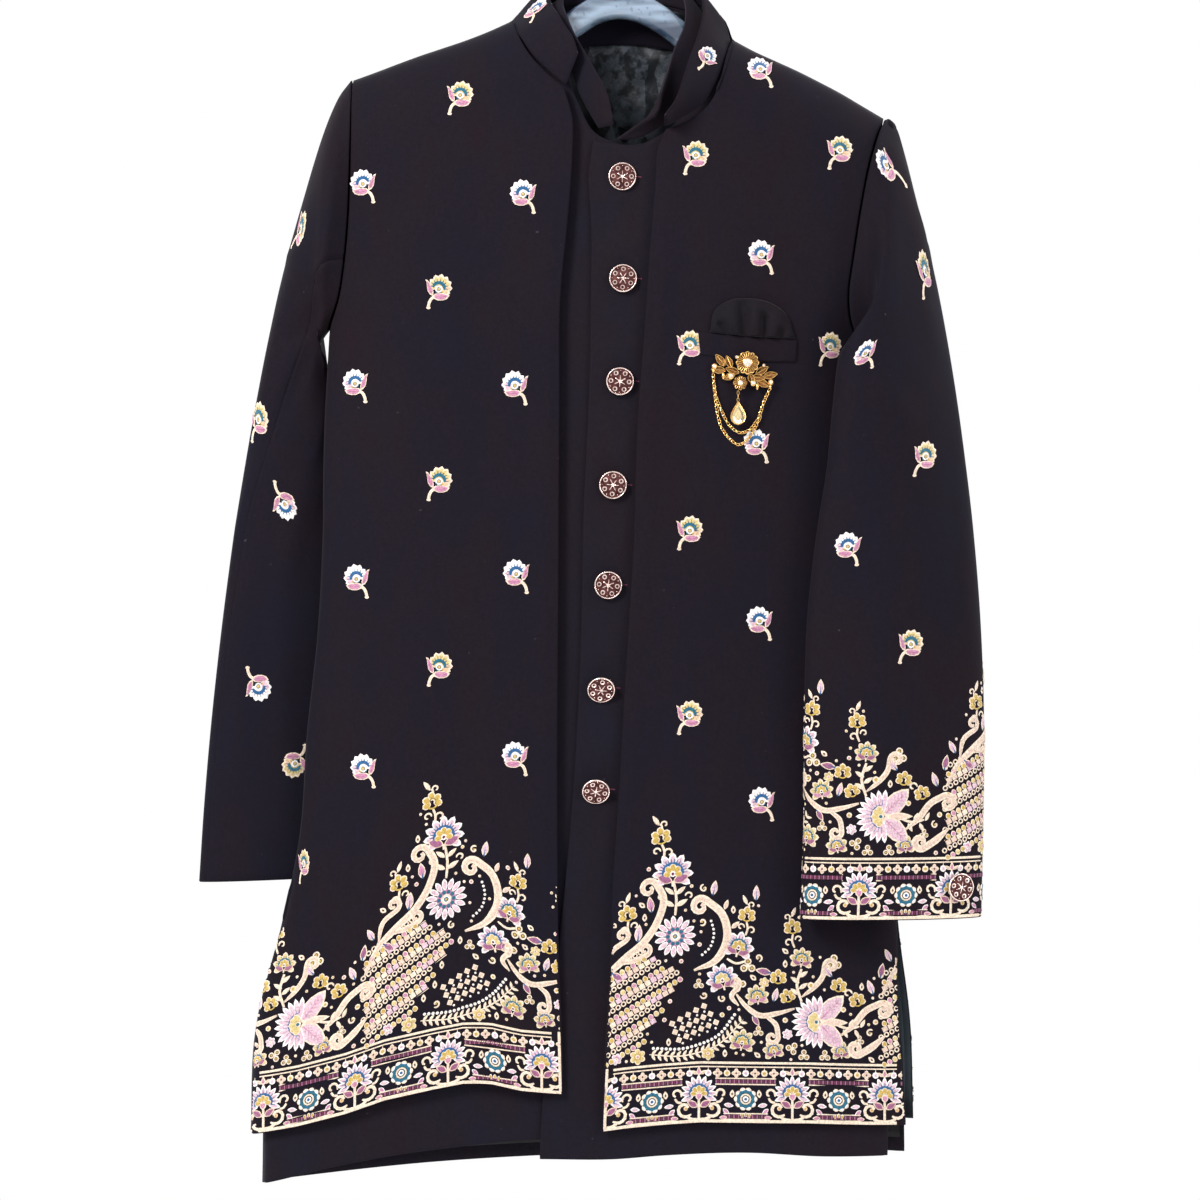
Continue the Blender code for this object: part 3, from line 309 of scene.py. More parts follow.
# Sleeves, a row for each ring from just below the armhole to the cuff: its outer and inner ends,
# half its depth, and the angles of the front and back seams, counted from the outer end over the front.
SLEEVE_COLUMNS = "outer_x outer_z outer_y inner_x inner_z inner_y half_depth front_x back_x"
SLEEVE_RIGHT = table(
    SLEEVE_COLUMNS,
    (-243, -176, 0, -258, -386, 2, 42, 4, 4),
    (-253, -199, 0, -261, -392, 8, 43, 3, 1),
    (-263, -229, 1, -261, -402, 16, 42, 2, 0),
    (-274, -267, 2, -256, -414, 25, 40, 0, 0),
    (-287, -312, 4, -246, -430, 34, 37, 0, 0),
    (-298, -355, 7, -234, -452, 42, 34, 0, 0),
    (-310, -410, 10, -220, -486, 50, 31, 0, 0),
    (-322, -472, 14, -209, -528, 55, 29, 0, 0),
    (-332, -530, 18, -205, -574, 57, 27, 0, 0),
    (-343, -607, 22, -205, -634, 57, 26, 0, 0),
    (-354, -700, 26, -207, -712, 57, 25, 0, 0),
    (-362, -785, 28, -211, -788, 56, 24, 0, 0),
    (-367, -855, 29, -214, -850, 55, 24, 0, 0),
)
SLEEVE_LEFT = table(
    SLEEVE_COLUMNS,
    (233, -197, 0, 228, -404, -12, 42, -20, 1),
    (240, -204, -1, 225, -410, -26, 43, -16, 6),
    (246, -226, -3, 213, -406, -40, 42, -9, 10),
    (254, -260, -6, 199, -398, -50, 40, -3, 12),
    (264, -300, -10, 189, -396, -56, 37, 0, 11),
    (275, -350, -15, 184, -410, -58, 34, 0, 8),
    (286, -415, -21, 180, -446, -59, 31, 0, 4),
    (295, -485, -27, 175, -500, -59, 28, 0, 0),
    (302, -550, -32, 166, -558, -58, 27, 0, 0),
    (308, -630, -36, 158, -632, -57, 26, 0, 0),
    (311, -715, -39, 156, -715, -56, 25, 0, 0),
    (310, -800, -41, 156, -800, -55, 25, 0, 0),
    (308, -879, -42, 153, -880, -54, 26, 0, 0),
)
SEAMS_RIGHT = (
    (115, 255), (112, 252), (108, 250), (104, 248), (97, 244), (90, 238), (76, 232),
    (60, 225), (46, 219), (34, 214), (29, 210), (26, 208), (25, 207), (25, 207),
)
SEAMS_LEFT = (
    (140, 285), (143, 285), (147, 285), (151, 285), (155, 286), (158, 287), (160, 288),
    (162, 289), (163, 290), (164, 290), (165, 290), (165, 290), (165, 290), (165, 290),
)

FRONT_BUTTONS = (
    # x, z, tilt of the face down in degrees
    (2, -250.5, 0),
    (2.5, -337, 0),
    (0, -424, 4),
    (-6, -512, 4),
    (-10, -597, 6),
    (-16, -685, 26),
    (-20.5, -771.5, 28),
)
CUFF_BUTTON_LEFT = (-853 * MM, math.radians(44))
CUFF_BUTTON_RIGHT = (-828 * MM, math.radians(-33))

WELT_LOWER = table("x z", (69, -402), (110, -407), (149, -407))
WELT_UPPER = table("x z", (67, -383), (110, -387), (150, -389))
PUFF_BASE = table("x z", (76, -382.5), (113, -386), (149, -387.5))
PUFF_TOP = table(
    "x z",
    (77, -380), (80, -366), (92, -357), (108, -355), (126, -358), (141, -368), (148, -385),
)

CHAIN_SHORT = table(
    "x z",
    (79, -419.5), (81, -436), (86, -449), (94, -463), (102, -468),
    (109, -466), (116, -458), (123, -440), (127, -431),
)
CHAIN_LONG = table(
    "x z",
    (80, -430), (82, -447), (86, -463), (93, -473), (101, -478), (108, -474), (114, -465), (119, -455),
)


# ---------------------------------------------------------------- curves and surfaces


def smooth(at, xs, ys):
    """A smooth curve through the rows of a table, read at one value or at many."""
    slopes = np.gradient(ys, xs)
    k = np.clip(np.searchsorted(xs, at) - 1, 0, len(xs) - 2)
    step = xs[k + 1] - xs[k]
    u = np.clip((at - xs[k]) / step, 0, 1)
    return (
        (1 + 2 * u) * (1 - u) ** 2 * ys[k]
        + u * (1 - u) ** 2 * step * slopes[k]
        + u * u * (3 - 2 * u) * ys[k + 1]
        + u * u * (u - 1) * step * slopes[k + 1]
    )


def unit(vectors):
    return vectors / np.linalg.norm(vectors, axis=-1, keepdims=True)


def run_lengths(points):
    """The length of a line through points, from its start to each of them."""
    return np.concatenate([[0], np.cumsum(np.linalg.norm(np.diff(points, axis=0), axis=1))])


def along(points, fractions):
    """Points at these fractions of the length of a smooth curve through the given points."""
    points = np.asarray(points, float)
    chord = run_lengths(points)
    fine = np.linspace(0, chord[-1], 12 * len(points))
    dense = np.stack([smooth(fine, chord, points[:, i]) for i in range(points.shape[1])], axis=1)
    length = run_lengths(dense)
    wanted = np.asarray(fractions) * length[-1]
    return np.stack([np.interp(wanted, length, dense[:, i]) for i in range(points.shape[1])], axis=1)


def edge(rows):
    """A table of x and z as points."""
    return np.stack([rows["x"], rows["z"]], axis=1)


def in_parts(fractions, *parts):
    """An edge of several smooth stretches: each part is (points, the fraction where it ends)."""
    fractions = np.asarray(fractions, float)
    out = np.zeros((len(fractions), 2))
    start = 0.0
    for points, end in parts:
        inside = (fractions >= start - 1e-9) & (fractions <= end + 1e-9)
        out[inside] = along(points, (fractions[inside] - start) / (end - start))
        start = end
    return out


def patch(bottom, top, first, last, s, t):
    """Grid of x and z between four edges: s runs from first to last, t from bottom to top."""
    s = np.asarray(s)[:, None, None]
    t = np.asarray(t)[None, :, None]
    first = first + (1 - t[0]) * (bottom[0] - first[0]) + t[0] * (top[0] - first[-1])
    last = last + (1 - t[0]) * (bottom[-1] - last[0]) + t[0] * (top[-1] - last[-1])
    corners = (
        (1 - s) * (1 - t) * bottom[0]
        + s * (1 - t) * bottom[-1]
        + (1 - s) * t * top[0]
        + s * t * top[-1]
    )
    across = (1 - t) * bottom[:, None] + t * top[:, None]
    up = (1 - s) * first[None] + s * last[None]
    return across + up - corners


def body_side(z, side):
    return smooth(z, BODY["z"], BODY[side])


def depth(x, z, face, inset=0.0):
    """How far the body stands from the plane of its side seams at x and z, on its front or back."""
    right = body_side(z, "right") + inset
    left = body_side(z, "left") - inset
    half = (left - right) / 2
    from_side = np.minimum(x - right, left - x) - DEAD_BAND
    u = 1 - np.clip(from_side, 0, half) / half
    power = FRONT_POWER if face < 0 else BACK_POWER
    column = "front" if face < 0 else "back"
    across = (1 - u**power) ** (1 / power)
    below = smooth(x, SHOULDER["x"], SHOULDER[column]) - inset - z - DEAD_BAND
    v = 1 - np.clip(below / SHOULDER_ROUND, 0, 1)
    return (body_side(z, column) - inset) * across * np.sqrt(1 - v * v)


def on_body(xz, face, inset=0.0):
    """Points of the body's front (face -1) or back (face 1) at these x and z."""
    x = xz[..., 0]
    z = xz[..., 1]
    y = face * (SEAM + depth(x, z, face, inset))
    return np.stack([x, y, z], axis=-1)


def side_edge(side, bottom, top, inset=0.0):
    """The body's side edge between two heights, as points."""
    z = np.linspace(bottom, top, 9)
    inward = inset if side == "right" else -inset
    return np.stack([body_side(z, side) + inward, z], axis=1)


def tangents(grid, axis):
    """Directions along the grid, where the shorter of the two steps at a point counts for more."""
    steps = np.diff(grid, axis=axis)
    steps = steps / np.sum(steps**2, axis=-1, keepdims=True)
    ends = [(1, 0) if a == axis else (0, 0) for a in range(3)]
    starts = [(0, 1) if a == axis else (0, 0) for a in range(3)]
    return np.pad(steps, ends) + np.pad(steps, starts)


def shoulder_edge(face, start, end, inset=0.0, count=8):
    """The shoulder seam between two places, as points."""
    x = np.linspace(start, end, count)
    z = smooth(x, SHOULDER["x"], SHOULDER["front" if face < 0 else "back"]) - inset
    return np.stack([x, z], axis=1)


def normals(grid):
    """Unit normals of a grid, on the side of (first direction) x (second direction)."""
    return unit(np.cross(tangents(grid, 0), tangents(grid, 1)))


# ---------------------------------------------------------------- materials


TWILL_SLANT = math.radians(38)
LINT_COLOUR = (0.3, 0.26, 0.3)

# Where the crushed satin goes from light to shade: outside a wedge round the middle of the neck, and
# below it. The lining's shade has rows of metres below the origin and how much light is left.
FACET_SLANT = math.radians(32)
NECK_MIDDLE = 0.009
WEDGE_SLOPE = 0.27
SHADE_ASIDE = (0.0705, 0.080)
SHADE_BELOW = (0.24, 0.30)
LINING_SHADE = ((0.30, 0.3), (0.40, 1), (1.038, 1), (1.05, 0.3))


def new_material(name, roughness, **inputs):
    """A material whose shader has these inputs, named with _ for a space."""
    made = bpy.data.materials.new(name)
    made.use_nodes = True
    shader = made.node_tree.nodes["Principled BSDF"]
    shader.inputs["Roughness"].default_value = roughness
    for key, value in inputs.items():
        shader.inputs[key.replace("_", " ")].default_value = value
    return made, made.node_tree, shader


def node(tree, kind, **settings):
    made = tree.nodes.new(kind)
    for key, value in settings.items():
        if key in made.inputs:
            made.inputs[key].default_value = value
        else:
            setattr(made, key, value)
    return made


def noise(tree, coordinates, scale, detail, rough=0.6):
    made = node(tree, "ShaderNodeTexNoise", Scale=scale, Detail=detail, Roughness=rough)
    tree.links.new(coordinates, made.inputs["Vector"])
    return made.outputs["Fac"]


def wave(tree, coordinates, scale, distortion):
    """Bands across X."""
    made = node(tree, "ShaderNodeTexWave", Scale=scale, Distortion=distortion)
    tree.links.new(coordinates, made.inputs["Vector"])
    return made.outputs["Fac"]


def ramp(tree, value, stops):
    made = node(tree, "ShaderNodeValToRGB")
    elements = made.color_ramp.elements
    while len(elements) < len(stops):
        elements.new(0.5)
    for element, (place, colour) in zip(elements, stops):
        element.position = place
        element.color = (*colour, 1.0)
    tree.links.new(value, made.inputs["Fac"])
    return made.outputs["Color"]


def maths(tree, operation, first, second):
    made = node(tree, "ShaderNodeMath", operation=operation)
    for socket, value in zip(made.inputs, (first, second)):
        if isinstance(value, (int, float)):
            socket.default_value = value
        else:
            tree.links.new(value, socket)
    return made.outputs["Value"]


def blend_colours(tree, share, first, second, kind="MIX"):
    made = node(tree, "ShaderNodeMix", data_type="RGBA", blend_type=kind)
    for socket, value in ((made.inputs[0], share), (made.inputs[6], first), (made.inputs[7], second)):
        if isinstance(value, (int, float)):
            socket.default_value = value
        elif isinstance(value, tuple):
            socket.default_value = (*value, 1.0)
        else:
            tree.links.new(value, socket)
    return made.outputs[2]


def add_bump(tree, shader, height, strength, distance):
    made = node(tree, "ShaderNodeBump", Strength=strength, Distance=distance)
    tree.links.new(height, made.inputs["Height"])
    tree.links.new(made.outputs["Normal"], shader.inputs["Normal"])


def object_coordinates(tree):
    return node(tree, "ShaderNodeTexCoord").outputs["Object"]


def mapped(tree, place, **settings):
    """Coordinates turned by a Rotation or stretched by a Scale."""
    made = node(tree, "ShaderNodeMapping", **settings)
    tree.links.new(place, made.inputs["Vector"])
    return made.outputs["Vector"]


def split_axes(tree, place):
    parts = node(tree, "ShaderNodeSeparateXYZ")
    tree.links.new(place, parts.inputs["Vector"])
    return parts.outputs


def weighted(tree, first, share, second, rest):
    return maths(tree, "ADD", maths(tree, "MULTIPLY", first, share), maths(tree, "MULTIPLY", second, rest))


def paint(tree, shader, colour):
    tree.links.new(colour, shader.inputs["Base Color"])


def scaled(colour, share):
    """A colour made darker or lighter."""
    return tuple(min(channel * share, 1) for channel in colour)


def grey(level):
    return (level, level, level)


def suiting(name, warm, cool, nap=0.035):
    """Fine matt suiting: a fine twill, a soft nap, lint, and dye that drifts from warm to cool."""
    made, tree, shader = new_material(
        name, 0.82, Specular_IOR_Level=0.065, Sheen_Weight=nap, Sheen_Roughness=0.4,
        Sheen_Tint=(0.8, 0.75, 0.9, 1.0),
    )
    place = object_coordinates(tree)
    twill = wave(tree, mapped(tree, place, Rotation=(0, TWILL_SLANT, 0)), 420, 1.5)
    fuzz = noise(tree, place, 1500, 2.0)
    speckle = noise(tree, place, 420, 4.0, 0.75)
    cloud = noise(tree, mapped(tree, place, Scale=(1.0, 1.0, 0.45)), 26.0, 4.0, 0.6)
    drift = noise(tree, place, 5.0, 2.0, 0.5)
    weave = weighted(tree, twill, 0.4, fuzz, 0.6)
    grain = ramp(tree, speckle, ((0.3, grey(0.72)), (0.72, grey(1.28))))
    dyed = ramp(tree, weighted(tree, cloud, 0.6, drift, 0.4), ((0.36, warm), (0.62, cool)))
    colour = blend_colours(tree, 0.8, dyed, grain, "MULTIPLY")
    lint = ramp(tree, noise(tree, place, 230, 1.0, 0.4), ((0.8, grey(0)), (0.845, grey(1))))
    paint(tree, shader, blend_colours(tree, maths(tree, "MULTIPLY", lint, 0.06), colour, LINT_COLOUR))
    add_bump(tree, shader, weave, 0.35, 0.0004)
    return made


def crushed_satin(name, dark, light):
    """Lining satin in lit facets, which falls into shade down the sides of the neck and below it."""
    made, tree, shader = new_material(name, 0.34, Specular_IOR_Level=0.16)
    place = object_coordinates(tree)
    warp = wave(tree, place, 900, 2.0)
    slanted = mapped(tree, place, Rotation=(0, FACET_SLANT, 0), Scale=(1.0, 1.0, 0.4))
    cells = node(tree, "ShaderNodeTexVoronoi", Scale=64)
    tree.links.new(slanted, cells.inputs["Vector"])
    share = maths(tree, "MULTIPLY", cells.outputs["Color"], 0.4)
    facets = maths(tree, "ADD", share, maths(tree, "MULTIPLY", noise(tree, place, 85, 3.0, 0.6), 0.6))
    colour = ramp(tree, facets, (
        (0.42, dark), (0.47, scaled(light, 0.4)), (0.50, scaled(light, 0.75)), (0.53, scaled(light, 0.5)),
        (0.60, light),
    ))
    axes = split_axes(tree, place)
    aside = maths(tree, "ABSOLUTE", maths(tree, "SUBTRACT", axes["X"], NECK_MIDDLE), 0.0)
    wedge = maths(tree, "ADD", aside, maths(tree, "MULTIPLY", axes["Z"], -WEDGE_SLOPE))
    down = maths(tree, "ABSOLUTE", axes["Z"], 0.0)
    for distance, (near, far) in ((wedge, SHADE_ASIDE), (down, SHADE_BELOW)):
        shade = ramp(tree, distance, ((near, grey(1)), (far, (0.14, 0.14, 0.16))))
        colour = blend_colours(tree, 1.0, colour, shade, "MULTIPLY")
    paint(tree, shader, colour)
    add_bump(tree, shader, maths(tree, "ADD", maths(tree, "MULTIPLY", warp, 0.1), facets), 0.5, 0.003)
    return made


def plain_satin(name, dark, light):
    """Lining satin with a soft gloss, in shade near the shoulders and at the hem."""
    made, tree, shader = new_material(name, 0.6, Specular_IOR_Level=0.08)
    place = object_coordinates(tree)
    warp = wave(tree, place, 900, 2.0)
    colour = ramp(tree, noise(tree, place, 26, 4.0, 0.6), ((0.3, dark), (0.7, light)))
    down = maths(tree, "ABSOLUTE", split_axes(tree, place)["Z"], 0.0)
    stops = [(metres / 2, grey(level)) for metres, level in LINING_SHADE]
    shade = ramp(tree, maths(tree, "MULTIPLY", down, 0.5), stops)
    paint(tree, shader, blend_colours(tree, 1.0, colour, shade, "MULTIPLY"))
    add_bump(tree, shader, warp, 0.5, 0.0003)
    return made


def thread(name, colour):
    """Embroidery floss: lines along the stitches, a lit top and darker gaps between them."""
    made, tree, shader = new_material(name, 0.45, Specular_IOR_Level=0.3, Sheen_Weight=0.1)
    uv = node(tree, "ShaderNodeUVMap", uv_map="thread").outputs["UV"]
    lines = wave(tree, uv, 0.55, 1.2)
    cloud = noise(tree, object_coordinates(tree), 620, 2.0, 0.7)
    shade = ramp(tree, lines, ((0.0, scaled(colour, 0.42)), (0.6, scaled(colour, 1.15))))
    light = ramp(tree, cloud, ((0.36, scaled(colour, 0.6)), (0.64, scaled(colour, 1.4))))
    paint(tree, shader, blend_colours(tree, 0.55, shade, light))
    add_bump(tree, shader, lines, 0.6, 0.0003)
    return made


def metal(name, dark, bright, roughness, mottle=260):
    """Plated or cast metal, bright and tarnished in patches."""
    made, tree, shader = new_material(name, roughness, Metallic=1.0)
    place = object_coordinates(tree)
    patches = noise(tree, place, mottle, 4.0, 0.65)
    paint(tree, shader, ramp(tree, patches, ((0.35, dark), (0.62, bright))))
    rough = maths(tree, "ADD", maths(tree, "MULTIPLY", patches, 0.2), roughness - 0.1)
    tree.links.new(rough, shader.inputs["Roughness"])
    add_bump(tree, shader, noise(tree, place, mottle * 6, 2.0), 0.25, 0.0001)
    return made


def crystal(name, tint):
    made, tree, shader = new_material(name, 0.04, Specular_IOR_Level=0.9, Transmission_Weight=0.6, IOR=1.7)
    sparkle = noise(tree, object_coordinates(tree), 700, 1.0)
    paint(tree, shader, ramp(tree, sparkle, ((0.35, scaled(tint, 0.75)), (0.6, tint))))
    return made


def moulded_plastic(name, dark, light):
    """Glossy translucent plastic with small mould marks, and streaks painted lighter and darker along it as
    painted reflections.
    """
    made, tree, shader = new_material(
        name, 0.12, Specular_IOR_Level=0.7, Transmission_Weight=0.15, Coat_Weight=1.0, Coat_Roughness=0.05,
        Subsurface_Weight=0.2, Subsurface_Scale=0.004,
    )
    place = object_coordinates(tree)
    # Painted reflections: a noise stretched along the hanger paints lighter and darker streaks for the
    # gloss's highlights and shaded edges.
    reflection_streaks = noise(tree, mapped(tree, place, Scale=(0.3, 1.0, 1.6)), 42, 2.0)
    colour = ramp(tree, reflection_streaks, ((0.40, dark), (0.62, light)))
    spots = ramp(tree, noise(tree, place, 260, 0.0), ((0.66, grey(0)), (0.72, grey(1))))
    paint(tree, shader, blend_colours(tree, maths(tree, "MULTIPLY", spots, 0.35), colour, (0.05, 0.07, 0.1)))
    add_bump(tree, shader, noise(tree, place, 40, 2.0), 0.1, 0.002)
    return made


CLOTH = suiting("aubergine_suiting", (0.0072, 0.0043, 0.0067), (0.0051, 0.0044, 0.0090), nap=0.027)
# The collars' edge cloth is painted lighter than the coat's: a painted highlight along their top edges.
CLOTH_EDGE_HIGHLIGHT = suiting("aubergine_suiting_edge_highlight", (0.022, 0.017, 0.024), (0.018, 0.017, 0.026))
CLOTH_KURTA = suiting("aubergine_suiting_plain", (0.0078, 0.0050, 0.0074), (0.0060, 0.0053, 0.0100), nap=0.05)
CLOTH_PUFF = suiting("aubergine_suiting_puff", (0.0072, 0.0053, 0.0072), (0.0056, 0.0053, 0.0084), nap=0.06)
LINING = crushed_satin("slate_satin", (0.010, 0.012, 0.015), (0.068, 0.079, 0.096))
LINING_PLAIN = plain_satin("slate_lining", (0.034, 0.044, 0.052), (0.050, 0.064, 0.075))
COPPER_BRIGHT = metal("antique_copper_bright", (0.60, 0.43, 0.38), (0.95, 0.80, 0.74), 0.28)
COPPER_DARK = metal("antique_copper_dark", (0.032, 0.011, 0.012), (0.115, 0.044, 0.042), 0.5)
GILT = metal("rose_gilt", (0.62, 0.33, 0.09), (0.94, 0.62, 0.24), 0.22, mottle=400)
GILT_DARK = metal("rose_gilt_deep", (0.09, 0.035, 0.012), (0.30, 0.145, 0.045), 0.35, mottle=400)
CRYSTAL = crystal("clear_crystal", (0.94, 0.96, 0.98))
CRYSTAL_WARM = crystal("champagne_crystal", (0.90, 0.74, 0.40))
PLASTIC = moulded_plastic("blue_grey_plastic", (0.035, 0.056, 0.10), (0.23, 0.305, 0.40))
STEEL = metal("hook_steel", (0.45, 0.46, 0.48), (0.75, 0.76, 0.78), 0.22)

THREADS = {
    "cream": (0.70, 0.57, 0.45),
    "white": (0.78, 0.71, 0.70),
    "pink": (0.58, 0.40, 0.465),
    "blush": (0.62, 0.46, 0.37),
    "mauve": (0.27, 0.09, 0.18),
    "rose": (0.46, 0.20, 0.31),
    "maroon": (0.10, 0.014, 0.040),
    "gold": (0.46, 0.31, 0.066),
    "butter": (0.55, 0.425, 0.18),
    "peach": (0.62, 0.42, 0.27),
    "teal": (0.004, 0.10, 0.165),
    "blue": (0.010, 0.085, 0.22),
    "lilac": (0.20, 0.15, 0.33),
    "brown": (0.05, 0.022, 0.012),
}
THREAD_NAMES = tuple(THREADS)
THREAD_MATERIALS = [thread(f"thread_{name}", THREADS[name]) for name in THREAD_NAMES]


# ---------------------------------------------------------------- meshes


def add_mesh(name, points, faces, materials, body="root", slots=None, uvs=None, sharp=40):
    """A mesh object in the shared frame that rides on a body.

    faces is one array of triangles or quads, or a list.
    """
    mesh = bpy.data.meshes.new(name)
    points = np.asarray(points, np.float32)
    if isinstance(faces, np.ndarray):
        count, corners = faces.shape
        mesh.vertices.add(len(points))
        mesh.vertices.foreach_set("co", points.ravel())
        mesh.loops.add(count * corners)
        mesh.loops.foreach_set("vertex_index", faces.astype(np.int32).ravel())
        mesh.polygons.add(count)
        mesh.polygons.foreach_set("loop_start", np.arange(0, count * corners, corners, dtype=np.int32))
        mesh.update(calc_edges=True)
    else:
        mesh.from_pydata(points.tolist(), [], faces)
    for finish in materials:
        mesh.materials.append(finish)
    if slots is not None:
        mesh.polygons.foreach_set("material_index", np.asarray(slots, np.int32))
    if uvs is not None:
        layer = mesh.uv_layers.new(name="thread")
        corner_points = np.zeros(len(mesh.loops), np.int32)
        mesh.loops.foreach_get("vertex_index", corner_points)
        layer.data.foreach_set("uv", np.asarray(uvs, np.float32)[corner_points].ravel())
    mesh.shade_smooth()
    if sharp:
        mesh.set_sharp_from_angle(angle=math.radians(sharp))
    mesh.validate()
    made = bpy.data.objects.new(name, mesh)
    bpy.context.scene.collection.objects.link(made)
    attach(made, body)
    return made


def cloth_shell(name, outside, wall, finish, face=0, inside=None, lined=None):
    """A wall of cloth whose outside is the grid, with its edges rounded over.

    lined is the finish of its inside.
    """
    if inside is None:
        inside = outside - normals(outside) * wall
        if face:
            inside[..., 1] = face * np.maximum(face * inside[..., 1], SEAM * 0.5)
    n, m = outside.shape[:2]
    rim = [i * m for i in range(n)]
    rim += [(n - 1) * m + j for j in range(1, m)]
    rim += [i * m + m - 1 for i in range(n - 2, -1, -1)]
    rim += [j for j in range(m - 2, 0, -1)]
    rim = np.array(rim)
    flat_out = outside.reshape(-1, 3)
    flat_in = inside.reshape(-1, 3)
    rows, columns = np.divmod(rim, m)
    inner_rows = np.clip(rows, 1, n - 2)
    inner_columns = np.clip(columns, 1, m - 2)
    outward = flat_out[rim] - outside[inner_rows, inner_columns]
    outward /= np.linalg.norm(outward, axis=1, keepdims=True) + 1e-9
    middle = (flat_out[rim] + flat_in[rim]) / 2 + outward * wall * 0.5
    points = np.concatenate([flat_out, flat_in, middle])
    back = n * m
    mid = 2 * back + np.arange(len(rim))
    i, j = np.meshgrid(np.arange(n - 1), np.arange(m - 1), indexing="ij")
    a = (i * m + j).ravel()
    front_faces = np.stack([a, a + m, a + m + 1, a + 1], axis=1)
    back_faces = np.stack([back + a, back + a + 1, back + a + m + 1, back + a + m], axis=1)
    after = np.roll(rim, -1)
    mid_after = np.roll(mid, -1)
    rim_out = np.stack([after, rim, mid, mid_after], axis=1)
    rim_in = np.stack([mid_after, mid, back + rim, back + after], axis=1)
    faces = np.concatenate([front_faces, back_faces, rim_out, rim_in])
    if lined is None:
        return add_mesh(name, points, faces, [finish], sharp=75)
    slots = np.repeat((0, 1, 0), (len(front_faces), len(back_faces), 2 * len(rim_out)))
    return add_mesh(name, points, faces, [finish, lined], slots=slots, sharp=75)


def tube(rings, sides, flip=False, closed=False):
    """The quads of a tube, ring after ring, and the faces that close its first and last ring."""
    quads = []
    for i in range(rings if closed else rings - 1):
        low, high = i * sides, (i + 1) % rings * sides
        for k in range(sides):
            q = (k + 1) % sides
            corners = (low + k, low + q, high + q, high + k)
            quads.append(corners[:1] + corners[:0:-1] if flip else corners)
    first = tuple(range(sides))
    last = tuple((rings - 1) * sides + k for k in range(sides))
    return (quads, first, last[::-1]) if flip else (quads, first[::-1], last)


def circle_steps(count):
    """The cosines and sines of even steps round a circle."""
    angles = 2 * np.pi * np.arange(count) / count
    return np.cos(angles), np.sin(angles)


def rod(path, radius, sides, closed=False):
    """Points and quads of a round bar along points, with rounded ends unless it is closed."""
    path = np.asarray(path, float)
    count = len(path)
    radii = np.broadcast_to(np.asarray(radius, float), (count,)).copy()
    if closed:
        tangent = np.roll(path, -1, axis=0) - np.roll(path, 1, axis=0)
    else:
        tangent = np.gradient(path, axis=0)
        first = path[0] - tangent[0] / np.linalg.norm(tangent[0]) * radii[0] * 0.6
        last = path[-1] + tangent[-1] / np.linalg.norm(tangent[-1]) * radii[-1] * 0.6
        path = np.concatenate([[first], path, [last]])
        tangent = np.concatenate([[tangent[0]], tangent, [tangent[-1]]])
        radii = np.concatenate([[radii[0] * 0.35], radii, [radii[-1] * 0.35]])
    tangent = tangent / np.linalg.norm(tangent, axis=1, keepdims=True)
    guide = np.array((0.0, 1.0, 0.0)) if abs(tangent[0][1]) < 0.9 else np.array((1.0, 0.0, 0.0))
    side = np.cross(tangent[0], guide)
    cosines, sines = circle_steps(sides)
    points = []
    for p, t, r in zip(path, tangent, radii):
        side = side - t * np.dot(side, t)
        side /= np.linalg.norm(side)
        points.append(p + r * (cosines[:, None] * side + sines[:, None] * np.cross(t, side)))
    quads, first, last = tube(len(points), sides, closed=closed)
    return np.concatenate(points), quads if closed else quads + [first, last]


class Parts:
    """Solid bits gathered into one mesh."""

    def __init__(self):
        self.points = []
        self.faces = []
        self.slots = []
        self.count = 0

    def add(self, points, faces, slot=0):
        points = np.asarray(points, float)
        self.points.append(points)
        self.faces.extend(tuple(int(v) + self.count for v in f) for f in faces)
        self.slots.extend(slot if isinstance(slot, list) else [slot] * len(faces))
        self.count += len(points)

    def made(self, name, materials, body="root", sharp=50):
        points = np.concatenate(self.points)
        return add_mesh(name, points, self.faces, materials, body, self.slots, sharp=sharp)


def basis(normal):
    """Two directions across a normal: to the right and up."""
    normal = np.asarray(normal, float) / np.linalg.norm(normal)
    right = np.cross((0.0, 0.0, 1.0), normal)
    if np.linalg.norm(right) < 0.01:
        right = np.array((1.0, 0.0, 0.0))
    right = right / np.linalg.norm(right)
    return right, np.cross(normal, right), normal


def lathe(profile, centre, normal, sides, lobes=None):
    """Points and faces of a turned solid. lobes(angles) scales its radius."""
    right, up, out = basis(normal)
    points = []
    angles = 2 * np.pi * np.arange(sides) / sides
    for radius, height in profile:
        r = radius * (lobes(angles) if lobes else np.ones(sides))
        ring = np.cos(angles)[:, None] * right + np.sin(angles)[:, None] * up
        points.append(np.asarray(centre) + r[:, None] * ring + height * out)
    quads, first, last = tube(len(profile), sides)
    return np.concatenate(points), [first, *quads, last]


def ball(centre, radii, sides, rings, directions):
    """Points and faces of a small bead, round or stretched."""
    across, up, out = directions
    points = []
    for i in range(rings):
        a = np.pi * (i + 0.5) / rings
        for k in range(sides):
            b = 2 * np.pi * k / sides
            offset = (
                radii[0] * math.sin(a) * math.cos(b) * across
                + radii[1] * math.sin(a) * math.sin(b) * up
                + radii[2] * math.cos(a) * out
            )
            points.append(np.asarray(centre) + offset)
    quads, first, last = tube(rings, sides, flip=True)
    return np.array(points), [first, *quads, last]


# ---------------------------------------------------------------- folds


def step_up(u):
    u = np.clip(u, 0, 1)
    return u * u * (3 - 2 * u)


def ripple(x, z, scale, seed):
    """A slow unevenness between about -1 and 1."""
    total = 0.0
    for k in range(4):
        turn = 0.7 + 1.9 * k + seed
        size = scale * (1 + 0.45 * k)
        run = (x * math.cos(turn) + z * math.sin(turn)) / size
        total = total + np.sin(run + 2.1 * seed + k) / (1.5 + k * 0.5)
    return total / 2


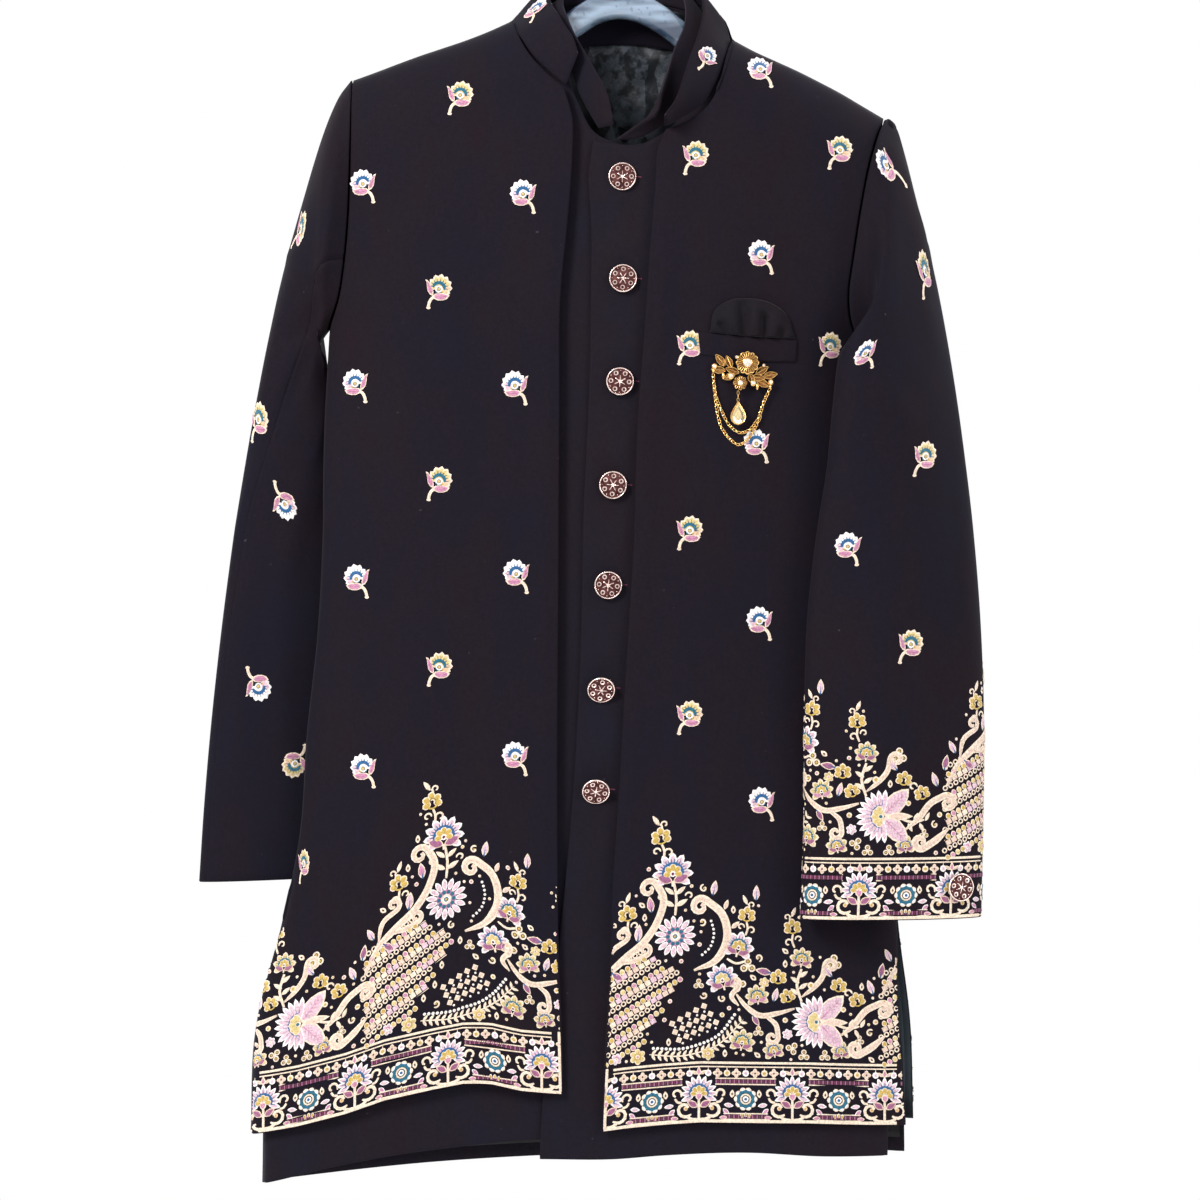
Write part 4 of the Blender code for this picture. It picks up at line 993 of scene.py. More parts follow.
def folded(x, z, rows):
    """Soft ridges and troughs. Rows are from x, from z, to x, to z, width, height, bend and lean, in mm."""
    total = np.zeros(np.broadcast(x, z).shape)
    for x0, z0, x1, z1, width, height, bend, lean in rows:
        run_x, run_z = (x1 - x0) * MM, (z1 - z0) * MM
        length = math.hypot(run_x, run_z)
        share = ((x - x0 * MM) * run_x + (z - z0 * MM) * run_z) / length**2
        across = ((x - x0 * MM) * run_z - (z - z0 * MM) * run_x) / length
        across = across + bend * MM * 4 * share * (1 - share)
        across = across + width * MM * 0.15 * np.sin(share * 9 + x0)
        broad = width * MM * (1 + lean * np.sign(across))
        ends = step_up(share / 0.3) * step_up((1 - share) / 0.3)
        total = total + height * MM * np.exp(-((across / broad) ** 2)) * ends
    return total


FOLDS_FRONT_RIGHT = (
    (-228, -190, -236, -420, 16, 1.3, 4, 0.3),
    (-212, -300, -150, -420, 20, -0.9, 6, 0),
    (-190, -200, -150, -700, 34, 1.2, 8, 0),
    (-120, -180, -118, -560, 30, -0.9, 6, 0),
    (-100, -520, -90, -1020, 24, 1.0, -5, 0),
    (-170, -560, -205, -1030, 26, 1.2, 6, 0),
    (-230, -600, -262, -1050, 22, -1.3, -4, 0),
    (-140, -620, -150, -1015, 20, -0.8, 4, 0),
    (-63, -240, -66, -1020, 9, 0.7, 2, 0.2),
    (-252, -420, -272, -760, 13, 1.0, 3, 0),
)
FOLDS_FRONT_LEFT = (
    (44, -230, 12, -700, 9, 0.8, -2, 0.2),
    (14, -640, 0, -1040, 9, 0.7, 2, 0),
    (90, -200, 66, -640, 28, 1.0, 6, 0),
    (140, -200, 122, -380, 24, -1.0, 3, 0),
    (186, -240, 160, -420, 13, 1.2, 4, 0.2),
    (176, -420, 200, -800, 22, 1.2, -5, 0),
    (120, -460, 132, -1040, 30, -1.0, 6, 0),
    (76, -520, 70, -1040, 26, 1.0, -5, 0),
    (205, -560, 226, -1040, 16, 1.4, 4, 0),
    (160, -700, 172, -1045, 18, 0.9, -3, 0),
    (172, -412, 214, -470, 12, 1.1, -3, 0),
)
FOLDS_BACK = (
    (0, -120, 0, -1040, 12, -0.9, 1, 0),
    (-90, -150, -84, -520, 30, 1.4, 5, 0),
    (96, -160, 90, -520, 30, 1.4, -5, 0),
    (-180, -240, -120, -420, 18, 1.5, 6, 0.2),
    (182, -260, 120, -430, 18, 1.5, -6, 0.2),
    (-130, -430, -180, -1040, 26, 1.6, 6, 0),
    (130, -430, 170, -1040, 26, 1.6, -6, 0),
    (-60, -520, -90, -1045, 22, -1.2, 4, 0),
    (60, -520, 84, -1045, 22, -1.2, -4, 0),
    (-222, -500, -262, -1040, 16, 1.4, 4, 0),
    (205, -500, 226, -1040, 16, 1.4, -4, 0),
)
FOLDS_KURTA = (
    (-24, -262, 26, -256, 9, 0.9, 2, 0.2),
    (-30, -276, 30, -292, 10, -0.9, 2, 0),
    (-26, -318, 28, -306, 10, 0.9, 3, 0),
    (-32, -352, 24, -368, 9, -0.9, 2, 0.2),
    (-30, -404, 22, -392, 10, 0.9, -3, 0),
    (-34, -440, 18, -456, 10, -0.9, 2, 0),
    (-34, -492, 14, -480, 9, 0.8, 3, 0.2),
    (-38, -528, 10, -545, 10, -0.9, 2, 0),
    (-38, -580, 10, -566, 10, 0.8, 3, 0),
    (-42, -612, 6, -628, 10, -0.9, 2, 0),
    (-44, -664, 2, -652, 10, 0.8, 2, 0),
    (-46, -702, 0, -718, 10, -0.9, 2, 0),
    (-48, -750, -4, -740, 10, 0.8, 2, 0),
    (-50, -790, -6, -812, 11, -0.9, 2, 0),
    (-30, -790, -38, -1070, 9, 1.0, 2, 0),
    (-12, -820, -24, -1070, 8, -0.9, 2, 0),
    (-52, -900, -62, -1075, 6, -0.6, 1, 0),
    (-8, -230, 4, -300, 8, 0.8, 2, 0),
)
FOLDS_HIDDEN = (
    (-120, -300, -140, -1040, 26, 1.2, 6, 0),
    (120, -300, 140, -1040, 26, 1.2, -6, 0),
    (-210, -420, -240, -1060, 18, 1.2, 4, 0),
    (200, -420, 214, -1060, 18, 1.2, -4, 0),
    (-60, -300, -70, -1050, 20, -0.9, 5, 0),
    (60, -300, 74, -1050, 20, -0.9, -5, 0),
)
FOLDS_SLEEVE_RIGHT_FRONT = (
    (-246, -336, -292, -306, 10, 2.6, 2, 0.3),
    (-243, -346, -300, -396, 10, -2.6, 3, 0.2),
    (-246, -352, -336, -556, 13, -2.8, -6, 0.2),
    (-262, -356, -350, -610, 9, 2.2, -6, 0),
    (-250, -260, -262, -420, 9, 1.6, 3, 0),
    (-240, -400, -300, -640, 12, 1.8, -4, 0),
    (-222, -520, -262, -800, 14, -1.6, 4, 0),
    (-330, -560, -338, -820, 12, 1.7, 4, 0),
    (-300, -600, -290, -840, 10, 1.2, 4, 0),
)
FOLDS_SLEEVE_LEFT_FRONT = (
    (232, -214, 262, -330, 9, 2.2, 3, 0.2),
    (214, -240, 204, -400, 12, -1.8, 3, 0),
    (252, -250, 270, -420, 9, 1.6, -3, 0),
    (206, -300, 192, -470, 9, 1.8, 3, 0),
    (192, -420, 262, -470, 12, 1.8, 4, 0.2),
    (186, -470, 252, -540, 12, -1.8, 4, 0),
    (282, -380, 300, -700, 9, 1.6, 3, 0),
    (226, -500, 214, -820, 16, 1.6, 5, 0),
    (180, -560, 176, -840, 12, -1.5, -3, 0),
    (262, -560, 270, -860, 12, -1.5, 4, 0),
)
FOLDS_SLEEVE_RIGHT_BACK = (
    (-250, -330, -310, -300, 12, 2.2, 2, 0.2),
    (-240, -380, -310, -470, 12, -2.2, 4, 0),
    (-226, -440, -320, -560, 12, 1.8, 5, 0),
    (-250, -560, -262, -820, 14, 1.6, 4, 0),
    (-310, -560, -325, -830, 12, -1.5, 4, 0),
)
FOLDS_SLEEVE_LEFT_BACK = (
    (210, -330, 280, -300, 12, 2.2, 2, 0.2),
    (200, -400, 285, -450, 12, -2.2, 4, 0),
    (190, -450, 290, -560, 12, 1.8, 5, 0),
    (220, -560, 214, -840, 14, 1.6, 4, 0),
    (280, -560, 286, -850, 12, -1.5, 4, 0),
)


def front_fold(x, z, side):
    rows = FOLDS_FRONT_RIGHT if side == "right" else FOLDS_FRONT_LEFT
    opening, start = (COAT_OPENING_RIGHT, -1) if side == "right" else (COAT_OPENING_LEFT, 1)
    rim = start * (x - np.interp(z, opening["z"], opening["x"]))
    roll = -0.6 * MM * np.exp(-((rim / (7 * MM)) ** 2))
    return folded(x, z, rows) + 0.35 * MM * ripple(x, z, 38 * MM, 1.3) + roll


def back_fold(x, z):
    return folded(x, z, FOLDS_BACK) + 0.4 * MM * ripple(x, z, 40 * MM, 2.6)


def kurta_fold(x, z):
    return folded(x, z, FOLDS_KURTA) + 0.3 * MM * ripple(x, z, 30 * MM, 0.4)


def hidden_fold(x, z):
    return folded(x, z, FOLDS_HIDDEN) + 0.3 * MM * ripple(x, z, 30 * MM, 3.3)


def lift_grid(grid, face, fold):
    """A panel's grid with its folds, which fade out along the side seams and the shoulders."""
    stand = np.abs(grid[..., 1])
    hold = step_up((stand - 2 * MM) / (10 * MM))
    grid = grid.copy()
    grid[..., 1] += face * fold(grid[..., 0], grid[..., 2]) * hold
    return grid


def surface_points(x, z, face, inset, fold):
    """Points of a folded panel at these x and z."""
    return lift_grid(on_body(np.stack([x, z], axis=-1), face, inset), face, fold)


def even(*ends):
    """Evenly spread steps between these marks: (mark, steps up to it), from 0."""
    out = [np.array([0.0])]
    start = 0.0
    for mark, steps in ends:
        out.append(np.linspace(start, mark, steps + 1)[1:])
        start = mark
    return np.concatenate(out)


# ---------------------------------------------------------------- panels

ARMPIT = 0.75
SHOULDER_SHARE = 0.7
S_RIGHT = even((0.03, 4), (0.1, 6), (0.985, 84), (1, 3))
S_LEFT = 1 - S_RIGHT[::-1]
T_FRONT = even((0.006, 2), (0.74, 92), (0.94, 30), (1, 12))


def front_grid_right(s, t):
    bottom = along(edge(COAT_HEM_RIGHT), s)
    top = in_parts(s, (shoulder_edge(-1, *COAT_SHOULDERS[:2]), SHOULDER_SHARE), (edge(COAT_NECK_RIGHT), 1))
    side = side_edge("right", -1070 * MM, -380 * MM)
    first = in_parts(t, (side, ARMPIT), (edge(ARMHOLE_RIGHT_FRONT), 1))
    last = along(edge(COAT_OPENING_RIGHT), t)
    return on_body(patch(bottom, top, first, last, s, t), -1)


def front_grid_left(s, t):
    bottom = along(edge(COAT_HEM_LEFT), s)
    top = in_parts(s, (edge(COAT_NECK_LEFT), 1 - SHOULDER_SHARE), (shoulder_edge(-1, *COAT_SHOULDERS[2:]), 1))
    first = along(edge(COAT_OPENING_LEFT), t)
    slit_top = COAT_SLIT_LEFT["z"][-1]
    last = in_parts(
        t,
        (edge(COAT_SLIT_LEFT), 0.38),
        (side_edge("left", slit_top, -396 * MM), ARMPIT - 0.02),
        (edge(ARMHOLE_LEFT_FRONT), 1),
    )
    return on_body(patch(bottom, top, first, last, s, t), -1)


def back_patch(s, t, hem, neck, bottom_z, armholes, inset):
    """Grid of a back, from the wearer's left side to the right."""
    left_bottom, right_bottom = bottom_z
    left_armhole, right_armhole = armholes
    bottom = along(hem, s)
    top = in_parts(s, (left_armhole[1], 0.33), (neck, 0.67), (right_armhole[1], 1))
    left_side = side_edge("left", left_bottom, -396 * MM, inset)
    right_side = side_edge("right", right_bottom, -380 * MM, inset)
    first = in_parts(t, (left_side, ARMPIT), (left_armhole[0], 1))
    last = in_parts(t, (right_side, ARMPIT), (right_armhole[0], 1))
    return on_body(patch(bottom, top, first, last, s, t), 1, inset)


def coat_back_grid(s, t, inset, hem_rise):
    """Grid of the coat's back, or of its lining, which lies inset within it."""
    hem = edge(BACK_HEM) + (0, hem_rise)
    hem[0, 0] -= inset
    hem[-1, 0] += inset
    tip_right, neck_right, neck_left, tip_left = COAT_SHOULDERS
    left = (edge(ARMHOLE_LEFT_BACK) - (inset, 0), shoulder_edge(1, tip_left, neck_left, inset))
    right = (edge(ARMHOLE_RIGHT_BACK) + (inset, 0), shoulder_edge(1, neck_right, tip_right, inset))
    ends = (BACK_HEM["z"][0] + hem_rise, BACK_HEM["z"][-1] + hem_rise)
    return back_patch(s, t, hem, edge(BACK_NECK) - (0, inset), ends, (left, right), inset)


def kurta_back_grid(s, t, inset, hem_rise):
    """Grid of the kurta's back, or of its lining, which lies further inside."""
    extra = inset - KURTA_BACK_INSET
    hem = edge(KURTA_BACK_HEM) + (0, hem_rise)
    hem[0, 0] -= extra
    hem[-1, 0] += extra
    tip_right, neck_right, neck_left, tip_left = KURTA_SHOULDERS
    left = (edge(KURTA_ARMHOLE_LEFT) + (8 * MM - extra, 0), shoulder_edge(1, tip_left, neck_left, inset))
    right = (edge(KURTA_ARMHOLE_RIGHT) + (extra, 0), shoulder_edge(1, neck_right, tip_right, inset))
    ends = (KURTA_BACK_HEM["z"][0] + hem_rise, KURTA_BACK_HEM["z"][-1] + hem_rise)
    return back_patch(s, t, hem, edge(KURTA_BACK_NECK) - (0, extra), ends, (left, right), inset)


def kurta_grid_right(s, t):
    inset = KURTA_RIGHT_INSET
    bottom = along(edge(KURTA_HEM_RIGHT), s)
    top = in_parts(s, (shoulder_edge(-1, *KURTA_SHOULDERS[:2], inset), 0.55), (edge(KURTA_NECK_RIGHT), 1))
    side = side_edge("right", -1113 * MM, -388 * MM, inset)
    first = in_parts(t, (side, ARMPIT), (edge(KURTA_ARMHOLE_RIGHT), 1))
    last = along(edge(KURTA_UNDERLAP), t)
    return on_body(patch(bottom, top, first, last, s, t), -1, inset)


def kurta_grid_left(s, t):
    inset = KURTA_LEFT_INSET
    bottom = along(edge(KURTA_HEM_LEFT), s)
    top = in_parts(s, (edge(KURTA_NECK_LEFT), 0.55), (shoulder_edge(-1, *KURTA_SHOULDERS[2:], inset), 1))
    first = along(edge(KURTA_PLACKET), t)
    side = side_edge("left", -1087 * MM, -400 * MM, 2 * inset)
    last = in_parts(t, (side, ARMPIT), (edge(KURTA_ARMHOLE_LEFT), 1))
    return on_body(patch(bottom, top, first, last, s, t), -1, inset)


def lining_crumple(x, z):
    """Creased satin: flat facets that meet along sharp lines, deepest at the neck."""
    total = np.zeros(np.broadcast(x, z).shape)
    waves = ((0.35, 17, 1.0), (1.25, 23, 0.9), (2.2, 13, 0.6), (2.85, 29, 0.8))
    for k, (turn, size, high) in enumerate(waves):
        along_x = (x * math.cos(turn) + z * math.sin(turn)) / (size * MM) + 0.7 * k
        bend = 0.5 * np.sin((z * math.cos(turn) - x * math.sin(turn)) / (31 * MM) + k)
        total = total + high * (2 * np.abs((along_x + bend) % 2 - 1) - 1)
    near_neck = step_up((z + 420 * MM) / (160 * MM))
    return 1.9 * MM * total * (0.25 + 0.75 * near_neck)


def make_panels():
    right = lift_grid(front_grid_right(S_RIGHT, T_FRONT), -1, lambda x, z: front_fold(x, z, "right"))
    left = lift_grid(front_grid_left(S_LEFT, T_FRONT), -1, lambda x, z: front_fold(x, z, "left"))
    made = {
        "outer_front_right": cloth_shell("coat_front_right", right, COAT_WALL, CLOTH, -1),
        "outer_front_left": cloth_shell("coat_front_left", left, COAT_WALL, CLOTH, -1),
    }
    s_back = even((0.02, 3), (0.98, 80), (1, 3))
    t_back = even((0.006, 2), (0.74, 70), (0.95, 24), (1, 10))
    back = lift_grid(coat_back_grid(s_back, t_back, 0.0, 0.0), 1, back_fold)
    made["outer_back"] = cloth_shell("coat_back", back, COAT_WALL, CLOTH, 1, lined=LINING_PLAIN)
    s_inner = even((0.02, 2), (0.98, 50), (1, 2))
    t_inner = even((0.006, 1), (0.74, 46), (0.95, 18), (1, 8))
    lining = lift_grid(coat_back_grid(s_inner, t_inner, COAT_LINING_INSET, 1.5 * MM), 1, hidden_fold)
    made["outer_back_lining"] = cloth_shell("coat_back_lining", lining, LINING_WALL, LINING_PLAIN, 1)
    s_kurta = even((0.03, 2), (0.45, 16), (0.985, 60), (1, 3))
    t_kurta = even((0.006, 2), (0.72, 96), (0.95, 38), (1, 10))
    kurta_right = lift_grid(kurta_grid_right(s_kurta, t_kurta), -1, kurta_fold)
    kurta_left = lift_grid(kurta_grid_left(1 - s_kurta[::-1], t_kurta), -1, kurta_fold)
    made["inner_front_right"] = cloth_shell("kurta_front_right", kurta_right, KURTA_WALL, CLOTH_KURTA, -1)
    made["inner_front_left"] = cloth_shell("kurta_front_left", kurta_left, KURTA_WALL, CLOTH_KURTA, -1)
    kurta_back = lift_grid(kurta_back_grid(s_inner, t_inner, KURTA_BACK_INSET, 0.0), 1, hidden_fold)
    made["inner_back"] = cloth_shell("kurta_back", kurta_back, KURTA_WALL, CLOTH_KURTA, 1)
    s_satin = even((0.02, 2), (0.3, 12), (0.7, 66), (0.98, 12), (1, 2))
    t_satin = even((0.006, 1), (0.74, 40), (1, 90))
    grid = kurta_back_grid(s_satin, t_satin, KURTA_LINING_INSET, 12 * MM)
    satin_grid = lift_grid(grid, 1, lambda x, z: -0.4 * MM + lining_crumple(x, z))
    made["inner_back_lining"] = cloth_shell("kurta_back_lining", satin_grid, LINING_WALL, LINING, 1)
    for replaced, piece in made.items():
        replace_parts(piece, replaced)


# ---------------------------------------------------------------- sleeves

BODY_CLEARANCE = 5 * MM
SIDE_RAMP = 1.2
ARMHOLE_RAMP = 4.0
ARMHOLE_MARGIN = 8 * MM
UNBOUND = 0.2
RINGS = 14
SLEEVE_STEPS = even((1, 14), (4, 24), (13, 84))


def armhole_points(side, angles):
    """The armhole loop as it lies on the body: 0 is the shoulder, 180 the armpit, over the front."""
    front_rows, back_rows = {
        "right": (ARMHOLE_RIGHT_FRONT, ARMHOLE_RIGHT_BACK),
        "left": (ARMHOLE_LEFT_FRONT, ARMHOLE_LEFT_BACK),
    }[side]
    marks = np.linspace(0, 180, 37)
    share = 1 - (1 - np.cos(np.radians(marks))) / 2
    loops = []
    for rows, face in ((front_rows, -1), (back_rows, 1)):
        xz = along(edge(rows), share)
        run = np.gradient(xz, axis=0)
        run /= np.linalg.norm(run, axis=1, keepdims=True)
        towards_arm = np.stack([run[:, 1], -run[:, 0]], axis=1)
        if side == "left":
            towards_arm = -towards_arm
        loops.append(on_body(xz, face) + ARMHOLE_SEAM * np.insert(towards_arm, 1, 0.0, axis=1))
    angles = np.asarray(angles) % 360
    folded_angles = np.where(angles <= 180, angles, 360 - angles)
    front, back = (
        np.stack([np.interp(folded_angles, marks, loop[:, i]) for i in range(3)], axis=-1) for loop in loops
    )
    return np.where((angles <= 180)[:, None], front, back)


def clear_of_body(points, side):
    """A sleeve's points moved off the body: the right sleeve hangs behind it, the left one before it."""
    x, y, z = points[..., 0], points[..., 1], points[..., 2]
    if side == "right":
        armpit = ARMHOLE_RIGHT_FRONT["z"][0]
        inside = x - body_side(z, "right")
        limit = BODY_CLEARANCE + np.where(inside > 0, depth(x, z, 1), SIDE_RAMP * inside)
        y = np.maximum(y, limit - (1 - step_up((armpit - z) / (25 * MM))) * UNBOUND)
        return np.stack([x, y, z], axis=-1)
    armpit = ARMHOLE_LEFT_FRONT["z"][0]
    below = body_side(z, "left") - x
    above = np.interp(z, ARMHOLE_LEFT_FRONT["z"], ARMHOLE_LEFT_FRONT["x"]) - x + ARMHOLE_MARGIN
    inside = np.where(z < armpit, below, above)
    steepness = np.where(z < armpit, SIDE_RAMP, ARMHOLE_RAMP)
    limit = -BODY_CLEARANCE - depth(x, z, -1) - steepness * np.minimum(inside, 0)
    return np.stack([x, np.minimum(y, limit), z], axis=-1)


def sleeve_rings(side, angles):
    """Points of each ring at these angles, one row of angles for each ring; the first is the armhole."""
    rows = SLEEVE_RIGHT if side == "right" else SLEEVE_LEFT
    rings = [armhole_points(side, angles[0])]
    for i in range(RINGS - 1):
        outer = np.array([rows[f"outer_{c}"][i] for c in "xyz"])
        inner = np.array([rows[f"inner_{c}"][i] for c in "xyz"])
        a = np.radians(angles[i + 1])
        points = (outer + inner) / 2 + np.cos(a)[:, None] * (outer - inner) / 2
        bulge = rows["front_x"][i] * np.maximum(np.sin(a), 0) + rows["back_x"][i] * np.maximum(-np.sin(a), 0)
        points[:, 0] += bulge
        points[:, 1] -= rows["half_depth"][i] * np.sin(a)
        rings.append(clear_of_body(points, side))
    return np.stack(rings, axis=1)


def sleeve_surface(side, angles, steps):
    """Points over a sleeve: angles has a row for each ring, steps are counted in rings from the armhole."""
    rings = sleeve_rings(side, angles)
    numbers = np.arange(RINGS, dtype=float)
    weights = np.stack([smooth(steps, numbers, np.eye(RINGS)[i]) for i in range(RINGS)], axis=1)
    points = np.einsum("ri,tic->trc", weights, rings)
    ring_angles = np.einsum("ri,ti->tr", weights, angles.T)
    return points, np.radians(ring_angles)


def sleeve_folds(side, points, angles, steps):
    x, z = points[..., 0], points[..., 2]
    if side == "right":
        front, back = FOLDS_SLEEVE_RIGHT_FRONT, FOLDS_SLEEVE_RIGHT_BACK
    else:
        front, back = FOLDS_SLEEVE_LEFT_FRONT, FOLDS_SLEEVE_LEFT_BACK
    facing = np.sin(angles)
    high = folded(x, z, front) * step_up(facing / 0.4) + folded(x, z, back) * step_up(-facing / 0.4)
    high = high + 0.4 * MM * ripple(points[..., 0] + points[..., 1], z, 34 * MM, 1.0 + len(side))
    return high * step_up((steps - 0.35) / 1.6)[None, :]


def make_sleeves():
    made = {}
    for side, seams in (("right", SEAMS_RIGHT), ("left", SEAMS_LEFT)):
        seams = np.array(seams, float)
        gap = np.full(RINGS, 0.25)
        gap[0] = 0.4
        for piece, count in (("upper", 64), ("under", 52)):
            if piece == "upper":
                starts, ends = seams[:, 1] - 360 + gap, seams[:, 0] - gap
            else:
                starts, ends = seams[:, 0] + gap, seams[:, 1] - gap
            angles = np.linspace(starts, ends, count, axis=1)
            points, facing = sleeve_surface(side, angles, SLEEVE_STEPS)
            if side == "right":
                points, facing = points[::-1], facing[::-1]
            outward = normals(points)
            points = points + outward * sleeve_folds(side, points, facing, SLEEVE_STEPS)[..., None]
            made[f"sleeve_{side}_{piece}"] = cloth_shell(f"{side}_sleeve_{piece}", points, COAT_WALL, CLOTH)
    for replaced, piece in made.items():
        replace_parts(piece, replaced)


class SleeveMap:
    """A sleeve laid flat: across from the middle of its front, up from its cuff, both in millimetres."""

    def __init__(self, side):
        angles = np.tile(np.linspace(-90, 270, 361), (RINGS, 1))
        steps = np.linspace(0.4, RINGS - 1, 200)
        points, facing = sleeve_surface(side, angles, steps)
        sign = 1 if side == "left" else -1
        outward = unit(np.cross(tangents(points, 1), tangents(points, 0)) * -sign)
        points = points + outward * sleeve_folds(side, points, facing, steps)[..., None]
        self.up = np.zeros(len(steps))
        middle = points[180]
        run = np.linalg.norm(np.diff(middle, axis=0), axis=1)
        self.up[:-1] = run[::-1].cumsum()[::-1]
        self.across = np.linspace(-0.2, 0.2, 321)
        self.points = np.zeros((len(self.across), len(steps), 3))
        for j in range(len(steps)):
            ring = points[:, j]
            length = run_lengths(ring)
            length = sign * (length[180] - length) if side == "left" else length - length[180]
            order = np.argsort(length)
            for i in range(3):
                self.points[:, j, i] = np.interp(self.across, length[order], ring[order, i])
        self.points = self.points[:, ::-1]
        self.up = self.up[::-1]
        self.outward = normals(self.points)

    def find(self, x, z):
        """Across and up of the place on the front that is seen at x and z, all in millimetres."""
        middle = slice(len(self.across) // 2 - 150, len(self.across) // 2 + 151)
        away = np.hypot(self.points[middle, :, 0] - x * MM, self.points[middle, :, 2] - z * MM)
        away = away + 0.05 * (self.outward[middle, :, 1] > 0)
        i, j = np.unravel_index(np.argmin(away), away.shape)
        return self.across[middle][i] / MM, self.up[j] / MM

    def __call__(self, across, up):
        across, up = np.asarray(across) * MM, np.asarray(up) * MM
        return read_grid(self.points, self.outward, (self.across, across), (self.up, up))


def read_grid(points, outward, *axes):
    """Points and normals between the grid's own. Each axis is its marks and the places wanted along it."""
    spots = [np.interp(wanted, marks, np.arange(len(marks))) for marks, wanted in axes]
    i, j = (np.clip(spot.astype(int), 0, len(marks) - 2) for spot, (marks, _) in zip(spots, axes))
    u, v = (spots[0] - i)[..., None], (spots[1] - j)[..., None]
    read = []
    for grid in (points, outward):
        low = (1 - u) * grid[i, j] + u * grid[i + 1, j]
        high = (1 - u) * grid[i, j + 1] + u * grid[i + 1, j + 1]
        read.append((1 - v) * low + v * high)
    return read


class PanelMap:
    """A front or back panel: x and z in millimetres."""

    def __init__(self, face, inset, fold):
        self.face, self.inset, self.fold = face, inset, fold

    def __call__(self, x, z):
        x, z = np.asarray(x) * MM, np.asarray(z) * MM
        step = 1.0 * MM

        def at(dx, dz):
            return surface_points(x + dx, z + dz, self.face, self.inset, self.fold)

        n = np.cross(at(step, 0) - at(-step, 0), at(0, step) - at(0, -step)) * -self.face
        return at(0, 0), unit(n)


# ---------------------------------------------------------------- collars and facing


def collar_grid(rows, insets, count, rises, bow):
    """A stand collar from its foot on the neck seam to its top edge, bowed out between them."""
    foot = []
    top = []
    for foot_x, foot_z, face, top_x, top_z, top_y in rows:
        foot.append(on_body(np.array((foot_x, foot_z)) * MM, face, insets[(face + 1) // 2]))
        top.append(np.array((top_x, top_y, top_z)) * MM)
    share = np.linspace(0, 1, count)
    foot = along(foot, share)
    top = along(top, share)
    rises = np.asarray(rises)[None, :, None]
    grid = foot[:, None] + (top - foot)[:, None] * rises
    grid = grid[::-1]
    outward = normals(grid)
    belly = np.sin(np.pi * rises) * bow * np.sin(np.pi * share)[::-1, None, None] ** 0.4
    return grid + outward * belly


RISES = even((0.03, 1), (0.94, 12), (1, 2))[1:]


def make_collars():
    outer = collar_grid(COAT_COLLAR, (0.0, 0.0), 150, RISES, 0.9 * MM)
    inner = collar_grid(KURTA_COLLAR, KURTA_COLLAR_INSETS, 150, RISES, 0.7 * MM)
    made = {
        "outer_collar": cloth_shell("coat_collar", outer, COLLAR_WALL, CLOTH),
        "inner_collar": cloth_shell("kurta_collar", inner, COLLAR_WALL, CLOTH_KURTA),
    }
    s = np.linspace(0, 1, 40)
    lower = along(edge(FACING_LOWER), s)
    upper = along(edge(FACING_UPPER), s)
    t = np.linspace(0, 1, 9)[None, :, None]
    grid = on_body((1 - t) * lower[:, None] + t * upper[:, None], 1, FACING_INSET)
    made["back_neck_facing"] = cloth_shell("neck_facing", grid, KURTA_WALL, CLOTH)
    for replaced, piece in made.items():
        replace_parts(piece, replaced)
    collar_edge("coat_collar_edge", outer)
    collar_edge("kurta_collar_edge", inner)
    return outer


def collar_edge(name, grid):
    """The pressed fold along the top of a collar: a round rod that catches the light, in a cloth painted
    lighter than the coat's for a painted highlight.
    """
    path = grid[:, -1] + normals(grid)[:, -1] * -COLLAR_WALL / 2 + np.array((0, 0, 0.5 * MM))
    points, faces = rod(path, 0.55 * MM, 8)
    return add_mesh(name, points, faces, [CLOTH_EDGE_HIGHLIGHT])


# ---------------------------------------------------------------- pocket


def on_front(xz, lift, inset=0.0):
    """Points of the front surface, moved out by a lift."""
    points = on_body(xz, -1, inset)
    points[..., 1] -= lift
    return points


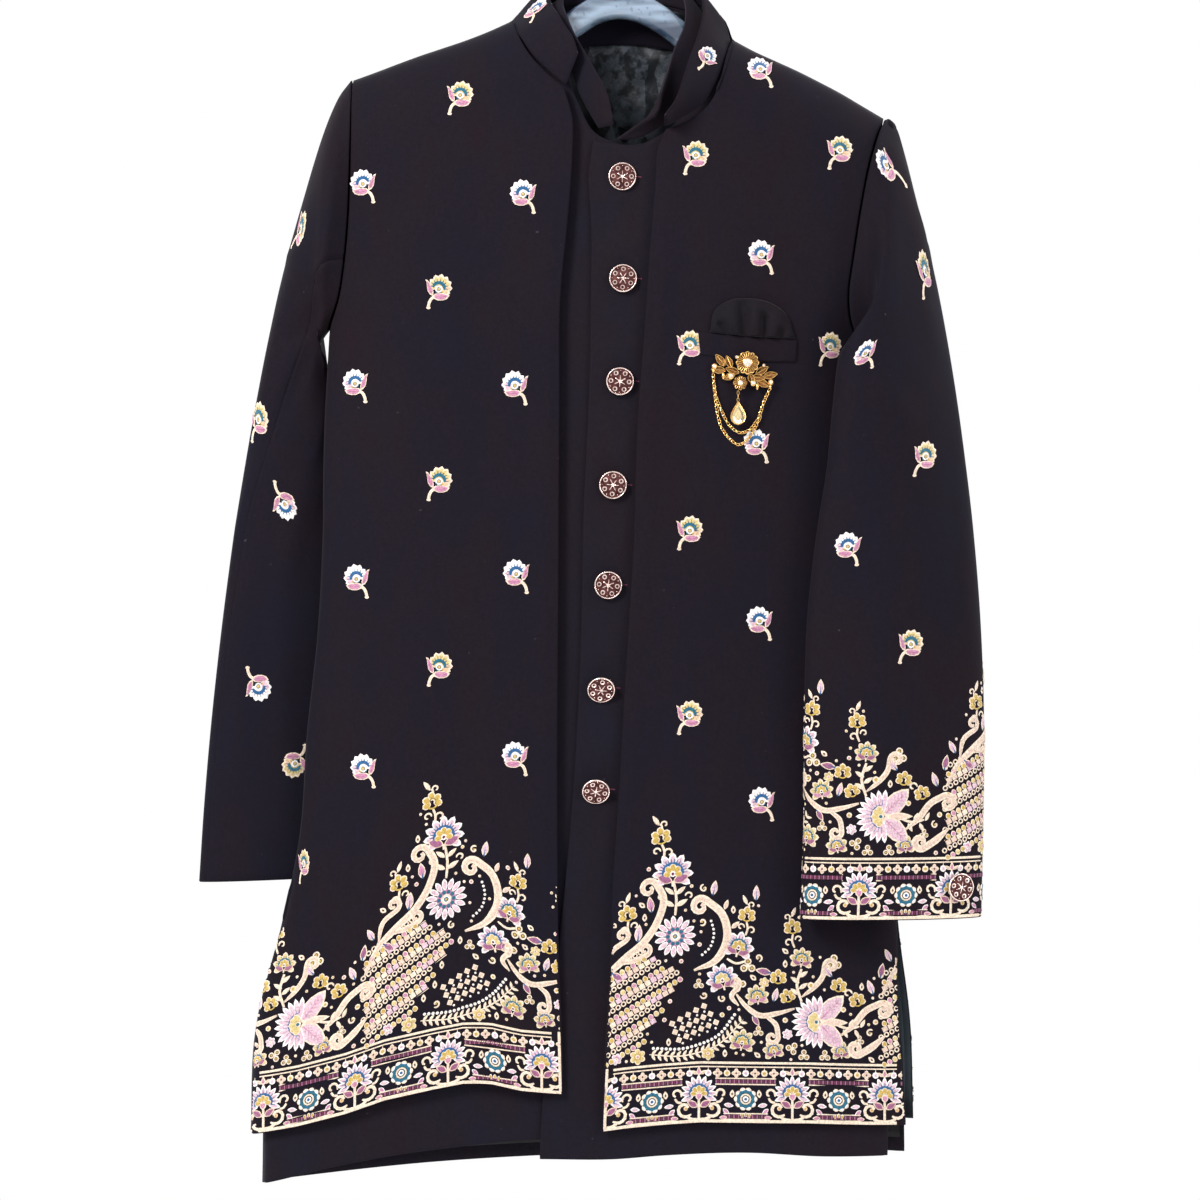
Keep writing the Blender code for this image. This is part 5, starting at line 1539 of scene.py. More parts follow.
def make_pocket():
    s = np.linspace(0, 1, 50)
    lower = along(edge(WELT_LOWER), s)
    upper = along(edge(WELT_UPPER), s)
    t = even((0.08, 2), (0.92, 8), (1, 2))
    xz = (1 - t[None, :, None]) * lower[:, None] + t[None, :, None] * upper[:, None]
    belly = np.sin(np.pi * t)[None, :] ** 0.35
    front = on_front(xz, POCKET_LIFT + WELT_WALL * 0.6)
    front[..., 1] -= WELT_WALL * 0.5 * belly + 0.15 * MM * np.sin(s * 23)[:, None] * belly
    welt = cloth_shell("pocket_welt", front, WELT_WALL, CLOTH, inside=on_front(xz, POCKET_LIFT))
    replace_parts(welt, "breast_welt")

    s = np.linspace(0, 1, 90)
    base = along(edge(PUFF_BASE), s)
    top = along(edge(PUFF_TOP), s)
    t = np.linspace(0, 1, 26)
    xz = base[:, None] + t[None, :, None] * (top - base)[:, None]
    rise = 0.35 + 0.65 * np.sin(np.pi * (0.15 + 0.85 * t))
    fullness = np.sin(np.pi * s)[:, None] ** 0.5 * rise[None]
    creases = np.zeros((len(s), len(t)))
    for place, deep, lean, width, reach in (
        (0.20, 0.85, -0.10, 0.040, 0.62), (0.41, 0.95, 0.01, 0.050, 1.1), (0.63, 0.80, -0.02, 0.035, 0.8),
        (0.84, 0.75, -0.05, 0.040, 0.5),
    ):
        away = s[:, None] - place - lean * t[None, :]
        creases -= deep * np.exp(-((away / width) ** 2)) * (1 - step_up((t - reach + 0.3) / 0.3))[None, :]
    rolls = 0.18 * np.cos(2 * np.pi * 4.5 * (s - 0.305))[:, None] * np.ones_like(t)[None]
    front = on_front(xz, POCKET_LIFT + COAT_WALL)
    front[..., 1] -= (PUFF_DEPTH - 0.4 * MM) * fullness * np.maximum(1 + rolls + creases, 0.12)
    puff = cloth_shell("pocket_puff", front, COAT_WALL, CLOTH_PUFF, inside=on_front(xz, POCKET_LIFT))
    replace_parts(puff, "pocket_square")


# ---------------------------------------------------------------- buttons

BUTTON_BODY = (
    (0.12, 0.5), (0.25, 0.6), (0.25, 2.2), (0.80, 2.25), (0.94, 2.6), (1.0, 3.2), (1.0, 3.7), (0.975, 4.25),
    (0.945, 4.4), (0.915, 4.25), (0.895, 3.8), (0.86, 3.7), (0.72, 3.8), (0.55, 4.1), (0.35, 4.35),
    (0.15, 4.45),
)
BUTTON_LEAF = ((1.3, 4.75), (2.7, 4.75), (4.3, 4.5), (5.2, 4.3))


def button_mesh(name, centre, normal, turn, replaced):
    """A cast button: a roped rim, six rings round a rayed flower on a red-brown field."""
    right, up, out = basis(normal)
    c, s = math.cos(turn), math.sin(turn)
    right, up = c * right + s * up, -s * right + c * up
    parts = Parts()

    def place(u, v, h):
        return centre + u * MM * right + v * MM * up + h * MM * out

    radius = BUTTON_RADIUS / MM
    profile = [(share * BUTTON_RADIUS, height * MM) for share, height in BUTTON_BODY]
    points, faces = lathe(profile, centre, out, 48)
    rows = len(profile)
    body_slots = [1] + [0 if 5 <= i <= 8 else 1 for i in range(rows - 1) for _ in range(48)] + [1]
    parts.add(points, faces, body_slots)
    frame_of = (right, up, out)
    for k in range(40):
        a = 2 * math.pi * k / 40
        spot = place(0.94 * radius * math.cos(a), 0.94 * radius * math.sin(a), 4.25)
        ring_up = -math.sin(a) * right + math.cos(a) * up
        slant = 0.8 * ring_up + 0.6 * (math.cos(a) * right + math.sin(a) * up)
        parts.add(*ball(spot, (0.30 * MM, 0.80 * MM, 0.32 * MM), 6, 4, (np.cross(slant, out), slant, out)), 0)
    for k in range(6):
        a = 2 * math.pi * (k + 0.5) / 6
        cu, cv = 0.65 * radius * math.cos(a), 0.65 * radius * math.sin(a)
        loop = [
            place(cu + 1.6 * math.cos(b), cv + 1.6 * math.sin(b), 4.35)
            for b in np.linspace(0, 2 * np.pi, 12, endpoint=False)
        ]
        parts.add(*rod(loop, 0.6 * MM, 6, closed=True), 0)
        parts.add(*ball(place(cu, cv, 4.1), (0.7 * MM, 0.7 * MM, 0.3 * MM), 8, 4, frame_of), 1)
        b = 2 * math.pi * k / 6
        leaf = [place(q * math.cos(b), q * math.sin(b), h) for q, h in BUTTON_LEAF]
        parts.add(*rod(leaf, np.array((0.3, 0.62, 0.45, 0.2)) * MM, 6), 0)
        tip = place(0.78 * radius * math.cos(b), 0.78 * radius * math.sin(b), 4.0)
        parts.add(*ball(tip, (0.5 * MM, 0.5 * MM, 0.4 * MM), 6, 4, frame_of), 0)
    parts.add(*ball(place(0, 0, 4.6), (1.5 * MM, 1.5 * MM, 0.8 * MM), 10, 5, frame_of), 0)
    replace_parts(parts.made(name, [COPPER_BRIGHT, COPPER_DARK]), replaced)


def front_normal(x, z, inset):
    step = 2 * MM
    left, right, low, high = (
        on_front(np.array(xz), 0.0, inset)
        for xz in ((x - step, z), (x + step, z), (x, z - step), (x, z + step))
    )
    n = np.cross(right - left, high - low)
    return n / np.linalg.norm(n)


def make_buttons():
    for number, (x, z, tilt) in enumerate(FRONT_BUTTONS, 1):
        x, z, tilt = x * MM, z * MM, math.radians(tilt)
        n = front_normal(x, z, KURTA_LEFT_INSET)
        n = np.array((n[0], n[1] * math.cos(tilt) - n[2] * math.sin(tilt), -math.sin(tilt)))
        lift = BUTTON_FOOT + TILTED_BUTTON_LIFT * math.sin(tilt)
        foot = on_front(np.array((x, z)), lift, KURTA_LEFT_INSET)
        button_mesh(f"button_{number}", foot, n, 0.5 * number, f"front_button_{number}")
    for side, (z, angle) in (("right", CUFF_BUTTON_RIGHT), ("left", CUFF_BUTTON_LEFT)):
        here, n = sleeve_spot(side, z, angle)
        button_mesh(f"button_cuff_{side}", here + CUFF_BUTTON_FOOT * n, n, 0.3, f"cuff_button_{side}")


def sleeve_spot(side, z, angle):
    """A point of a sleeve's outside at a height, and the normal there."""
    rows = SLEEVE_RIGHT if side == "right" else SLEEVE_LEFT
    order = np.argsort(rows["outer_z"])
    ring = {column: np.interp(z, rows["outer_z"][order], rows[column][order]) for column in rows}

    def ring_point(a):
        outer = np.array([ring[f"outer_{c}"] for c in "xyz"])
        inner = np.array([ring[f"inner_{c}"] for c in "xyz"])
        point = (outer + inner) / 2 + (outer - inner) / 2 * math.cos(a)
        point[0] += ring["front_x"] * max(math.sin(a), 0) + ring["back_x"] * max(-math.sin(a), 0)
        point[1] -= ring["half_depth"] * math.sin(a)
        return clear_of_body(point, side)

    here = ring_point(angle)
    n = np.cross(ring_point(angle + math.radians(2)) - here, (0.0, 0.0, 1.0))
    if np.dot(n, (here[0] - (ring["outer_x"] + ring["inner_x"]) / 2, here[1] - ring["outer_y"], 0)) < 0:
        n = -n
    return here, n / np.linalg.norm(n)


# ---------------------------------------------------------------- brooch


def front_spot(x, z, lift):
    """A point in front of the coat at x and z in millimetres."""
    return on_front(np.array((x, z)) * MM, lift * MM)


def scalloped(count, deep):
    return lambda angles: 1 + deep * np.abs(np.cos(count * angles / 2)) - deep


FACING = (np.array((1.0, 0, 0)), np.array((0, 0, 1.0)), np.array((0, -1.0, 0)))
BROOCH_GEMS = (
    # x, z, radius
    (80, -412, 1.7), (94, -420, 1.9), (113, -426, 1.9), (128, -425, 1.7), (122, -411, 1.2), (99, -404, 1.2),
)
DROP_OUTLINE = (
    # half width, height above the pivot
    (0.5, -10.0), (1.6, -12.2), (3.4, -15.0), (5.6, -19.2), (6.2, -22.6), (5.2, -25.8), (2.6, -27.9),
    (0.6, -28.5),
)
DROP_MIDDLE = 21.4


def link(middle, run, side, half_length, half_width, count):
    """The path round one link of chain."""
    turns = np.linspace(0, 2 * np.pi, count, endpoint=False)
    return [middle + (half_length * math.cos(b) * run + half_width * math.sin(b) * side) * MM for b in turns]


def make_brooch_leaves():
    plate = Parts()
    leaves = (
        # x, z, angle, length, half width
        (86, -408, 128, 12, 3.0), (93, -409.5, 112, 11, 2.8), (85, -415, 176, 12, 3.0),
        (94, -420, 205, 10, 2.8), (119, -416, 30, 12, 3.0), (126, -419.5, 12, 12, 3.0),
        (120, -425.5, -24, 12, 3.0), (111, -421, -70, 9, 2.8), (97, -416, 160, 12, 2.8),
        (116, -421, -8, 11, 2.8),
    )
    for x, z, angle, length, half in leaves:
        a = math.radians(angle)
        run = np.array((math.cos(a), 0, math.sin(a)))
        across = np.array((-math.sin(a), 0, math.cos(a)))
        rows = []
        for share, broad in ((0, 0.12), (0.25, 0.85), (0.5, 1.0), (0.75, 0.66), (1, 0.06)):
            middle = front_spot(x, z, 4.4) + run * length * (share - 0.35) * MM
            rows.append([middle - across * half * broad * MM + np.array((0, 0.7 * MM, 0)),
                         middle + np.array((0, -0.75 * MM * broad, 0)),
                         middle + across * half * broad * MM + np.array((0, 0.7 * MM, 0))])
        grid = np.array(rows)
        back = grid + np.array((0, 0.7 * MM, 0))
        flat = np.concatenate([grid.reshape(-1, 3), back.reshape(-1, 3)])
        faces = []
        for i in range(4):
            for j in range(2):
                p = i * 3 + j
                faces.append((p, p + 3, p + 4, p + 1))
                faces.append((15 + p, 15 + p + 1, 15 + p + 4, 15 + p + 3))
        rim = [0, 3, 6, 9, 12, 13, 14, 11, 8, 5, 2, 1]
        for p, q in zip(rim, rim[1:] + rim[:1]):
            faces.append((q, p, 15 + p, 15 + q))
        plate.add(flat, faces, 2)
        outline = np.concatenate([grid[:, 0], grid[::-1, 2]]) + np.array((0, -0.2 * MM, 0))
        plate.add(*rod(outline, 0.42 * MM, 6, closed=True), 0)
        vein = [front_spot(x, z, 5.2) + run * length * (share - 0.35) * MM for share in (0.05, 0.4, 0.85)]
        plate.add(*rod(vein, 0.28 * MM, 5), 0)
    for x, z, r in BROOCH_GEMS:
        plate.add(*lathe([(r * 1.35 * MM, 0), (r * 1.35 * MM, 0.9 * MM), (r * 1.05 * MM, 1.3 * MM)],
                         front_spot(x, z, 4.9), (0, -1, 0), 12), 0)
        plate.add(*lathe([(r * MM, 0.9 * MM), (r * 0.85 * MM, 1.6 * MM), (r * 0.4 * MM, 2.0 * MM)],
                         front_spot(x, z, 4.9), (0, -1, 0), 8), 1)
    for x, z, length in ((87.5, -420, 6), (116.5, -429, 6), (79, -415.5, 4), (127.5, -429, 4)):
        plate.add(*ball(front_spot(x, z, 4.8), (1.5 * MM, length * 0.5 * MM, 1.3 * MM), 8, 6, FACING), 0)
    made = plate.made("brooch_leaves", [GILT, CRYSTAL, GILT_DARK], sharp=35)
    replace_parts(made, "brooch_plate")


def make_brooch_flowers():
    for name, radius, x, z, lift in BROOCH_FLOWERS:
        flower = Parts()
        petals = 12 if radius > 8 else 8
        centre = front_spot(x, z, lift)
        steps = ((0.5, 0), (0.97, 0.6), (1.0, 1.1), (0.93, 1.5), (0.62, 1.2), (0.45, 1.5), (0.42, 2.0))
        bands = [2] + [2 if band in (3, 4) else 0 for band in range(len(steps) - 1) for _ in range(96)] + [2]
        flower.add(*lathe([(r * radius * MM, h * MM) for r, h in steps], centre, (0, -1, 0), 96,
                          scalloped(petals, 0.12)), bands)
        for k in range(petals * 2):
            a = 2 * math.pi * (k + 0.5) / (petals * 2)
            ridge = [
                centre + np.array((q * radius * math.cos(a), -h, q * radius * math.sin(a))) * MM
                for q, h in ((0.48, 1.6), (0.7, 1.75), (0.86, 1.65))
            ]
            flower.add(*rod(ridge, np.array((0.2, 0.3, 0.2)) * MM, 5), 0)
        r = 0.38 * radius
        flower.add(*lathe([(r * 1.12 * MM, 1.4 * MM), (r * 1.12 * MM, 2.3 * MM), (r * 0.96 * MM, 2.6 * MM)],
                          centre, (0, -1, 0), 24, scalloped(12, 0.1)), 0)
        flower.add(*lathe([(r * MM, 2.0 * MM), (r * 0.86 * MM, 2.9 * MM), (r * 0.45 * MM, 3.3 * MM)],
                          centre, (0, -1, 0), 8), 1)
        made = flower.made(f"{name}_form", [GILT, CRYSTAL, GILT_DARK], sharp=35)
        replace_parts(made, name)


def make_brooch_chains():
    for name, rows, lift, bead_every in (
        ("brooch_chain_short", CHAIN_SHORT, CHAIN_SHORT_LIFT, 5),
        ("brooch_chain_long", CHAIN_LONG, CHAIN_LONG_LIFT, 4),
    ):
        chain = Parts()
        count = int(np.sum(np.linalg.norm(np.diff(edge(rows), axis=0), axis=1)) / (2.3 * MM))
        path = on_front(along(edge(rows), np.linspace(0, 1, count)), lift)
        for k in range(count):
            run = path[min(k + 1, count - 1)] - path[max(k - 1, 0)]
            run /= np.linalg.norm(run)
            flat = np.array((0, -1.0, 0))
            across = np.cross(run, flat)
            if k % bead_every == bead_every // 2:
                chain.add(*ball(path[k], (1.35 * MM, 1.35 * MM, 1.2 * MM), 8, 6, FACING), 0)
                continue
            side = 0.92 * across + (0.4 if k % 2 else -0.4) * flat
            chain.add(*rod(link(path[k], run, side, 1.65, 1.1, 10), 0.36 * MM, 5, closed=True), 0)
        made = chain.made(f"{name}_links", [GILT])
        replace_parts(made, name)


def make_brooch_drop():
    drop = Parts()
    x, z = BROOCH_PIVOT[0] / MM, BROOCH_PIVOT[1] / MM
    right, up, out = FACING
    for k, side in enumerate((right, out, right)):
        middle = front_spot(x, z - 2.0 - 2.9 * k, DROP_LIFT / MM)
        drop.add(*rod(link(middle, up, side, 1.85, 0.95, 14), 0.34 * MM, 6, closed=True), 0)
    rim = [front_spot(x + r, z + h, DROP_LIFT / MM) for r, h in DROP_OUTLINE]
    rim += [front_spot(x - r, z + h, DROP_LIFT / MM) for r, h in reversed(DROP_OUTLINE)]
    drop.add(*rod(rim, 0.55 * MM, 8, closed=True), 0)
    centre = front_spot(x, z - DROP_MIDDLE, DROP_LIFT / MM)
    shape = [(r * 0.9, h + DROP_MIDDLE) for r, h in DROP_OUTLINE]
    ring = np.array([(r, 0, h) for r, h in shape] + [(-r, 0, h) for r, h in reversed(shape)]) * MM
    inner = ring * 0.55
    points = np.concatenate([
        centre + ring * 0.98 + np.array((0, 0.2 * MM, 0)),
        centre + inner + np.array((0, -2.4 * MM, 0)),
        centre + inner + np.array((0, 2.0 * MM, 0)),
    ])
    n = len(ring)
    faces = [tuple(reversed(range(n, 2 * n))), tuple(range(2 * n, 3 * n))]
    for k in range(n):
        q = (k + 1) % n
        faces.append((k, q, n + q, n + k))
        faces.append((q, k, 2 * n + k, 2 * n + q))
    drop.add(points, faces, 1)
    made = drop.made("brooch_drop_form", [GILT, CRYSTAL_WARM], body="brooch_drop", sharp=25)
    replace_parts(made, "brooch_drop")


# ---------------------------------------------------------------- hanger

HANGER_STATIONS = (
    # x, z of the middle, half height, half depth
    (-204, -188, 9, 8),
    (-196, -187, 13, 11),
    (-160, -174, 15, 12),
    (-110, -156, 15, 12),
    (-70, -136, 15, 11),
    (-35, -109, 14, 11),
    (-12, -96, 14, 11),
    (0, -94, 14, 11),
    (12, -96, 14, 11),
    (35, -108, 14, 11),
    (70, -137, 15, 11),
    (110, -171, 15, 12),
    (160, -195, 15, 12),
    (192, -210, 13, 11),
    (199, -215, 8, 7),
)


def make_hanger():
    stations = np.array(HANGER_STATIONS, float)
    x = np.concatenate([np.linspace(-204, -60, 30), np.linspace(-56, 56, 50), np.linspace(60, 199, 30)])
    rows = [smooth(x, stations[:, 0], stations[:, k]) for k in (1, 2, 3)]
    sides = 40
    angles = 2 * np.pi * np.arange(sides) / sides
    points = []
    for px, pz, half_height, half_depth in zip(x, *rows):
        rounder = np.abs(np.cos(angles)) ** 0.8 * np.sign(np.cos(angles))
        flatter = np.abs(np.sin(angles)) ** 0.75 * np.sign(np.sin(angles))
        groove = 1 - 0.10 * np.exp(-(((angles - 1.5 * np.pi) / 0.24) ** 2))
        points.append(np.stack([
            np.full(sides, px), half_depth * flatter * groove, pz + half_height * rounder
        ], axis=1) * MM)
    quads, first, last = tube(len(x), sides, flip=True)
    body = add_mesh("hanger_form", np.concatenate(points), [first, *quads, last], [PLASTIC], sharp=60)
    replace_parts(body, "hanger_body")

    radius = HOOK_INNER_RADIUS + HOOK_WIRE_RADIUS
    stem = [(0.0, z * MM) for z in (-79.6, -72, -64, -58)]
    bend = [(2.5 * MM, -52.5 * MM), (8 * MM, -47.5 * MM)]
    turn = [
        (radius * math.cos(a), -HOOK_INNER_RADIUS + radius * math.sin(a))
        for a in np.radians(np.linspace(-55, 203, 20))
    ]
    path = along(np.array([(px, 0.0, pz) for px, pz in stem + bend + turn]), np.linspace(0, 1, 90))
    hook = Parts()
    hook.add(*rod(path, HOOK_WIRE_RADIUS, 16), 0)
    collar = [(r * MM, h * MM) for r, h in ((4.6, 0.0), (5.2, 1.0), (4.2, 2.6), (2.3, 3.6), (1.8, 4.2))]
    hook.add(*lathe(collar, (0, 0, -79.4 * MM), (0, 0, 1), 24), 1)
    made = hook.made("hanger_hook_wire", [STEEL, PLASTIC])
    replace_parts(made, "hanger_hook")


# ---------------------------------------------------------------- embroidery

THREAD_SLOT = {name: i for i, name in enumerate(THREAD_NAMES)}


# Thread lines per millimetre along a stitch, and how far above the cloth each plan starts.
THREAD_PITCH = 2.2
STITCH_CLEARANCE = 0.05


def halves(*quads):
    """The two triangles of each quad, which is given as four arrays of corners."""
    triangles = [three for p, q, r, t in quads for three in ((p, q, r), (p, r, t))]
    return np.concatenate([np.stack(three, axis=1) for three in triangles])


def ray(angle, reach):
    """The x and y of a place this far out at an angle in degrees."""
    r = math.radians(angle)
    return reach * math.cos(r), reach * math.sin(r)


def arc(radius, band, x=0, y=0):
    """The places on a circle at these angles in radians."""
    return np.stack([x + radius * np.cos(band), y + radius * np.sin(band)], axis=1)


def fan(count, first, sweep):
    """Angles spread over a fan, from its sides in to its middle."""
    order = sorted(range(count), key=lambda k: -abs(k - (count - 1) / 2))
    return [first + sweep * k / (count - 1) for k in order]


def around(count, start=0):
    return [start + 360 * k / count for k in range(count)]


class Stitching:
    """Raised satin stitches drawn in millimetres on a flat plan, then laid on a surface."""

    def __init__(self):
        self.plan = []
        self.lift = []
        self.thread = []
        self.faces = []
        self.slots = []
        self.maps = []
        self.surface = None
        self.frames = [(1.0, 0.0, 0.0, 1.0, 0.0, 0.0)]

    def push(self, x, y, turn=0.0, scale=1.0, mirror=False):
        """Draw at x and y from now on, turned by degrees, scaled and mirrored left to right."""
        a, b, c, d, e, f = self.frames[-1]
        r = math.radians(turn)
        flip = -1.0 if mirror else 1.0
        p, q = scale * math.cos(r) * flip, -scale * math.sin(r)
        s, t = scale * math.sin(r) * flip, scale * math.cos(r)
        self.frames.append(
            (a * p + b * s, a * q + b * t, c * p + d * s, c * q + d * t, a * x + b * y + e, c * x + d * y + f)
        )

    def pop(self):
        self.frames.pop()

    def add(self, points, lift, thread, faces, slots):
        a, b, c, d, e, f = self.frames[-1]
        points = np.asarray(points, float)
        x = a * points[:, 0] + b * points[:, 1] + e
        y = c * points[:, 0] + d * points[:, 1] + f
        self.plan.append(np.stack([x, y], axis=1))
        self.lift.append(np.asarray(lift, float) * max(math.sqrt(abs(a * d - b * c)), 0.5))
        self.thread.append(np.asarray(thread, float))
        faces = np.asarray(faces, np.int32)
        if a * d - b * c < 0:
            faces = faces[:, ::-1]
        self.faces.append(faces)
        self.slots.append(np.broadcast_to(np.asarray(slots, np.int32), (len(faces),)))
        self.maps.append(self.surface)

    def keep(self, test):
        """Cuts away what lies outside: a test of a plan and its surface says which points stay."""
        rows = []
        for plan, lift, thread, faces, slots, surface in zip(
            self.plan, self.lift, self.thread, self.faces, self.slots, self.maps
        ):
            stays = test(plan, surface)
            if not stays.all():
                whole = stays[faces].all(axis=1)
                used, place = np.unique(faces[whole], return_inverse=True)
                faces, slots = place.reshape(-1, 3), slots[whole]
                plan, lift, thread = plan[used], lift[used], thread[used]
            if len(faces):
                rows.append((plan, lift, thread, faces, slots, surface))
        columns = [list(column) for column in zip(*rows)]
        self.plan, self.lift, self.thread, self.faces, self.slots, self.maps = columns

    def covered(self, surface, cell, start, shape):
        """Which cells of a grid over the plan of one surface have stitches on them."""
        corners = np.concatenate(
            [plan[faces] for plan, faces, used in zip(self.plan, self.faces, self.maps) if used is surface]
        )
        shares = np.array([(i, j, 6 - i - j) for i in range(7) for j in range(7 - i)]) / 6
        taken = np.zeros(shape, bool)
        for share in shares:
            spots = ((np.einsum("k,mkc->mc", share, corners) - start) / cell).astype(int)
            inside = np.all((spots >= 0) & (spots < shape), axis=1)
            taken[spots[inside, 0], spots[inside, 1]] = True
        return taken

    def patch(self, outline, rim, fill, rim_share, high):
        """A padded shape: an outline of one thread round a filling of another."""
        outline = np.asarray(outline, float)
        n = len(outline)
        area = np.sum(outline[:, 0] * np.roll(outline[:, 1], -1) - outline[:, 1] * np.roll(outline[:, 0], -1))
        if area < 0:
            outline = outline[::-1]
        middle = outline.mean(axis=0)
        inner = outline + (middle - outline) * rim_share
        points = np.concatenate([outline, inner, middle[None]])
        foot = max(0.05, high - 0.42)
        lift = np.concatenate([np.full(n, foot), np.full(n, foot + 0.8 * (high - foot)), [high]])
        a = np.arange(n)
        b = (a + 1) % n
        to_middle = np.stack([n + a, n + b, np.full(n, 2 * n)], axis=1)
        faces = np.concatenate([halves((a, b, n + b, n + a)), to_middle])
        fill = rim if fill is None else fill
        slots = [THREAD_SLOT[rim]] * (2 * n) + [THREAD_SLOT[fill]] * n
        self.add(points, lift, points * THREAD_PITCH, faces, slots)

    def petal(self, x, y, angle, length, width, rim, fill=None, point=1.0, high=0.6, rim_share=0.26):
        """A petal or leaf from its base at x and y; point is 0 for a round end and 1 for a sharp one."""
        u = np.array((0.0, 0.12, 0.35, 0.62, 0.85, 1.0))
        blunt = np.array((0.25, 0.62, 0.95, 1.0, 0.72, 0.0))
        sharp = np.array((0.12, 0.55, 1.0, 0.86, 0.42, 0.0))
        w = (blunt * (1 - point) + sharp * point) * width / 2
        left = np.stack([u * length, w], axis=1)
        right = np.stack([u[-2::-1] * length, -w[-2::-1]], axis=1)
        shape = np.concatenate([right[::-1], left[::-1]])
        r = math.radians(angle)
        turn = np.array(((math.cos(r), math.sin(r)), (-math.sin(r), math.cos(r))))
        self.patch(shape @ turn + (x, y), rim, fill, rim_share, high)

    def petals(self, x, y, reach, angles, length, width, *looks):
        """Petals out of a middle, each from this far out of it."""
        for angle in angles:
            dx, dy = ray(angle, reach)
            self.petal(x + dx, y + dy, angle, length, width, *looks)

    def spoke(self, x, y, angle, near, far, *looks):
        """A straight stroke out from a place."""
        self.stroke([(x + dx, y + dy) for dx, dy in (ray(angle, near), ray(angle, far))], *looks)

    def stroke(self, points, width, colour, taper=(0.35, 0.35), high=0.45, steps=3):
        """A cord along points: its width, or several from end to end, and the shares left at its ends."""
        points = np.asarray(points, float)
        if len(points) > 2:
            points = along(points, np.linspace(0, 1, max(steps * (len(points) - 1), 4) + 1))
        n = len(points)
        run = np.gradient(points, axis=0)
        run /= np.linalg.norm(run, axis=1, keepdims=True) + 1e-9
        side = np.stack([-run[:, 1], run[:, 0]], axis=1)
        share = np.linspace(0, 1, n)
        broad = np.interp(share, np.linspace(0, 1, len(width)), width) if isinstance(width, tuple) else width
        body = np.minimum(1, np.minimum(taper[0] + share * 4, taper[1] + (1 - share) * 4)) * broad / 2
        left, right = points + side * body[:, None], points - side * body[:, None]
        all_points = np.concatenate([left, points, right])
        foot = max(0.05, high - 0.35)
        lift = np.concatenate([np.full(n, foot), np.full(n, high), np.full(n, foot)])
        lines = np.tile(run_lengths(points) * THREAD_PITCH, 3)
        uv = np.stack([lines, np.repeat((1.0, 0.0, -1.0), n)], axis=1)
        a = np.arange(n - 1)
        faces = halves((n + a, n + a + 1, a + 1, a), (2 * n + a, 2 * n + a + 1, n + a + 1, n + a))
        self.add(all_points, lift, uv, faces, THREAD_SLOT[colour])

    def dot(self, x, y, radius, colour, centre=None, high=0.5, sides=8):
        a = 2 * np.pi * np.arange(sides) / sides
        ring = np.stack([np.cos(a), np.sin(a)], axis=1) * radius + (x, y)
        self.patch(ring, colour, centre, 0.5, high)

    def circle(self, x, y, radius, width, colour, sides=16, high=0.45):
        a = 2 * np.pi * np.arange(sides) / sides
        ring = np.stack([np.cos(a), np.sin(a)], axis=1)
        points = np.concatenate([ring * (radius + k * width / 2) for k in (1, 0, -1)]) + (x, y)
        foot = max(0.05, high - 0.35)
        lift = np.repeat((foot, high, foot), sides)
        uv = np.stack([np.tile(a * radius * THREAD_PITCH, 3), np.repeat((1.0, 0.0, -1.0), sides)], axis=1)
        i = np.arange(sides)
        j = (i + 1) % sides
        faces = halves((i, j, sides + j, sides + i), (sides + i, sides + j, 2 * sides + j, 2 * sides + i))
        self.add(points, lift, uv, faces, THREAD_SLOT[colour])

    def spots(self, x, y, radius, count, size, colour, start):
        """Beads in a ring."""
        for k in range(count):
            a = math.radians(start) + 2 * math.pi * k / count
            self.dot(x + radius * math.cos(a), y + radius * math.sin(a), size, colour, sides=6)

    def made(self, name, flip=False):
        """Lays the plan on its surfaces and joins it into one piece."""
        starts = np.cumsum([0] + [len(plan) for plan in self.plan])
        points = np.zeros((starts[-1], 3))
        for surface in dict.fromkeys(self.maps):
            mine = [k for k, used in enumerate(self.maps) if used is surface]
            rows = np.concatenate([np.arange(starts[k], starts[k + 1]) for k in mine])
            plan = np.concatenate([self.plan[k] for k in mine])
            lift = np.concatenate([self.lift[k] for k in mine])[:, None]
            base, outward = surface(plan[:, 0], plan[:, 1])
            points[rows] = base + outward * (lift + STITCH_CLEARANCE) * MM
        faces = np.concatenate([f + start for f, start in zip(self.faces, starts)])
        if flip:
            faces = faces[:, ::-1]
        slots = np.concatenate(self.slots)
        uvs = np.concatenate(self.thread)
        return add_mesh(name, points, faces, THREAD_MATERIALS, slots=slots, uvs=uvs, sharp=0)


# The scattered sprigs: a cupped flower on a bent stem, in two colourings.


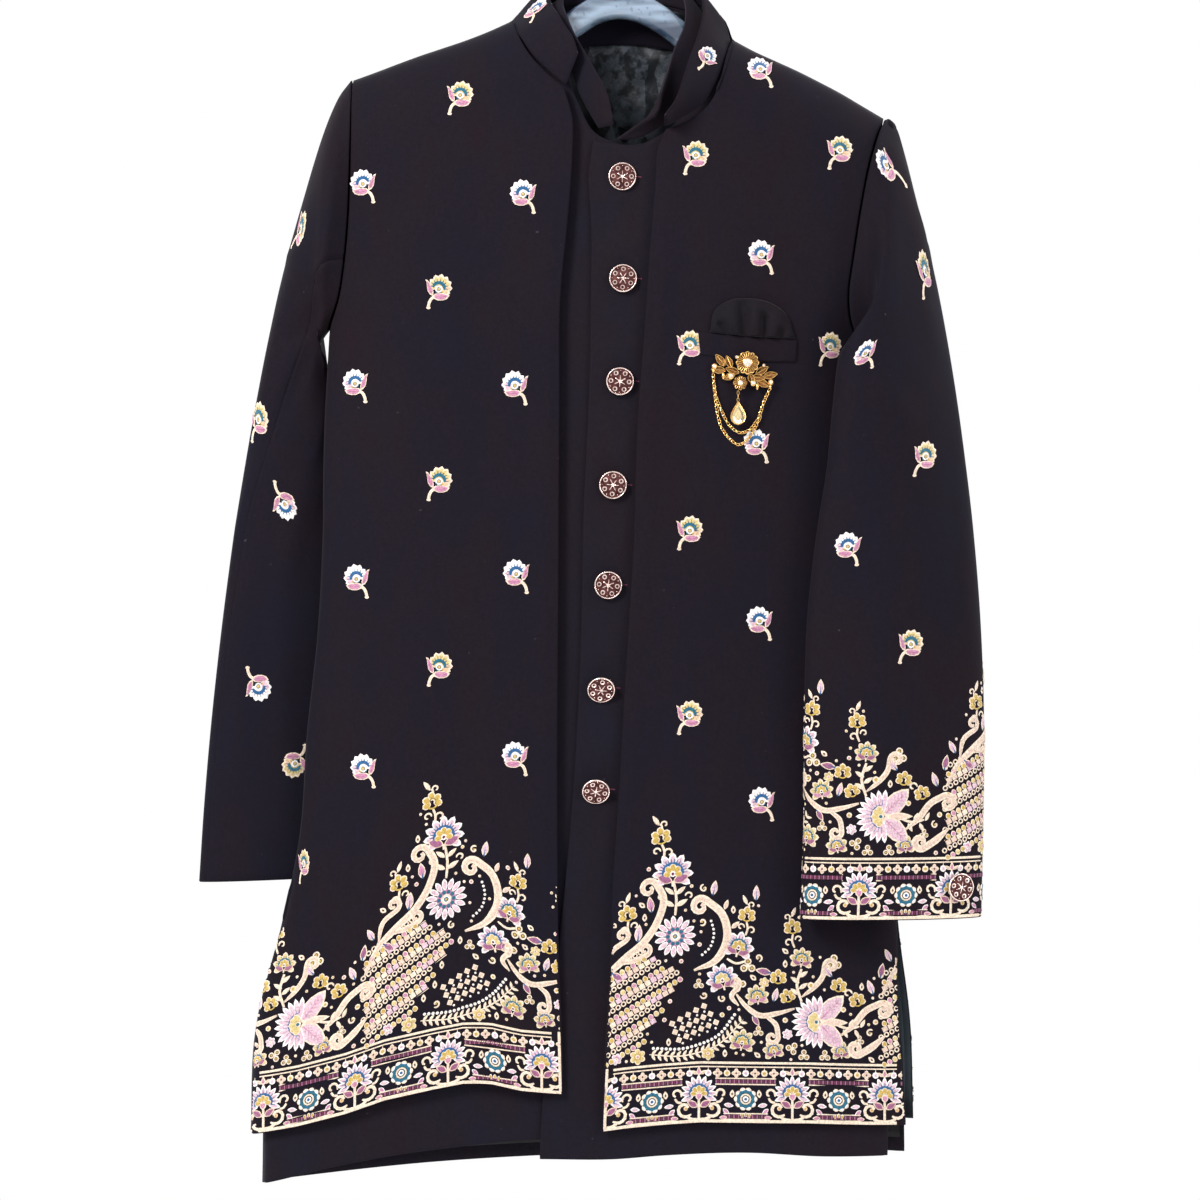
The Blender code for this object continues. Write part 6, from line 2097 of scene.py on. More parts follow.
def sprig(s, x, y, kind="a", turn=0.0, scale=1.0, squeeze=1.0, mirror=False):
    """A sprig about 23 by 28 mm: kind a leans right with pale pink petals, kind b leans left in yellow."""
    flip = (kind == "b") != mirror
    s.push(x, y, turn, scale, mirror=flip)
    if squeeze != 1.0:
        a, b, c, d, e, f = s.frames[-1]
        s.frames[-1] = (a * squeeze, b * squeeze, c, d, e, f)
    lash = "blue" if kind == "a" else "teal"
    rim, upper, lower = ("white", "white", "pink") if kind == "a" else ("cream", "butter", "peach")
    cx, cy = -1.2, 1.6
    for angle, length, width, fill in (
        (206, 10.0, 5.8, lower), (180, 11.0, 6.0, lower), (22, 9.0, 5.6, upper), (46, 10.2, 6.0, upper),
        (154, 11.4, 6.2, upper), (128, 11.8, 6.2, upper), (76, 11.4, 6.2, upper), (102, 12.0, 6.2, upper),
    ):
        s.petals(cx, cy, 0.8, [angle], length, width, rim, fill, 0.0, 0.55, 0.3)
    band = np.radians(np.linspace(12, 196, 9))
    s.stroke(arc(5.0, band, cx, cy), 2.9, lash, (0.4, 0.4), 0.9, 1)
    for k in range(9):
        s.spoke(cx, cy, 18 + 168 * k / 8, 5.6, 8.2, 1.0, lash, (0.9, 0.3), 0.95)
    s.dot(cx, cy - 0.6, 3.2, "white", "butter", 1.0, 12)
    s.circle(cx, cy - 0.6, 1.5, 0.9, "brown", 10, 1.1)
    s.dot(cx, cy - 0.6, 0.9, "gold", "gold", 1.15)
    s.dot(cx - 3.0, cy - 3.0, 1.0, "gold", high=0.95)
    s.dot(cx + 2.4, cy - 2.9, 0.8, "teal", high=0.95)
    s.patch(
        [(-10.6, -4.6), (-8.4, -7.6), (-4.8, -8.8), (-0.6, -8.8), (2.8, -7.4), (4.4, -5.0), (2.2, -3.0),
         (-1.0, -2.6), (-4.6, -2.8), (-8.2, -3.4)],
        "cream", "rose", 0.2, 0.85,
    )
    s.stroke([(-7.4, -5.2), (-3.4, -6.0), (0.8, -5.4)], 0.7, "mauve", (0.3, 0.3), 1.0)
    s.patch(
        [(3.6, -5.0), (6.4, -3.6), (8.4, -0.6), (9.0, 3.0), (9.4, 6.6), (10.4, 9.6), (8.4, 8.8), (6.4, 5.8),
         (4.6, 2.6), (3.4, -1.2)],
        "cream", "rose", 0.2, 0.95,
    )
    s.stroke([(5.2, -2.0), (6.8, 1.4), (7.6, 5.0)], 0.7, "mauve", (0.3, 0.3), 1.1)
    s.stroke([(2.6, -5.4), (5.4, -7.4), (7.2, -10.8), (8.0, -14.4)], 2.6, "cream", (0.9, 0.9), 0.7)
    s.stroke([(6.2, -14.6), (8.0, -15.4), (9.6, -14.4)], 1.8, "cream", (0.5, 0.5), 0.6)
    s.pop()


# ---------------------------------------------------------------- border


def stitched_arc(s, radius, first, last, colour, count):
    """A dark band round a flower's heart, with lashes out over its petals."""
    band = np.radians(np.linspace(first, last, 10))
    s.stroke(arc(radius, band), radius * 0.34, colour, (0.5, 0.5), 0.85, 1)
    for k in range(count):
        angle = first + (last - first) * k / (count - 1)
        s.spoke(0, 0, angle, radius, 1.5 * radius, radius * 0.15, colour, (0.9, 0.3), 0.9, 1)


def fan_flower(s, x, y, scale):
    """Eleven narrow petals over a row of small scallops on a cone, on a stem with two leaves."""
    s.push(x, y, 0, scale)
    s.petals(0, 0, 4.6, fan(11, -20, 220), 10.4, 4.3, "white", "pink", 0.6, 0.5, 0.34)
    stitched_arc(s, 7.0, -14, 194, "blue", 13)
    s.petals(0, 0, 1.4, fan(5, 4, 172), 6.0, 4.0, "cream", "gold", 0.05, 1.0, 0.26)
    cup = [(-3.0, 0.2), (-2.4, -3.2), (0, -5.6), (2.4, -3.2), (3.0, 0.2), (0, 1.2)]
    s.patch(cup, "cream", "rose", 0.3, 1.05)
    s.spots(0, -0.6, 1.5, 3, 0.6, "rose", 90)
    s.stroke([(0, -5.0), (0, -22.0)], 2.2, "cream", (0.9, 0.9), 0.6)
    for side in (-1, 1):
        s.petal(side * 1.0, -10.4, 90 - side * 58, 10.2, 5.6, "blush", "mauve", 0.85, 0.75)
        s.stroke([(side * 2.4, -9.4), (side * 7.2, -6.6)], 0.8, "maroon", (0.4, 0.2), 0.9)
    s.pop()


def curl(s, x, y, radius, start, sweep, width, colour, shrink=0.45):
    """A scroll that winds inwards."""
    a = np.radians(start + np.linspace(0, sweep, 10))
    r = radius * np.linspace(1, shrink, 10)
    s.stroke(np.stack([x + r * np.cos(a), y + r * np.sin(a)], axis=1), width, colour, (0.5, 0.7), 0.6, 1)


def rosette(s, x, y, radius, beads):
    """A round flower: a scalloped edge, a ring of raised beads, and a pale eye."""
    half = radius * 0.5
    s.petals(x, y, half, around(beads), half, half, "cream", "white", 0.0, 0.4, 0.3)
    s.circle(x, y, radius * 0.62, radius * 0.22, "teal", 20, 0.75)
    s.spots(x, y, radius * 0.64, beads, radius * 0.17, "teal", 180 / beads)
    for k in range(beads):
        s.lift[-1 - k] = s.lift[-1 - k] + 0.35
    s.circle(x, y, radius * 0.4, radius * 0.14, "cream", 14, 0.8)
    s.dot(x, y, radius * 0.26, "white", "blue", 0.85)


def ladder(s, x0, x1, y, height, pitch):
    """A band of upright blocks between two fine lines."""
    count = max(int((x1 - x0) / pitch), 1)
    step = (x1 - x0) / count
    for k in range(count):
        x = x0 + (k + 0.5) * step
        reach = height * 0.42
        s.stroke([(x, y - reach), (x, y + reach)], step * 0.8, ("mauve", "maroon")[k % 2], (0.9, 0.9), 0.45)
    for side in (-1, 1):
        rail = y + side * 0.66 * height
        s.stroke([(x0, rail), (x1, rail)], 1.2, "cream", (0.9, 0.9), 0.55)


def diamond(s, x, y, size):
    s.petals(x, y, 0, around(4), size, size * 0.85, "cream", "blush", 0.35, 0.45)
    s.dot(x, y, size * 0.26, "brown", sides=4, high=0.75)


def seed(s, x, y, turn, size=6.8):
    s.petals(x, y, -size / 2, [turn], size, 0.62 * size, "cream", "brown", 0.8, 0.5, 0.62)


REPEAT = 79.9


def border_repeat(s, x):
    """One repeat of the border, in a plan whose x runs along the hem and whose y is the height over it."""
    s.push(x, 0)
    for side in (-1, 1):
        s.push(0, 0, 0, 1.0, side < 0)
        curl(s, 12.0, 12.0, 7.2, -140, 300, 2.7, "cream")
        s.dot(11.2, 12.4, 1.9, "peach", "gold")
        s.stroke([(0.6, 2.6), (6.0, 3.0), (10.4, 5.4)], 2.6, "cream", (0.7, 0.6))
        curl(s, 19.0, 25.0, 4.6, 210, -280, 2.0, "cream")
        s.stroke([(14.6, 17.6), (18.0, 18.2), (20.4, 21.4)], 2.0, "cream", (0.6, 0.8))
        s.petal(21.6, 15.6, -8, 8.2, 4.0, "white", "pink", 0.8)
        s.petal(20.6, 12.0, -40, 7.0, 3.6, "white", "rose", 0.8)
        seed(s, 28.4, 25.0, 84)
        s.petal(17.6, 4.4, 2, 7.0, 3.4, "cream", "rose", 0.8)
        s.dot(17.0, 8.4, 1.2, "white")
        s.pop()
    fan_flower(s, 0, 24.6, 1.08)
    s.pop()
    s.push(x + REPEAT / 2, 0)
    rosette(s, 0, 20.4, 10.2, 10)
    for k in (-1, 0, 1):
        s.petal(k * 3.4, 9.0 - abs(k) * 0.6, -90, 4.6, 2.8, "white", "gold", 0.9, 0.45)
    s.pop()
    ladder(s, x + 21, x + REPEAT - 21, 5.4, 3.8, 1.9)
    ladder(s, x + 14, x + REPEAT - 14, 35.4, 3.8, 1.9)
    for k in range(10):
        px = x + 8.0 * k
        if k == 0:
            s.petal(px - 1.2, 41.4, 150, 6.4, 3.0, "cream", "blush", 0.9)
            s.petal(px + 1.2, 41.4, 30, 6.4, 3.0, "cream", "blush", 0.9)
            s.patch([(px - 2.6, 42.6), (px, 39.6), (px + 2.6, 42.6), (px, 48.4)], "cream", "rose", 0.4, 0.6)
        elif k % 2:
            s.dot(px, 42.4, 2.9, ("white", "cream")[(k // 2) % 2], ("pink", "gold")[(k // 2) % 2], 0.5)
            s.stroke([(px, 44.8), (px, 47.2)], 1.0, "cream", (0.8, 0.4))
        else:
            diamond(s, px, 42.4, 4.2)


def border_lines(s, x0, x1):
    """The double line above the border and the cord along the hem."""
    steps = max(int((x1 - x0) / 8), 2)
    for y, width in ((1.4, 2.6), (47.8, 1.1), (51.2, 2.0)):
        line = np.stack([np.linspace(x0, x1, steps), np.full(steps, y)], axis=1)
        s.stroke(line, width, "cream", (0.9, 0.9), 0.6, 1)


# ---------------------------------------------------------------- the large hem panels

# Ordinary motifs of the tradition: scrolls, shells, fans, rosettes, trefoils and banded fields.


def leaf(s, x, y, angle, size, fill="pink"):
    """A pointed leaf with a dark rib."""
    s.petal(x, y, angle, size, size * 0.46, "cream", fill, 0.9, 0.55, 0.22)
    s.spoke(x, y, angle, 0, 0.6 * size, (size * 0.16, size * 0.05), "blue", (0.8, 0.5), 0.7)


def shell(s, x, y, size, turn=0.0):
    """A yellow bud of two lobes round a swirl."""
    s.push(x, y, turn, size / 7.0)
    s.petals(0, 0, 1.2, (200, -20, 150, 30, 90), 6.4, 5.2, "cream", "gold", 0.0, 0.55)
    curl(s, 0, 0.6, 3.2, -60, 300, 1.0, "brown", 0.3)
    s.stroke([(-4.6, -2.4), (0, -4.6), (4.6, -2.4)], 1.2, "gold", (0.4, 0.4), 0.75)
    s.pop()


def shoot(s, x, y, size, turn, lean):
    """A shell bud on a short stem, with a pointed tip and curls."""
    s.push(x, y, turn, size / 30.0, lean < 0)
    s.stroke([(0, 0), (1.4, 6), (0, 12)], 1.8, "cream", (0.8, 0.8))
    curl(s, 4.6, 4.6, 3.6, 190, -290, 1.5, "cream")
    curl(s, -4.4, 7.0, 3.0, -10, 290, 1.4, "cream")
    shell(s, 0, 17.0, 7.4)
    s.stroke([(0, 22), (1.6, 25), (0.4, 27)], 1.5, "cream", (0.8, 0.8))
    curl(s, 3.6, 26.4, 2.6, 190, -280, 1.3, "cream")
    s.petal(-0.4, 26.4, 118, 9.0, 3.4, "cream", "cream", 0.9)
    s.pop()


def trefoil(s, x, y, size, turn=0.0):
    for k in range(3):
        dx, dy = ray(turn + 90 + 120 * k, 0.52 * size)
        cx, cy = x + dx, y + dy
        s.circle(cx, cy, size * 0.34, size * 0.2, "cream", 10, 0.5)
        s.dot(cx, cy, size * 0.16, "gold")
    s.dot(x, y, size * 0.2, "cream")


def cord(s, points, width, hook):
    """A thick padded scroll with a paler edge.

    hook is the size of the curl at its far end, positive to the left.
    """
    fine = along(np.asarray(points, float), np.linspace(0, 1, 6 * len(points)))
    if hook:
        side, size = math.copysign(1, hook), abs(hook)
        run = fine[-1] - fine[-2]
        angle = math.degrees(math.atan2(run[1], run[0]))
        inward = math.radians(angle + side * 90)
        centre = fine[-1] + size * np.array((math.cos(inward), math.sin(inward)))
        wound = np.radians(angle - side * 90 + side * np.linspace(0, 380, 14)[1:])
        reach = size * np.linspace(1, 0.3, 14)[1:]
        fine = np.concatenate([fine, centre + reach[:, None] * arc(1, wound)])
    shares = (0.45, 1, 1, 0.95, 0.6) if hook else (0.5, 1, 1, 0.4)
    ends = tuple(share * width for share in shares)
    s.stroke(fine, ends, "cream", (0.6, 0.8), 0.65, 1)
    s.stroke(fine, tuple(0.42 * w for w in ends), "blush", (0.5, 0.8), 0.95, 1)


def blossom(s, x, y, size, rim, fill, heart, turn, ring="blue"):
    """A round flower with rounded petals, a stitched ring and a bead."""
    s.petals(x, y, 0.16 * size, around(6, turn), 0.86 * size, 4.2 * size / 6, rim, fill, 0.05, 0.5)
    if size > 5:
        s.circle(x, y, 0.38 * size, 0.16 * size, ring, 12, 0.85)
    s.dot(x, y, 0.28 * size, rim, heart, 0.85)


def open_flower(
    s, x, y, size, turn, petals, rim="white", fill="pink", heart="gold", ring="blue", cup="mauve"
):
    """A flower seen from the side: a wide fan, a stitched ring and small scallops, held by two sepals."""
    s.push(x, y, turn, size / 14.0)
    s.petals(0, 0, 2.4, fan(petals, -34, 248), 11.8, 50.0 / petals, rim, fill, 0.15, 0.5, 0.3)
    stitched_arc(s, 6.6, -24, 204, ring, 2 * petals)
    s.petals(0, 0, 0.8, fan(5, -10, 200), 6.4, 4.4, "cream", heart, 0.05, 1.0, 0.28)
    s.dot(0, -0.4, 2.2, "white", "maroon", 1.15)
    for side in (-1, 1):
        s.petal(side * 0.4, -5.6, 90 - side * 70, 11.4, 6.2, "blush", cup, 0.8, 0.9, 0.2)
    s.stroke([(0, -5.4), (0, -9.0)], 2.2, "cream", (0.9, 0.7), 0.8)
    s.pop()


def great_rosette(s, x, y, radius):
    """A ring of narrow pink petals, a ring of teal beads and a jewelled eye."""
    s.petals(x, y, radius * 0.44, around(15), radius * 0.58, radius * 0.27, "white", "pink", 0.25, 0.5, 0.3)
    s.dot(x, y, radius * 0.5, "rose", "white", 0.55, 16)
    for k in range(10):
        dx, dy = ray(36 * k, radius * 0.36)
        s.dot(x + dx, y + dy, radius * 0.105, "teal", high=0.95, sides=6)
    s.circle(x, y, radius * 0.2, radius * 0.09, "cream", 12, 0.8)
    s.dot(x, y, radius * 0.12, "teal", "gold", 0.95)


def lotus(s, x, y, size):
    """A lotus on its side: a fan of narrow petals before two broad ribbed leaves and a tip."""
    s.push(x, y, 0.0, size / 22.0)
    for angle in (-46, 46):
        s.petals(0, 0, 1.5, [angle], 27, 14.5, "cream", "pink", 0.75, 0.5, 0.16)
        s.spoke(0, 0, angle, 4, 22, 1.3, "rose", (0.8, 0.3), 0.75)
        for k in range(5):
            bx, by = ray(angle, 6 + 3.4 * k)
            for side in (-1, 1):
                dx, dy = ray(angle + side * 40, 4.2)
                s.stroke([(bx, by), (bx + dx, by + dy)], 0.9, "rose", (0.6, 0.4), 0.72)
    s.petal(2, 0, 0, 21, 6.0, "cream", "blush", 0.8, 0.75, 0.3)
    s.petals(0, 0, 3, fan(13, 84, 192), 17, 4.6, "white", "pink", 0.1, 0.8, 0.3)
    stitched_arc(s, 8.6, 92, 268, "blue", 14)
    s.petals(0, 0, 1.0, fan(5, 116, 128), 8.2, 5.0, "cream", "butter", 0.1, 1.1, 0.24)
    s.dot(-1.4, 0, 2.6, "cream", "teal", 1.25, 10)
    s.pop()


def row_of(s, start, end, kind, pitch, height):
    """A straight row: bricks between rails, hanging drops, diamonds or pearls."""
    start, end = np.asarray(start, float), np.asarray(end, float)
    length = np.linalg.norm(end - start)
    run = (end - start) / length
    side = np.array((-run[1], run[0]))
    count = max(int(round(length / pitch)), 1)
    angle = math.degrees(math.atan2(run[1], run[0]))
    for k in range(count):
        middle = start + run * (k + 0.5) * length / count
        if kind == "bricks":
            half = run * (length / count) * 0.43
            colour = ("blush", "cream", "pink")[k // 2 % 3]
            s.stroke([middle - half, middle + half], height, colour, (0.9, 0.9), 0.5)
        elif kind == "drops":
            top = middle + side * height * 0.34
            s.circle(*top, height * 0.2, height * 0.13, "cream", 8)
            low = middle - side * height * 0.1
            colour = ("gold", "rose", "butter")[k % 3]
            s.petal(*low, angle - 90, height * 0.56, height * 0.5, "cream", colour, 0.0, 0.55, 0.26)
        elif kind == "diamonds":
            s.patch([middle + run * height * 0.5, middle + side * height * 0.5, middle - run * height * 0.5,
                     middle - side * height * 0.5], "cream", "blush", 0.3, 0.45)
        else:
            s.dot(*middle, height * 0.42, "white", "cream")
    if kind == "bricks":
        for k in (-1, 1):
            offset = side * k * height * 0.66
            s.stroke([start + offset, end + offset], 0.8, "cream", (0.9, 0.9), 0.5)


def arc_row(s, points, kind, pitch, size):
    """A curved row of pearls or of fern leaves on a stem."""
    length = np.sum(np.linalg.norm(np.diff(along(points, np.linspace(0, 1, 40)), axis=0), axis=1))
    count = max(int(length / pitch), 2)
    spots = along(points, (np.arange(count) + 0.4) / count)
    after = along(points, np.minimum((np.arange(count) + 0.6) / count, 1))
    if kind == "fern":
        s.stroke(points, 1.2, "cream", (0.6, 0.4))
    for k in range(count):
        angle = math.degrees(math.atan2(*(after[k] - spots[k])[::-1]))
        if kind == "pearls":
            s.dot(*spots[k], size, "white", "cream")
        else:
            for side in (-1, 1):
                s.petal(*spots[k], angle + side * 52, size, size * 0.42, "cream", "cream", 0.8, 0.45)


def banded_field(s, x, y, width, rows, slope, pitch):
    """Slanting rows of bricks and drops, stepped into a lozenge."""
    run = np.array((1.0, slope)) / math.hypot(1, slope)
    down = np.array((0.0, -1.0))
    for k in range(rows):
        grow = 1.0 - 0.10 * abs(k - (rows - 1) / 2)
        start = np.array((x, y)) + down * pitch * k + run * 2.0 * (k % 2)
        end = start + run * width * grow
        if k % 2 == 0:
            row_of(s, start, end, "drops", 5.2, 9.2)
        else:
            row_of(s, start, end, "bricks", 5.6, 4.6)


def filler(s, rows):
    """Small flowers and trefoils that fill the ground: x, y, size, kind."""
    for x, y, size, kind in rows:
        if kind == "t":
            trefoil(s, x, y, size, 40 * (x % 3))
        elif kind == "y":
            blossom(s, x, y, size, "cream", "butter", "rose", x % 60, "gold")
        elif kind == "p":
            blossom(s, x, y, size, "white", "pink", "gold", x % 60)
        else:
            s.dot(x, y, size, "cream", "gold")


def panel_repeat(s, x):
    """One repeat of the large panel; heights are counted from the hem."""
    s.push(x, 0)
    # The tallest spray.
    shoot(s, 54, 226, 34, 6, 1)
    open_flower(s, 62, 214, 17.5, 0, 9)
    for side in (-1, 1):
        s.petal(64 + side, 196, 90 - side * 52, 10, 4.0, "cream", "cream", 0.9)
        s.petal(64 + side, 186, 90 - side * 62, 11, 4.4, "cream", "cream", 0.9)
        curl(s, 64 + side * 12, 194, 3.4, 90 + side * 90, -side * 260, 1.6, "cream")
    s.stroke([(63, 206), (65, 192), (64, 178)], 2.2, "cream", (0.8, 0.8))
    great_rosette(s, 64, 160, 17.5)
    # The trunk that climbs from the left, and its shoots.
    cord(s, [(-6, 112), (4, 130), (20, 144), (38, 158), (50, 176), (54, 194), (48, 206)], 6.4, 7.4)
    cord(s, [(14, 142), (28, 142), (40, 146)], 4.4, 5)
    cord(s, [(6, 136), (10, 152), (22, 160)], 4.4, 5.6)
    shoot(s, 26, 164, 32, 8, -1)
    leaf(s, 32, 158, 84, 15)
    leaf(s, 44, 182, 98, 14, "rose")
    leaf(s, 10, 134, -38, 13, "mauve")
    leaf(s, 2, 140, 118, 12)
    # The hooked crescent to the right, lined with pearls.
    cord(s, [(80, 130), (98, 138), (108, 156), (104, 178), (90, 190)], 6.8, 7.4)
    arc_row(s, [(86, 142), (94, 150), (97, 162), (94, 174)], "pearls", 3.4, 1.2)
    for k, (px, py, turn) in enumerate(((112, 166, 40), (111, 152, 20), (106, 182, 70))):
        s.petal(px, py, turn, 9, 4.0, "cream", "blush", 0.9)
    leaf(s, 96, 194, 78, 13)
    open_flower(s, 118, 150, 13.5, -14, 7, "white", "pink", "gold", "teal")
    s.stroke([(108, 140), (116, 136), (124, 138)], 2.0, "cream", (0.7, 0.7))
    shoot(s, 124, 160, 30, -4, 1)
    leaf(s, 133, 190, 88, 13)
    open_flower(s, 104, 122, 14.0, 14, 8, "white", "pink", "butter", "blue")
    # The slanting field and its border of checks and ferns.
    banded_field(s, -8, 124, 86, 9, 0.5, 8.8)
    for k in range(3):
        row_of(s, (58 + 3 * k, 84 - 7 * k), (92 + 5 * k, 101 - 7 * k), "diamonds", 7.2, 6.0)
        row_of(s, (61 + 3 * k, 81 - 7 * k), (92 + 5 * k, 96 - 7 * k), "pearls", 7.2, 2.4)
    arc_row(s, [(44, 66), (72, 64), (100, 74), (116, 94)], "pearls", 3.6, 1.4)
    arc_row(s, [(42, 61), (70, 57.5), (100, 66), (122, 88)], "fern", 5.2, 6.0)
    # The branch that runs on from the field.
    cord(s, [(116, 110), (124, 100), (136, 92), (152, 94), (166, 98)], 4.6, 0)
    cord(s, [(118, 100), (112, 108), (118, 116)], 4.4, 5)
    cord(s, [(140, 92), (150, 84), (152, 74)], 4.4, -5.4)
    open_flower(s, 134, 108, 10.5, 8, 7, "cream", "butter", "gold", "teal", "rose")
    leaf(s, 148, 104, 74, 12)
    leaf(s, 130, 92, -58, 11, "mauve")
    open_flower(s, 121, 69, 11.5, -8, 7, "cream", "butter", "gold", "teal", "mauve")
    open_flower(s, 148, 62, 9.5, 12, 6, "cream", "butter", "gold", "blue", "mauve")
    # The second spray over the lotus.
    shoot(s, 166, 150, 30, 6, -1)
    open_flower(s, 172, 140, 10.5, -6, 7, "cream", "butter", "gold", "teal", "mauve")
    s.stroke([(172, 132), (168, 118), (172, 104)], 2.4, "cream", (0.8, 0.8))
    cord(s, [(172, 108), (182, 116), (190, 126), (192, 136)], 4.6, -5.6)
    for k in range(4):
        side = 1 if k % 2 else -1
        s.petal(170, 110 + 5 * k, 90 - side * 56, 9, 3.8, "cream", "cream", 0.9)
    shell(s, 152, 124, 7.2)
    leaf(s, 146, 128, 168, 14, "mauve")
    shell(s, 160, 108, 6.6, 20)
    trefoil(s, 200, 138, 7.4)
    lotus(s, 186, 87, 25)
    s.stroke([(200, 86), (212, 82), (222, 84)], 2.2, "cream", (0.8, 0.6))
    shell(s, 204, 118, 7.0, -10)
    leaf(s, 198, 126, 132, 12)
    shell(s, 220, 106, 7.0, 16)
    curl(s, 212, 112, 3.6, 0, 280, 1.6, "cream")
    cord(s, [(206, 76), (216, 84), (228, 98), (240, 104)], 5.7, -7)
    cord(s, [(244, 76), (232, 66), (222, 60)], 6.3, -6)
    for k in range(4):
        side = 1 if k % 2 else -1
        s.petal(208 + 5 * k, 82 + side, side * 62, 8, 3.4, "cream", "cream", 0.9)
    leaf(s, 234, 112, 112, 13)
    leaf(s, 240, 126, 78, 13, "mauve")
    open_flower(s, 206, 62, 9.0, 6, 6, "cream", "butter", "gold", "blue", "mauve")
    filler(s, (
        (126, 134, 7.4, "t"), (118, 118, 7.0, "t"), (32, 60, 7.0, "y"), (92, 59, 6.0, "y"),
        (135, 78, 5.0, "t"), (164, 64, 6.0, "t"), (174, 58, 5.4, "t"), (192, 58, 5.4, "t"),
        (222, 72, 4.6, "t"), (14, 60, 5.0, "p"), (180, 118, 3.0, "d"), (208, 98, 2.4, "d"),
        (158, 88, 2.4, "d"), (104, 92, 2.2, "d"), (236, 88, 2.4, "d"), (84, 118, 5.0, "t"),
        (78, 202, 1.6, "d"), (50, 212, 1.6, "d"), (140, 120, 4.6, "y"), (160, 76, 4.6, "p"),
    ))
    s.pop()


def widened(mask):
    wide = mask.copy()
    wide[1:] |= mask[:-1]
    wide[:-1] |= mask[1:]
    wide[:, 1:] |= wide[:, :-1].copy()
    wide[:, :-1] |= wide[:, 1:].copy()
    return wide


def small_filling(s, x, y, room, number):
    """A small motif that fits in a room of a given radius."""
    turn = 47 * number % 360
    if room > 6.5:
        blossom(s, x, y, room * 0.86, "white", "pink", "gold", turn)
    elif room > 5.2:
        trefoil(s, x, y, room * 0.92, turn)
    elif room > 4.0:
        curl(s, x, y, room * 0.62, turn, 330, room * 0.3, "cream", 0.4)
        s.dot(x, y, room * 0.16, "gold", sides=6)
    elif room > 2.8:
        leaf_turn = 90 + 50 * (number % 3 - 1)
        if number % 3:
            seed(s, x, y, leaf_turn, room * 1.7)
        else:
            s.dot(x, y, room * 0.5, "cream", "rose", sides=7)
    elif number % 2:
        s.dot(x, y, room * 0.5, "cream", ("gold", "cream", "pink")[number % 3], sides=6)


def fill_ground(s, surface, x0, x1, low, high):
    """Sows small motifs on the bare ground in between the large ones."""
    cell = 1.2
    shape = (int((x1 - x0) / cell), int((high - low) / cell))
    taken = s.covered(surface, cell, (x0, low), shape)
    near = taken.astype(float)
    for axis in (0, 1):
        total = np.cumsum(near, axis=axis)
        before = np.maximum(np.arange(shape[axis]) - 9, 0)
        after = np.minimum(np.arange(shape[axis]) + 9, shape[axis] - 1)
        near = (np.take(total, after, axis=axis) - np.take(total, before, axis=axis)) / 18
    order = np.random.default_rng(11)
    number = 0
    for reach in (6, 5, 4, 3, 2):
        grown = taken.copy()
        for _ in range(reach):
            grown = widened(grown)
        spots = np.argwhere(~grown & (near > 0.3))
        blocked = np.zeros(shape, bool)
        for i, j in order.permutation(spots):
            if blocked[i, j]:
                continue
            number += 1
            small_filling(s, x0 + (i + 0.5) * cell, low + (j + 0.5) * cell, (reach + 0.3) * cell, number)
            wide = 2 * reach
            blocked[max(i - wide, 0) : i + wide + 1, max(j - wide, 0) : j + wide + 1] = True
            taken[max(i - reach + 1, 0) : i + reach, max(j - reach + 1, 0) : j + reach] = True


# Where the panel's repeats start on each piece, and the ground that small motifs fill.
PANEL_PLACES = {
    "right": ((-460, -212, 36), (-330, -40)),
    "left": ((-17, 231), (-24, 256)),
    "back": ((-370, -122, 126), (-330, 260)),
    "cuff_right": ((-160, 88), (-160, 160)),
    "cuff_left": ((-198, 50), (-160, 160)),
}
GROUND_HEIGHTS = (54, 252)


def panel_motifs(s, place):
    starts, ground = PANEL_PLACES[place]
    for x in starts:
        panel_repeat(s, x)
    fill_ground(s, s.surface, *ground, *GROUND_HEIGHTS)


# ---------------------------------------------------------------- where the embroidery goes

# Sprigs on each piece: x, z, kind, turn and squeeze, in millimetres and degrees.
# The rows stand in a half drop.
SPRIGS_FRONT_RIGHT = (
    (-137, -182, "b", 0, 1), (-218, -256, "a", 0, 1), (-81, -267, "a", 0, 1), (-155, -347, "b", 0, 1),
    (-225, -426, "a", 0, 1), (-88, -429, "a", 0, 1), (-155, -510, "b", 0, 1), (-224, -593, "a", 0, 1),
    (-87, -589, "a", 0, 1), (-155, -668, "b", 0, 1), (-218, -755, "a", 0, 1), (-88, -744, "a", 0, 1),
    (-272, -838, "b", 4, 0.45),
)
SPRIGS_FRONT_LEFT = (
    (121, -158, "a", 0, 1), (63, -234, "b", 0, 1), (186, -228, "b", 0, 1), (121, -318, "a", 0, 1),
    (58, -395, "b", 0, 1), (117, -478, "a", 0, 1), (58, -552, "b", 0, 1), (120, -629, "a", 0, 1),
    (58, -709, "b", 0, 1), (122, -783, "a", 0, 1), (188, -552, "b", 0, 0.9), (190, -709, "b", 0, 0.9),
    (178, -395, "b", 0, 0.9),
)
SPRIGS_BACK = tuple(
    (-190 + 68 * column, -240 - 82 * row * 2 - 82 * (column % 2), "ab"[column % 2], 0, 1)
    for column in range(6) for row in range(4)
)
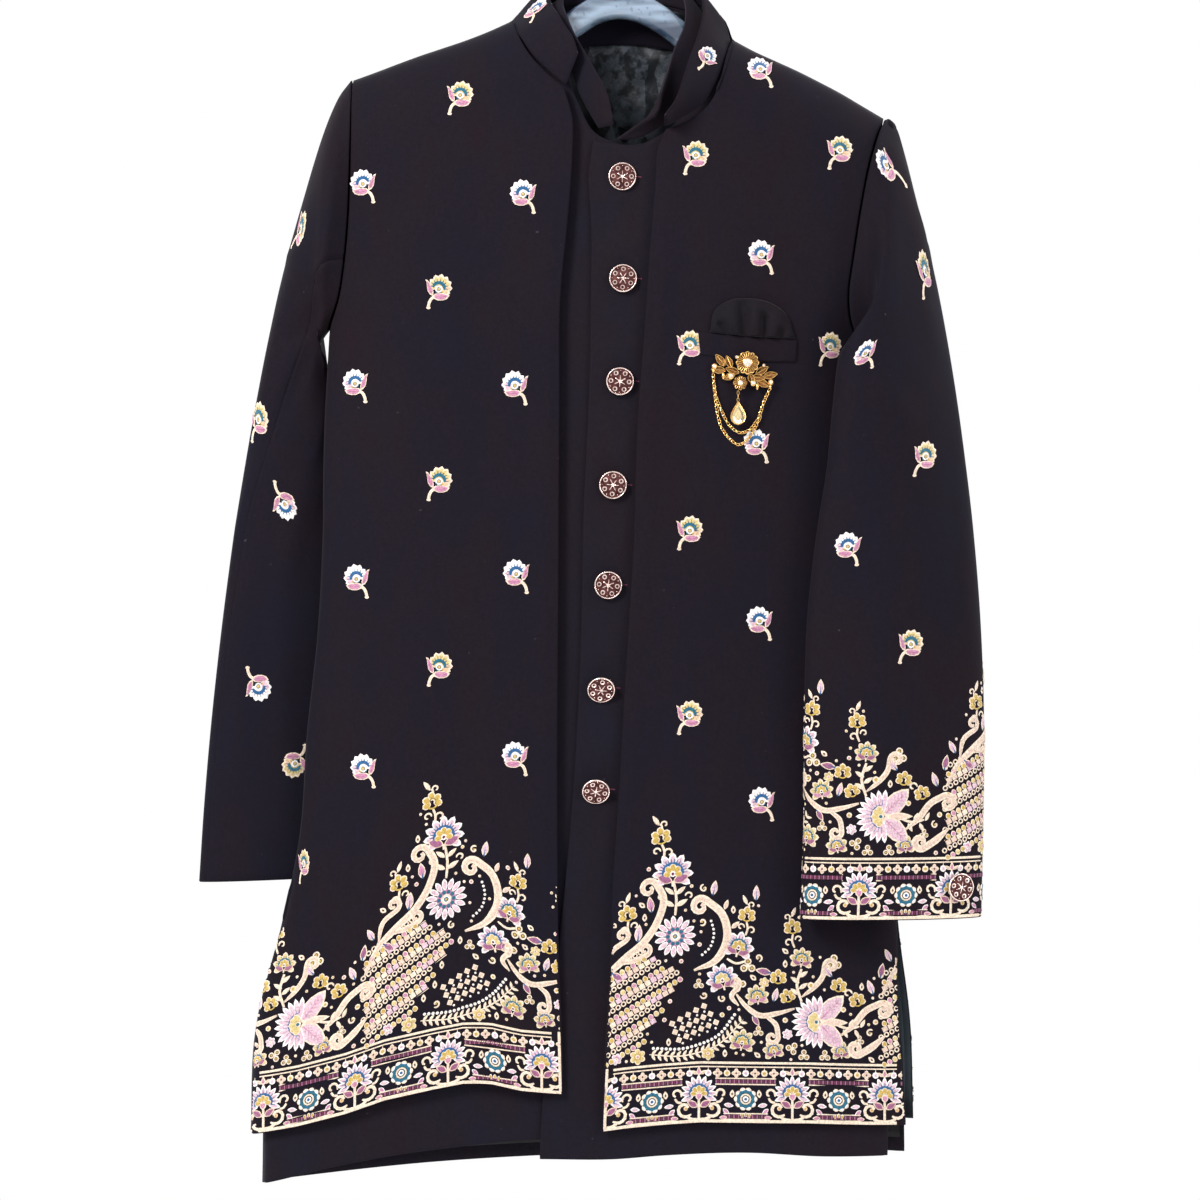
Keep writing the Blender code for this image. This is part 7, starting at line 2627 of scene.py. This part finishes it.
# On the sleeves and the collar these are where a sprig is seen from the front.
SPRIGS_SLEEVE = {
    "right": (
        (-274, -292, "b", 14), (-313, -455, "b", 14), (-292, -527, "a", 186), (-315, -682, "a", 186),
        (-281, -753, "b", 184), (-244, -592, "b", 6),
    ),
    "left": (
        (228, -239, "a", -12), (260, -332, "b", -10), (207, -403, "a", -8), (257, -490, "b", -6),
        (193, -567, "a", -4), (244, -647, "b", -3),
    ),
}
SPRIGS_COLLAR = ((73, -149, "a", 226), (-74, -104, "a", 30))

# Where a flower of the border falls on each sleeve, across from the middle of its front.
SLEEVE_FLOWER = {"right": 6.0, "left": -30.0}
# The right sleeve hangs with its plain inner side forwards, so its worked cuff starts this far round.
RIGHT_CUFF_START = 86.0
SLEEVE_HALF = 160


def hem_height(rows, x):
    order = np.argsort(rows["x"])
    return np.interp(np.asarray(x) * MM, rows["x"][order], rows["z"][order]) / MM


class HemMap:
    """A plan whose x is the panel's x and whose y is the height over its hem."""

    def __init__(self, panel_map, rows):
        self.panel_map, self.rows = panel_map, rows

    def __call__(self, x, y):
        return self.panel_map(x, hem_height(self.rows, x) + y)


SPRIG_SCALE = 0.98


class CollarMap:
    """The outside of a collar: along its middle from its wearer's left end, and up from its foot, in mm."""

    def __init__(self, grid):
        self.points = grid
        self.outward = normals(grid)
        middle = grid[:, grid.shape[1] // 2]
        self.along = run_lengths(middle) / MM
        self.up = np.linalg.norm(grid - grid[:, :1], axis=2).mean(axis=0) / MM

    def find(self, x, z):
        away = np.hypot(self.points[..., 0] - x * MM, self.points[..., 2] - z * MM)
        away = away + 0.05 * (self.outward[..., 1] > 0)
        i, j = np.unravel_index(np.argmin(away), away.shape)
        return self.along[i], self.up[j]

    def __call__(self, x, y):
        return read_grid(self.points, self.outward, (self.along, x), (self.up, y))


def embroider_collar(grid):
    collar_map = CollarMap(grid)
    s = Stitching()
    s.surface = collar_map
    for x, z, kind, turn in SPRIGS_COLLAR:
        sprig(s, *collar_map.find(x, z), kind, turn, 0.9)
    ends = collar_map.along[-1] - 2, collar_map.up[-1]
    s.keep(lambda plan, surface: np.all((plan > (2, 0.5)) & (plan < (ends[0], ends[1] - 0.5)), axis=1))
    s.made("embroidery_collar")


def embroider_front(side):
    face_map = PanelMap(-1, 0.0, lambda x, z: front_fold(x, z, side))
    right = side == "right"
    sprigs = SPRIGS_FRONT_RIGHT if right else SPRIGS_FRONT_LEFT
    hem = COAT_HEM_RIGHT if right else COAT_HEM_LEFT
    opening = COAT_OPENING_RIGHT if right else COAT_OPENING_LEFT
    first = -66.6 - 4 * REPEAT if right else -12.7 - REPEAT
    ends = (-318, -50) if right else (-14, 246)
    hem_map = HemMap(face_map, hem)
    s = Stitching()
    s.surface = face_map
    for x, z, kind, turn, squeeze in sprigs:
        sprig(s, x, z, kind, turn, SPRIG_SCALE, squeeze)
    s.surface = hem_map
    for k in range(6):
        border_repeat(s, first + k * REPEAT)
    border_lines(s, *ends)
    panel_motifs(s, side)
    inward = -1 if right else 1
    start = ends[1] if right else ends[0]
    rim = []
    for h in np.linspace(2, 53, 9):
        z = (hem_height(hem, start) + h) * MM
        rim.append((np.interp(z, opening["z"], opening["x"]) / MM + inward * 1.8, h))
    s.stroke(rim, 2.4, "cream", (0.9, 0.9), 0.6, 1)

    def test(plan, surface):
        if surface is face_map:
            return np.ones(len(plan), bool)
        z = (hem_height(hem, plan[:, 0]) + plan[:, 1]) * MM
        rim_x = np.interp(z, opening["z"], opening["x"]) / MM
        if right:
            return (plan[:, 0] < rim_x - 0.5) & (plan[:, 0] > body_side(z, "right") / MM + 0.9)
        slit = np.interp(z, COAT_SLIT_LEFT["z"], COAT_SLIT_LEFT["x"]) / MM
        return (plan[:, 0] > rim_x + 0.5) & (plan[:, 0] < slit - 0.9)

    s.keep(test)
    s.made(f"embroidery_front_{side}")


def stitch_kurta():
    """The ends of the buttonholes, and loose white tacking near the hem."""
    s = Stitching()
    s.surface = PanelMap(-1, KURTA_LEFT_INSET, kurta_fold)
    for x, z, _ in FRONT_BUTTONS:
        s.stroke([(x + 12.4, z + 0.2), (x + 14.4, z), (x + 16.4, z - 0.3)], 1.1, "maroon", (0.7, 0.5), 0.3)
    for x, z, length in ((0.2, -771, 5), (0.6, -781, 4), (0.2, -790, 5)):
        s.stroke([(x, z), (x + 0.4, z - length / 2), (x - 0.2, z - length)], 0.9, "white", (0.6, 0.6), 0.3)
    s.made("kurta_threads")


def embroider_back():
    face_map = PanelMap(1, 0.0, back_fold)
    hem_map = HemMap(face_map, BACK_HEM)
    s = Stitching()
    s.surface = face_map
    for x, z, kind, turn, squeeze in SPRIGS_BACK:
        sprig(s, x, z, kind, turn, SPRIG_SCALE, squeeze, mirror=True)
    s.surface = hem_map
    for k in range(-4, 4):
        border_repeat(s, -31 + REPEAT * k)
    border_lines(s, -316, 252)
    panel_motifs(s, "back")

    def test(plan, surface):
        z = (hem_height(BACK_HEM, plan[:, 0]) + plan[:, 1]) * MM if surface is hem_map else plan[:, 1] * MM
        right, left = body_side(z, "right") / MM, body_side(z, "left") / MM
        return (plan[:, 0] > right + 0.9) & (plan[:, 0] < left - 0.9)

    s.keep(test)
    s.made("embroidery_back", flip=True)


def embroider_sleeve(side):
    sleeve_map, cuff_map = SleeveMap(side), SleeveMap(side)
    s = Stitching()
    s.surface = sleeve_map
    for x, z, kind, turn in SPRIGS_SLEEVE[side]:
        sprig(s, *sleeve_map.find(x, z), kind, turn, SPRIG_SCALE)
    s.surface = cuff_map
    for k in range(-3, 3):
        border_repeat(s, k * REPEAT + SLEEVE_FLOWER[side])
    border_lines(s, -SLEEVE_HALF, SLEEVE_HALF)
    panel_motifs(s, f"cuff_{side}")

    def test(plan, surface):
        start = RIGHT_CUFF_START if side == "right" and surface is cuff_map else 0.0
        round_it = np.abs(plan[:, 0])
        return (round_it <= SLEEVE_HALF) & (round_it >= start)

    s.keep(test)
    s.made(f"embroidery_sleeve_{side}")


# ---------------------------------------------------------------- the whole


def floor_and_light():
    made, tree, shader = new_material("studio_floor", 0.75, Specular_IOR_Level=0.2)
    cloud = noise(tree, object_coordinates(tree), 3.0, 3.0)
    paint(tree, shader, ramp(tree, cloud, ((0.3, (0.86, 0.86, 0.87)), (0.7, (0.90, 0.90, 0.91)))))
    sides = 96
    turns = [2 * math.pi * k / sides for k in range(sides)]
    points = [(FLOOR_RADIUS * math.cos(a), FLOOR_RADIUS * math.sin(a), FLOOR_HEIGHT) for a in turns]
    mesh = bpy.data.meshes.new("floor")
    mesh.from_pydata(points, [], [tuple(range(sides))])
    mesh.materials.append(made)
    floor = bpy.data.objects.new("floor", mesh)
    bpy.context.scene.collection.objects.link(floor)

    world = bpy.data.worlds.new("studio")
    bpy.context.scene.world = world
    world.use_nodes = True
    background = world.node_tree.nodes["Background"]
    background.inputs["Color"].default_value = (1.0, 1.0, 1.0, 1.0)
    background.inputs["Strength"].default_value = 1.0
    bpy.context.scene.view_settings.view_transform = "Standard"
    middle = (0.0, 0.0, -0.6)
    make_light("key", (-1.5, -1.9, 0.9), middle, (0.7, 0.9), 105, (1.0, 0.98, 0.95))
    make_light("fill", (1.9, -1.7, 0.1), middle, (1.0, 1.4), 26, (0.95, 0.97, 1.0))
    make_light("rim", (1.9, 0.5, 0.4), middle, (0.6, 1.4), 26)
    make_light("rim_back", (-1.7, 1.1, 0.4), middle, (0.8, 1.4), 16)


# ---------------------------------------------------------------- building every piece


def main():
    floor_and_light()
    make_panels()
    make_sleeves()
    outer_collar = make_collars()
    make_pocket()
    make_buttons()
    make_brooch_leaves()
    make_brooch_flowers()
    make_brooch_chains()
    make_brooch_drop()
    make_hanger()
    for side in ("right", "left"):
        embroider_front(side)
        embroider_sleeve(side)
    embroider_back()
    embroider_collar(outer_collar)
    stitch_kurta()


main()
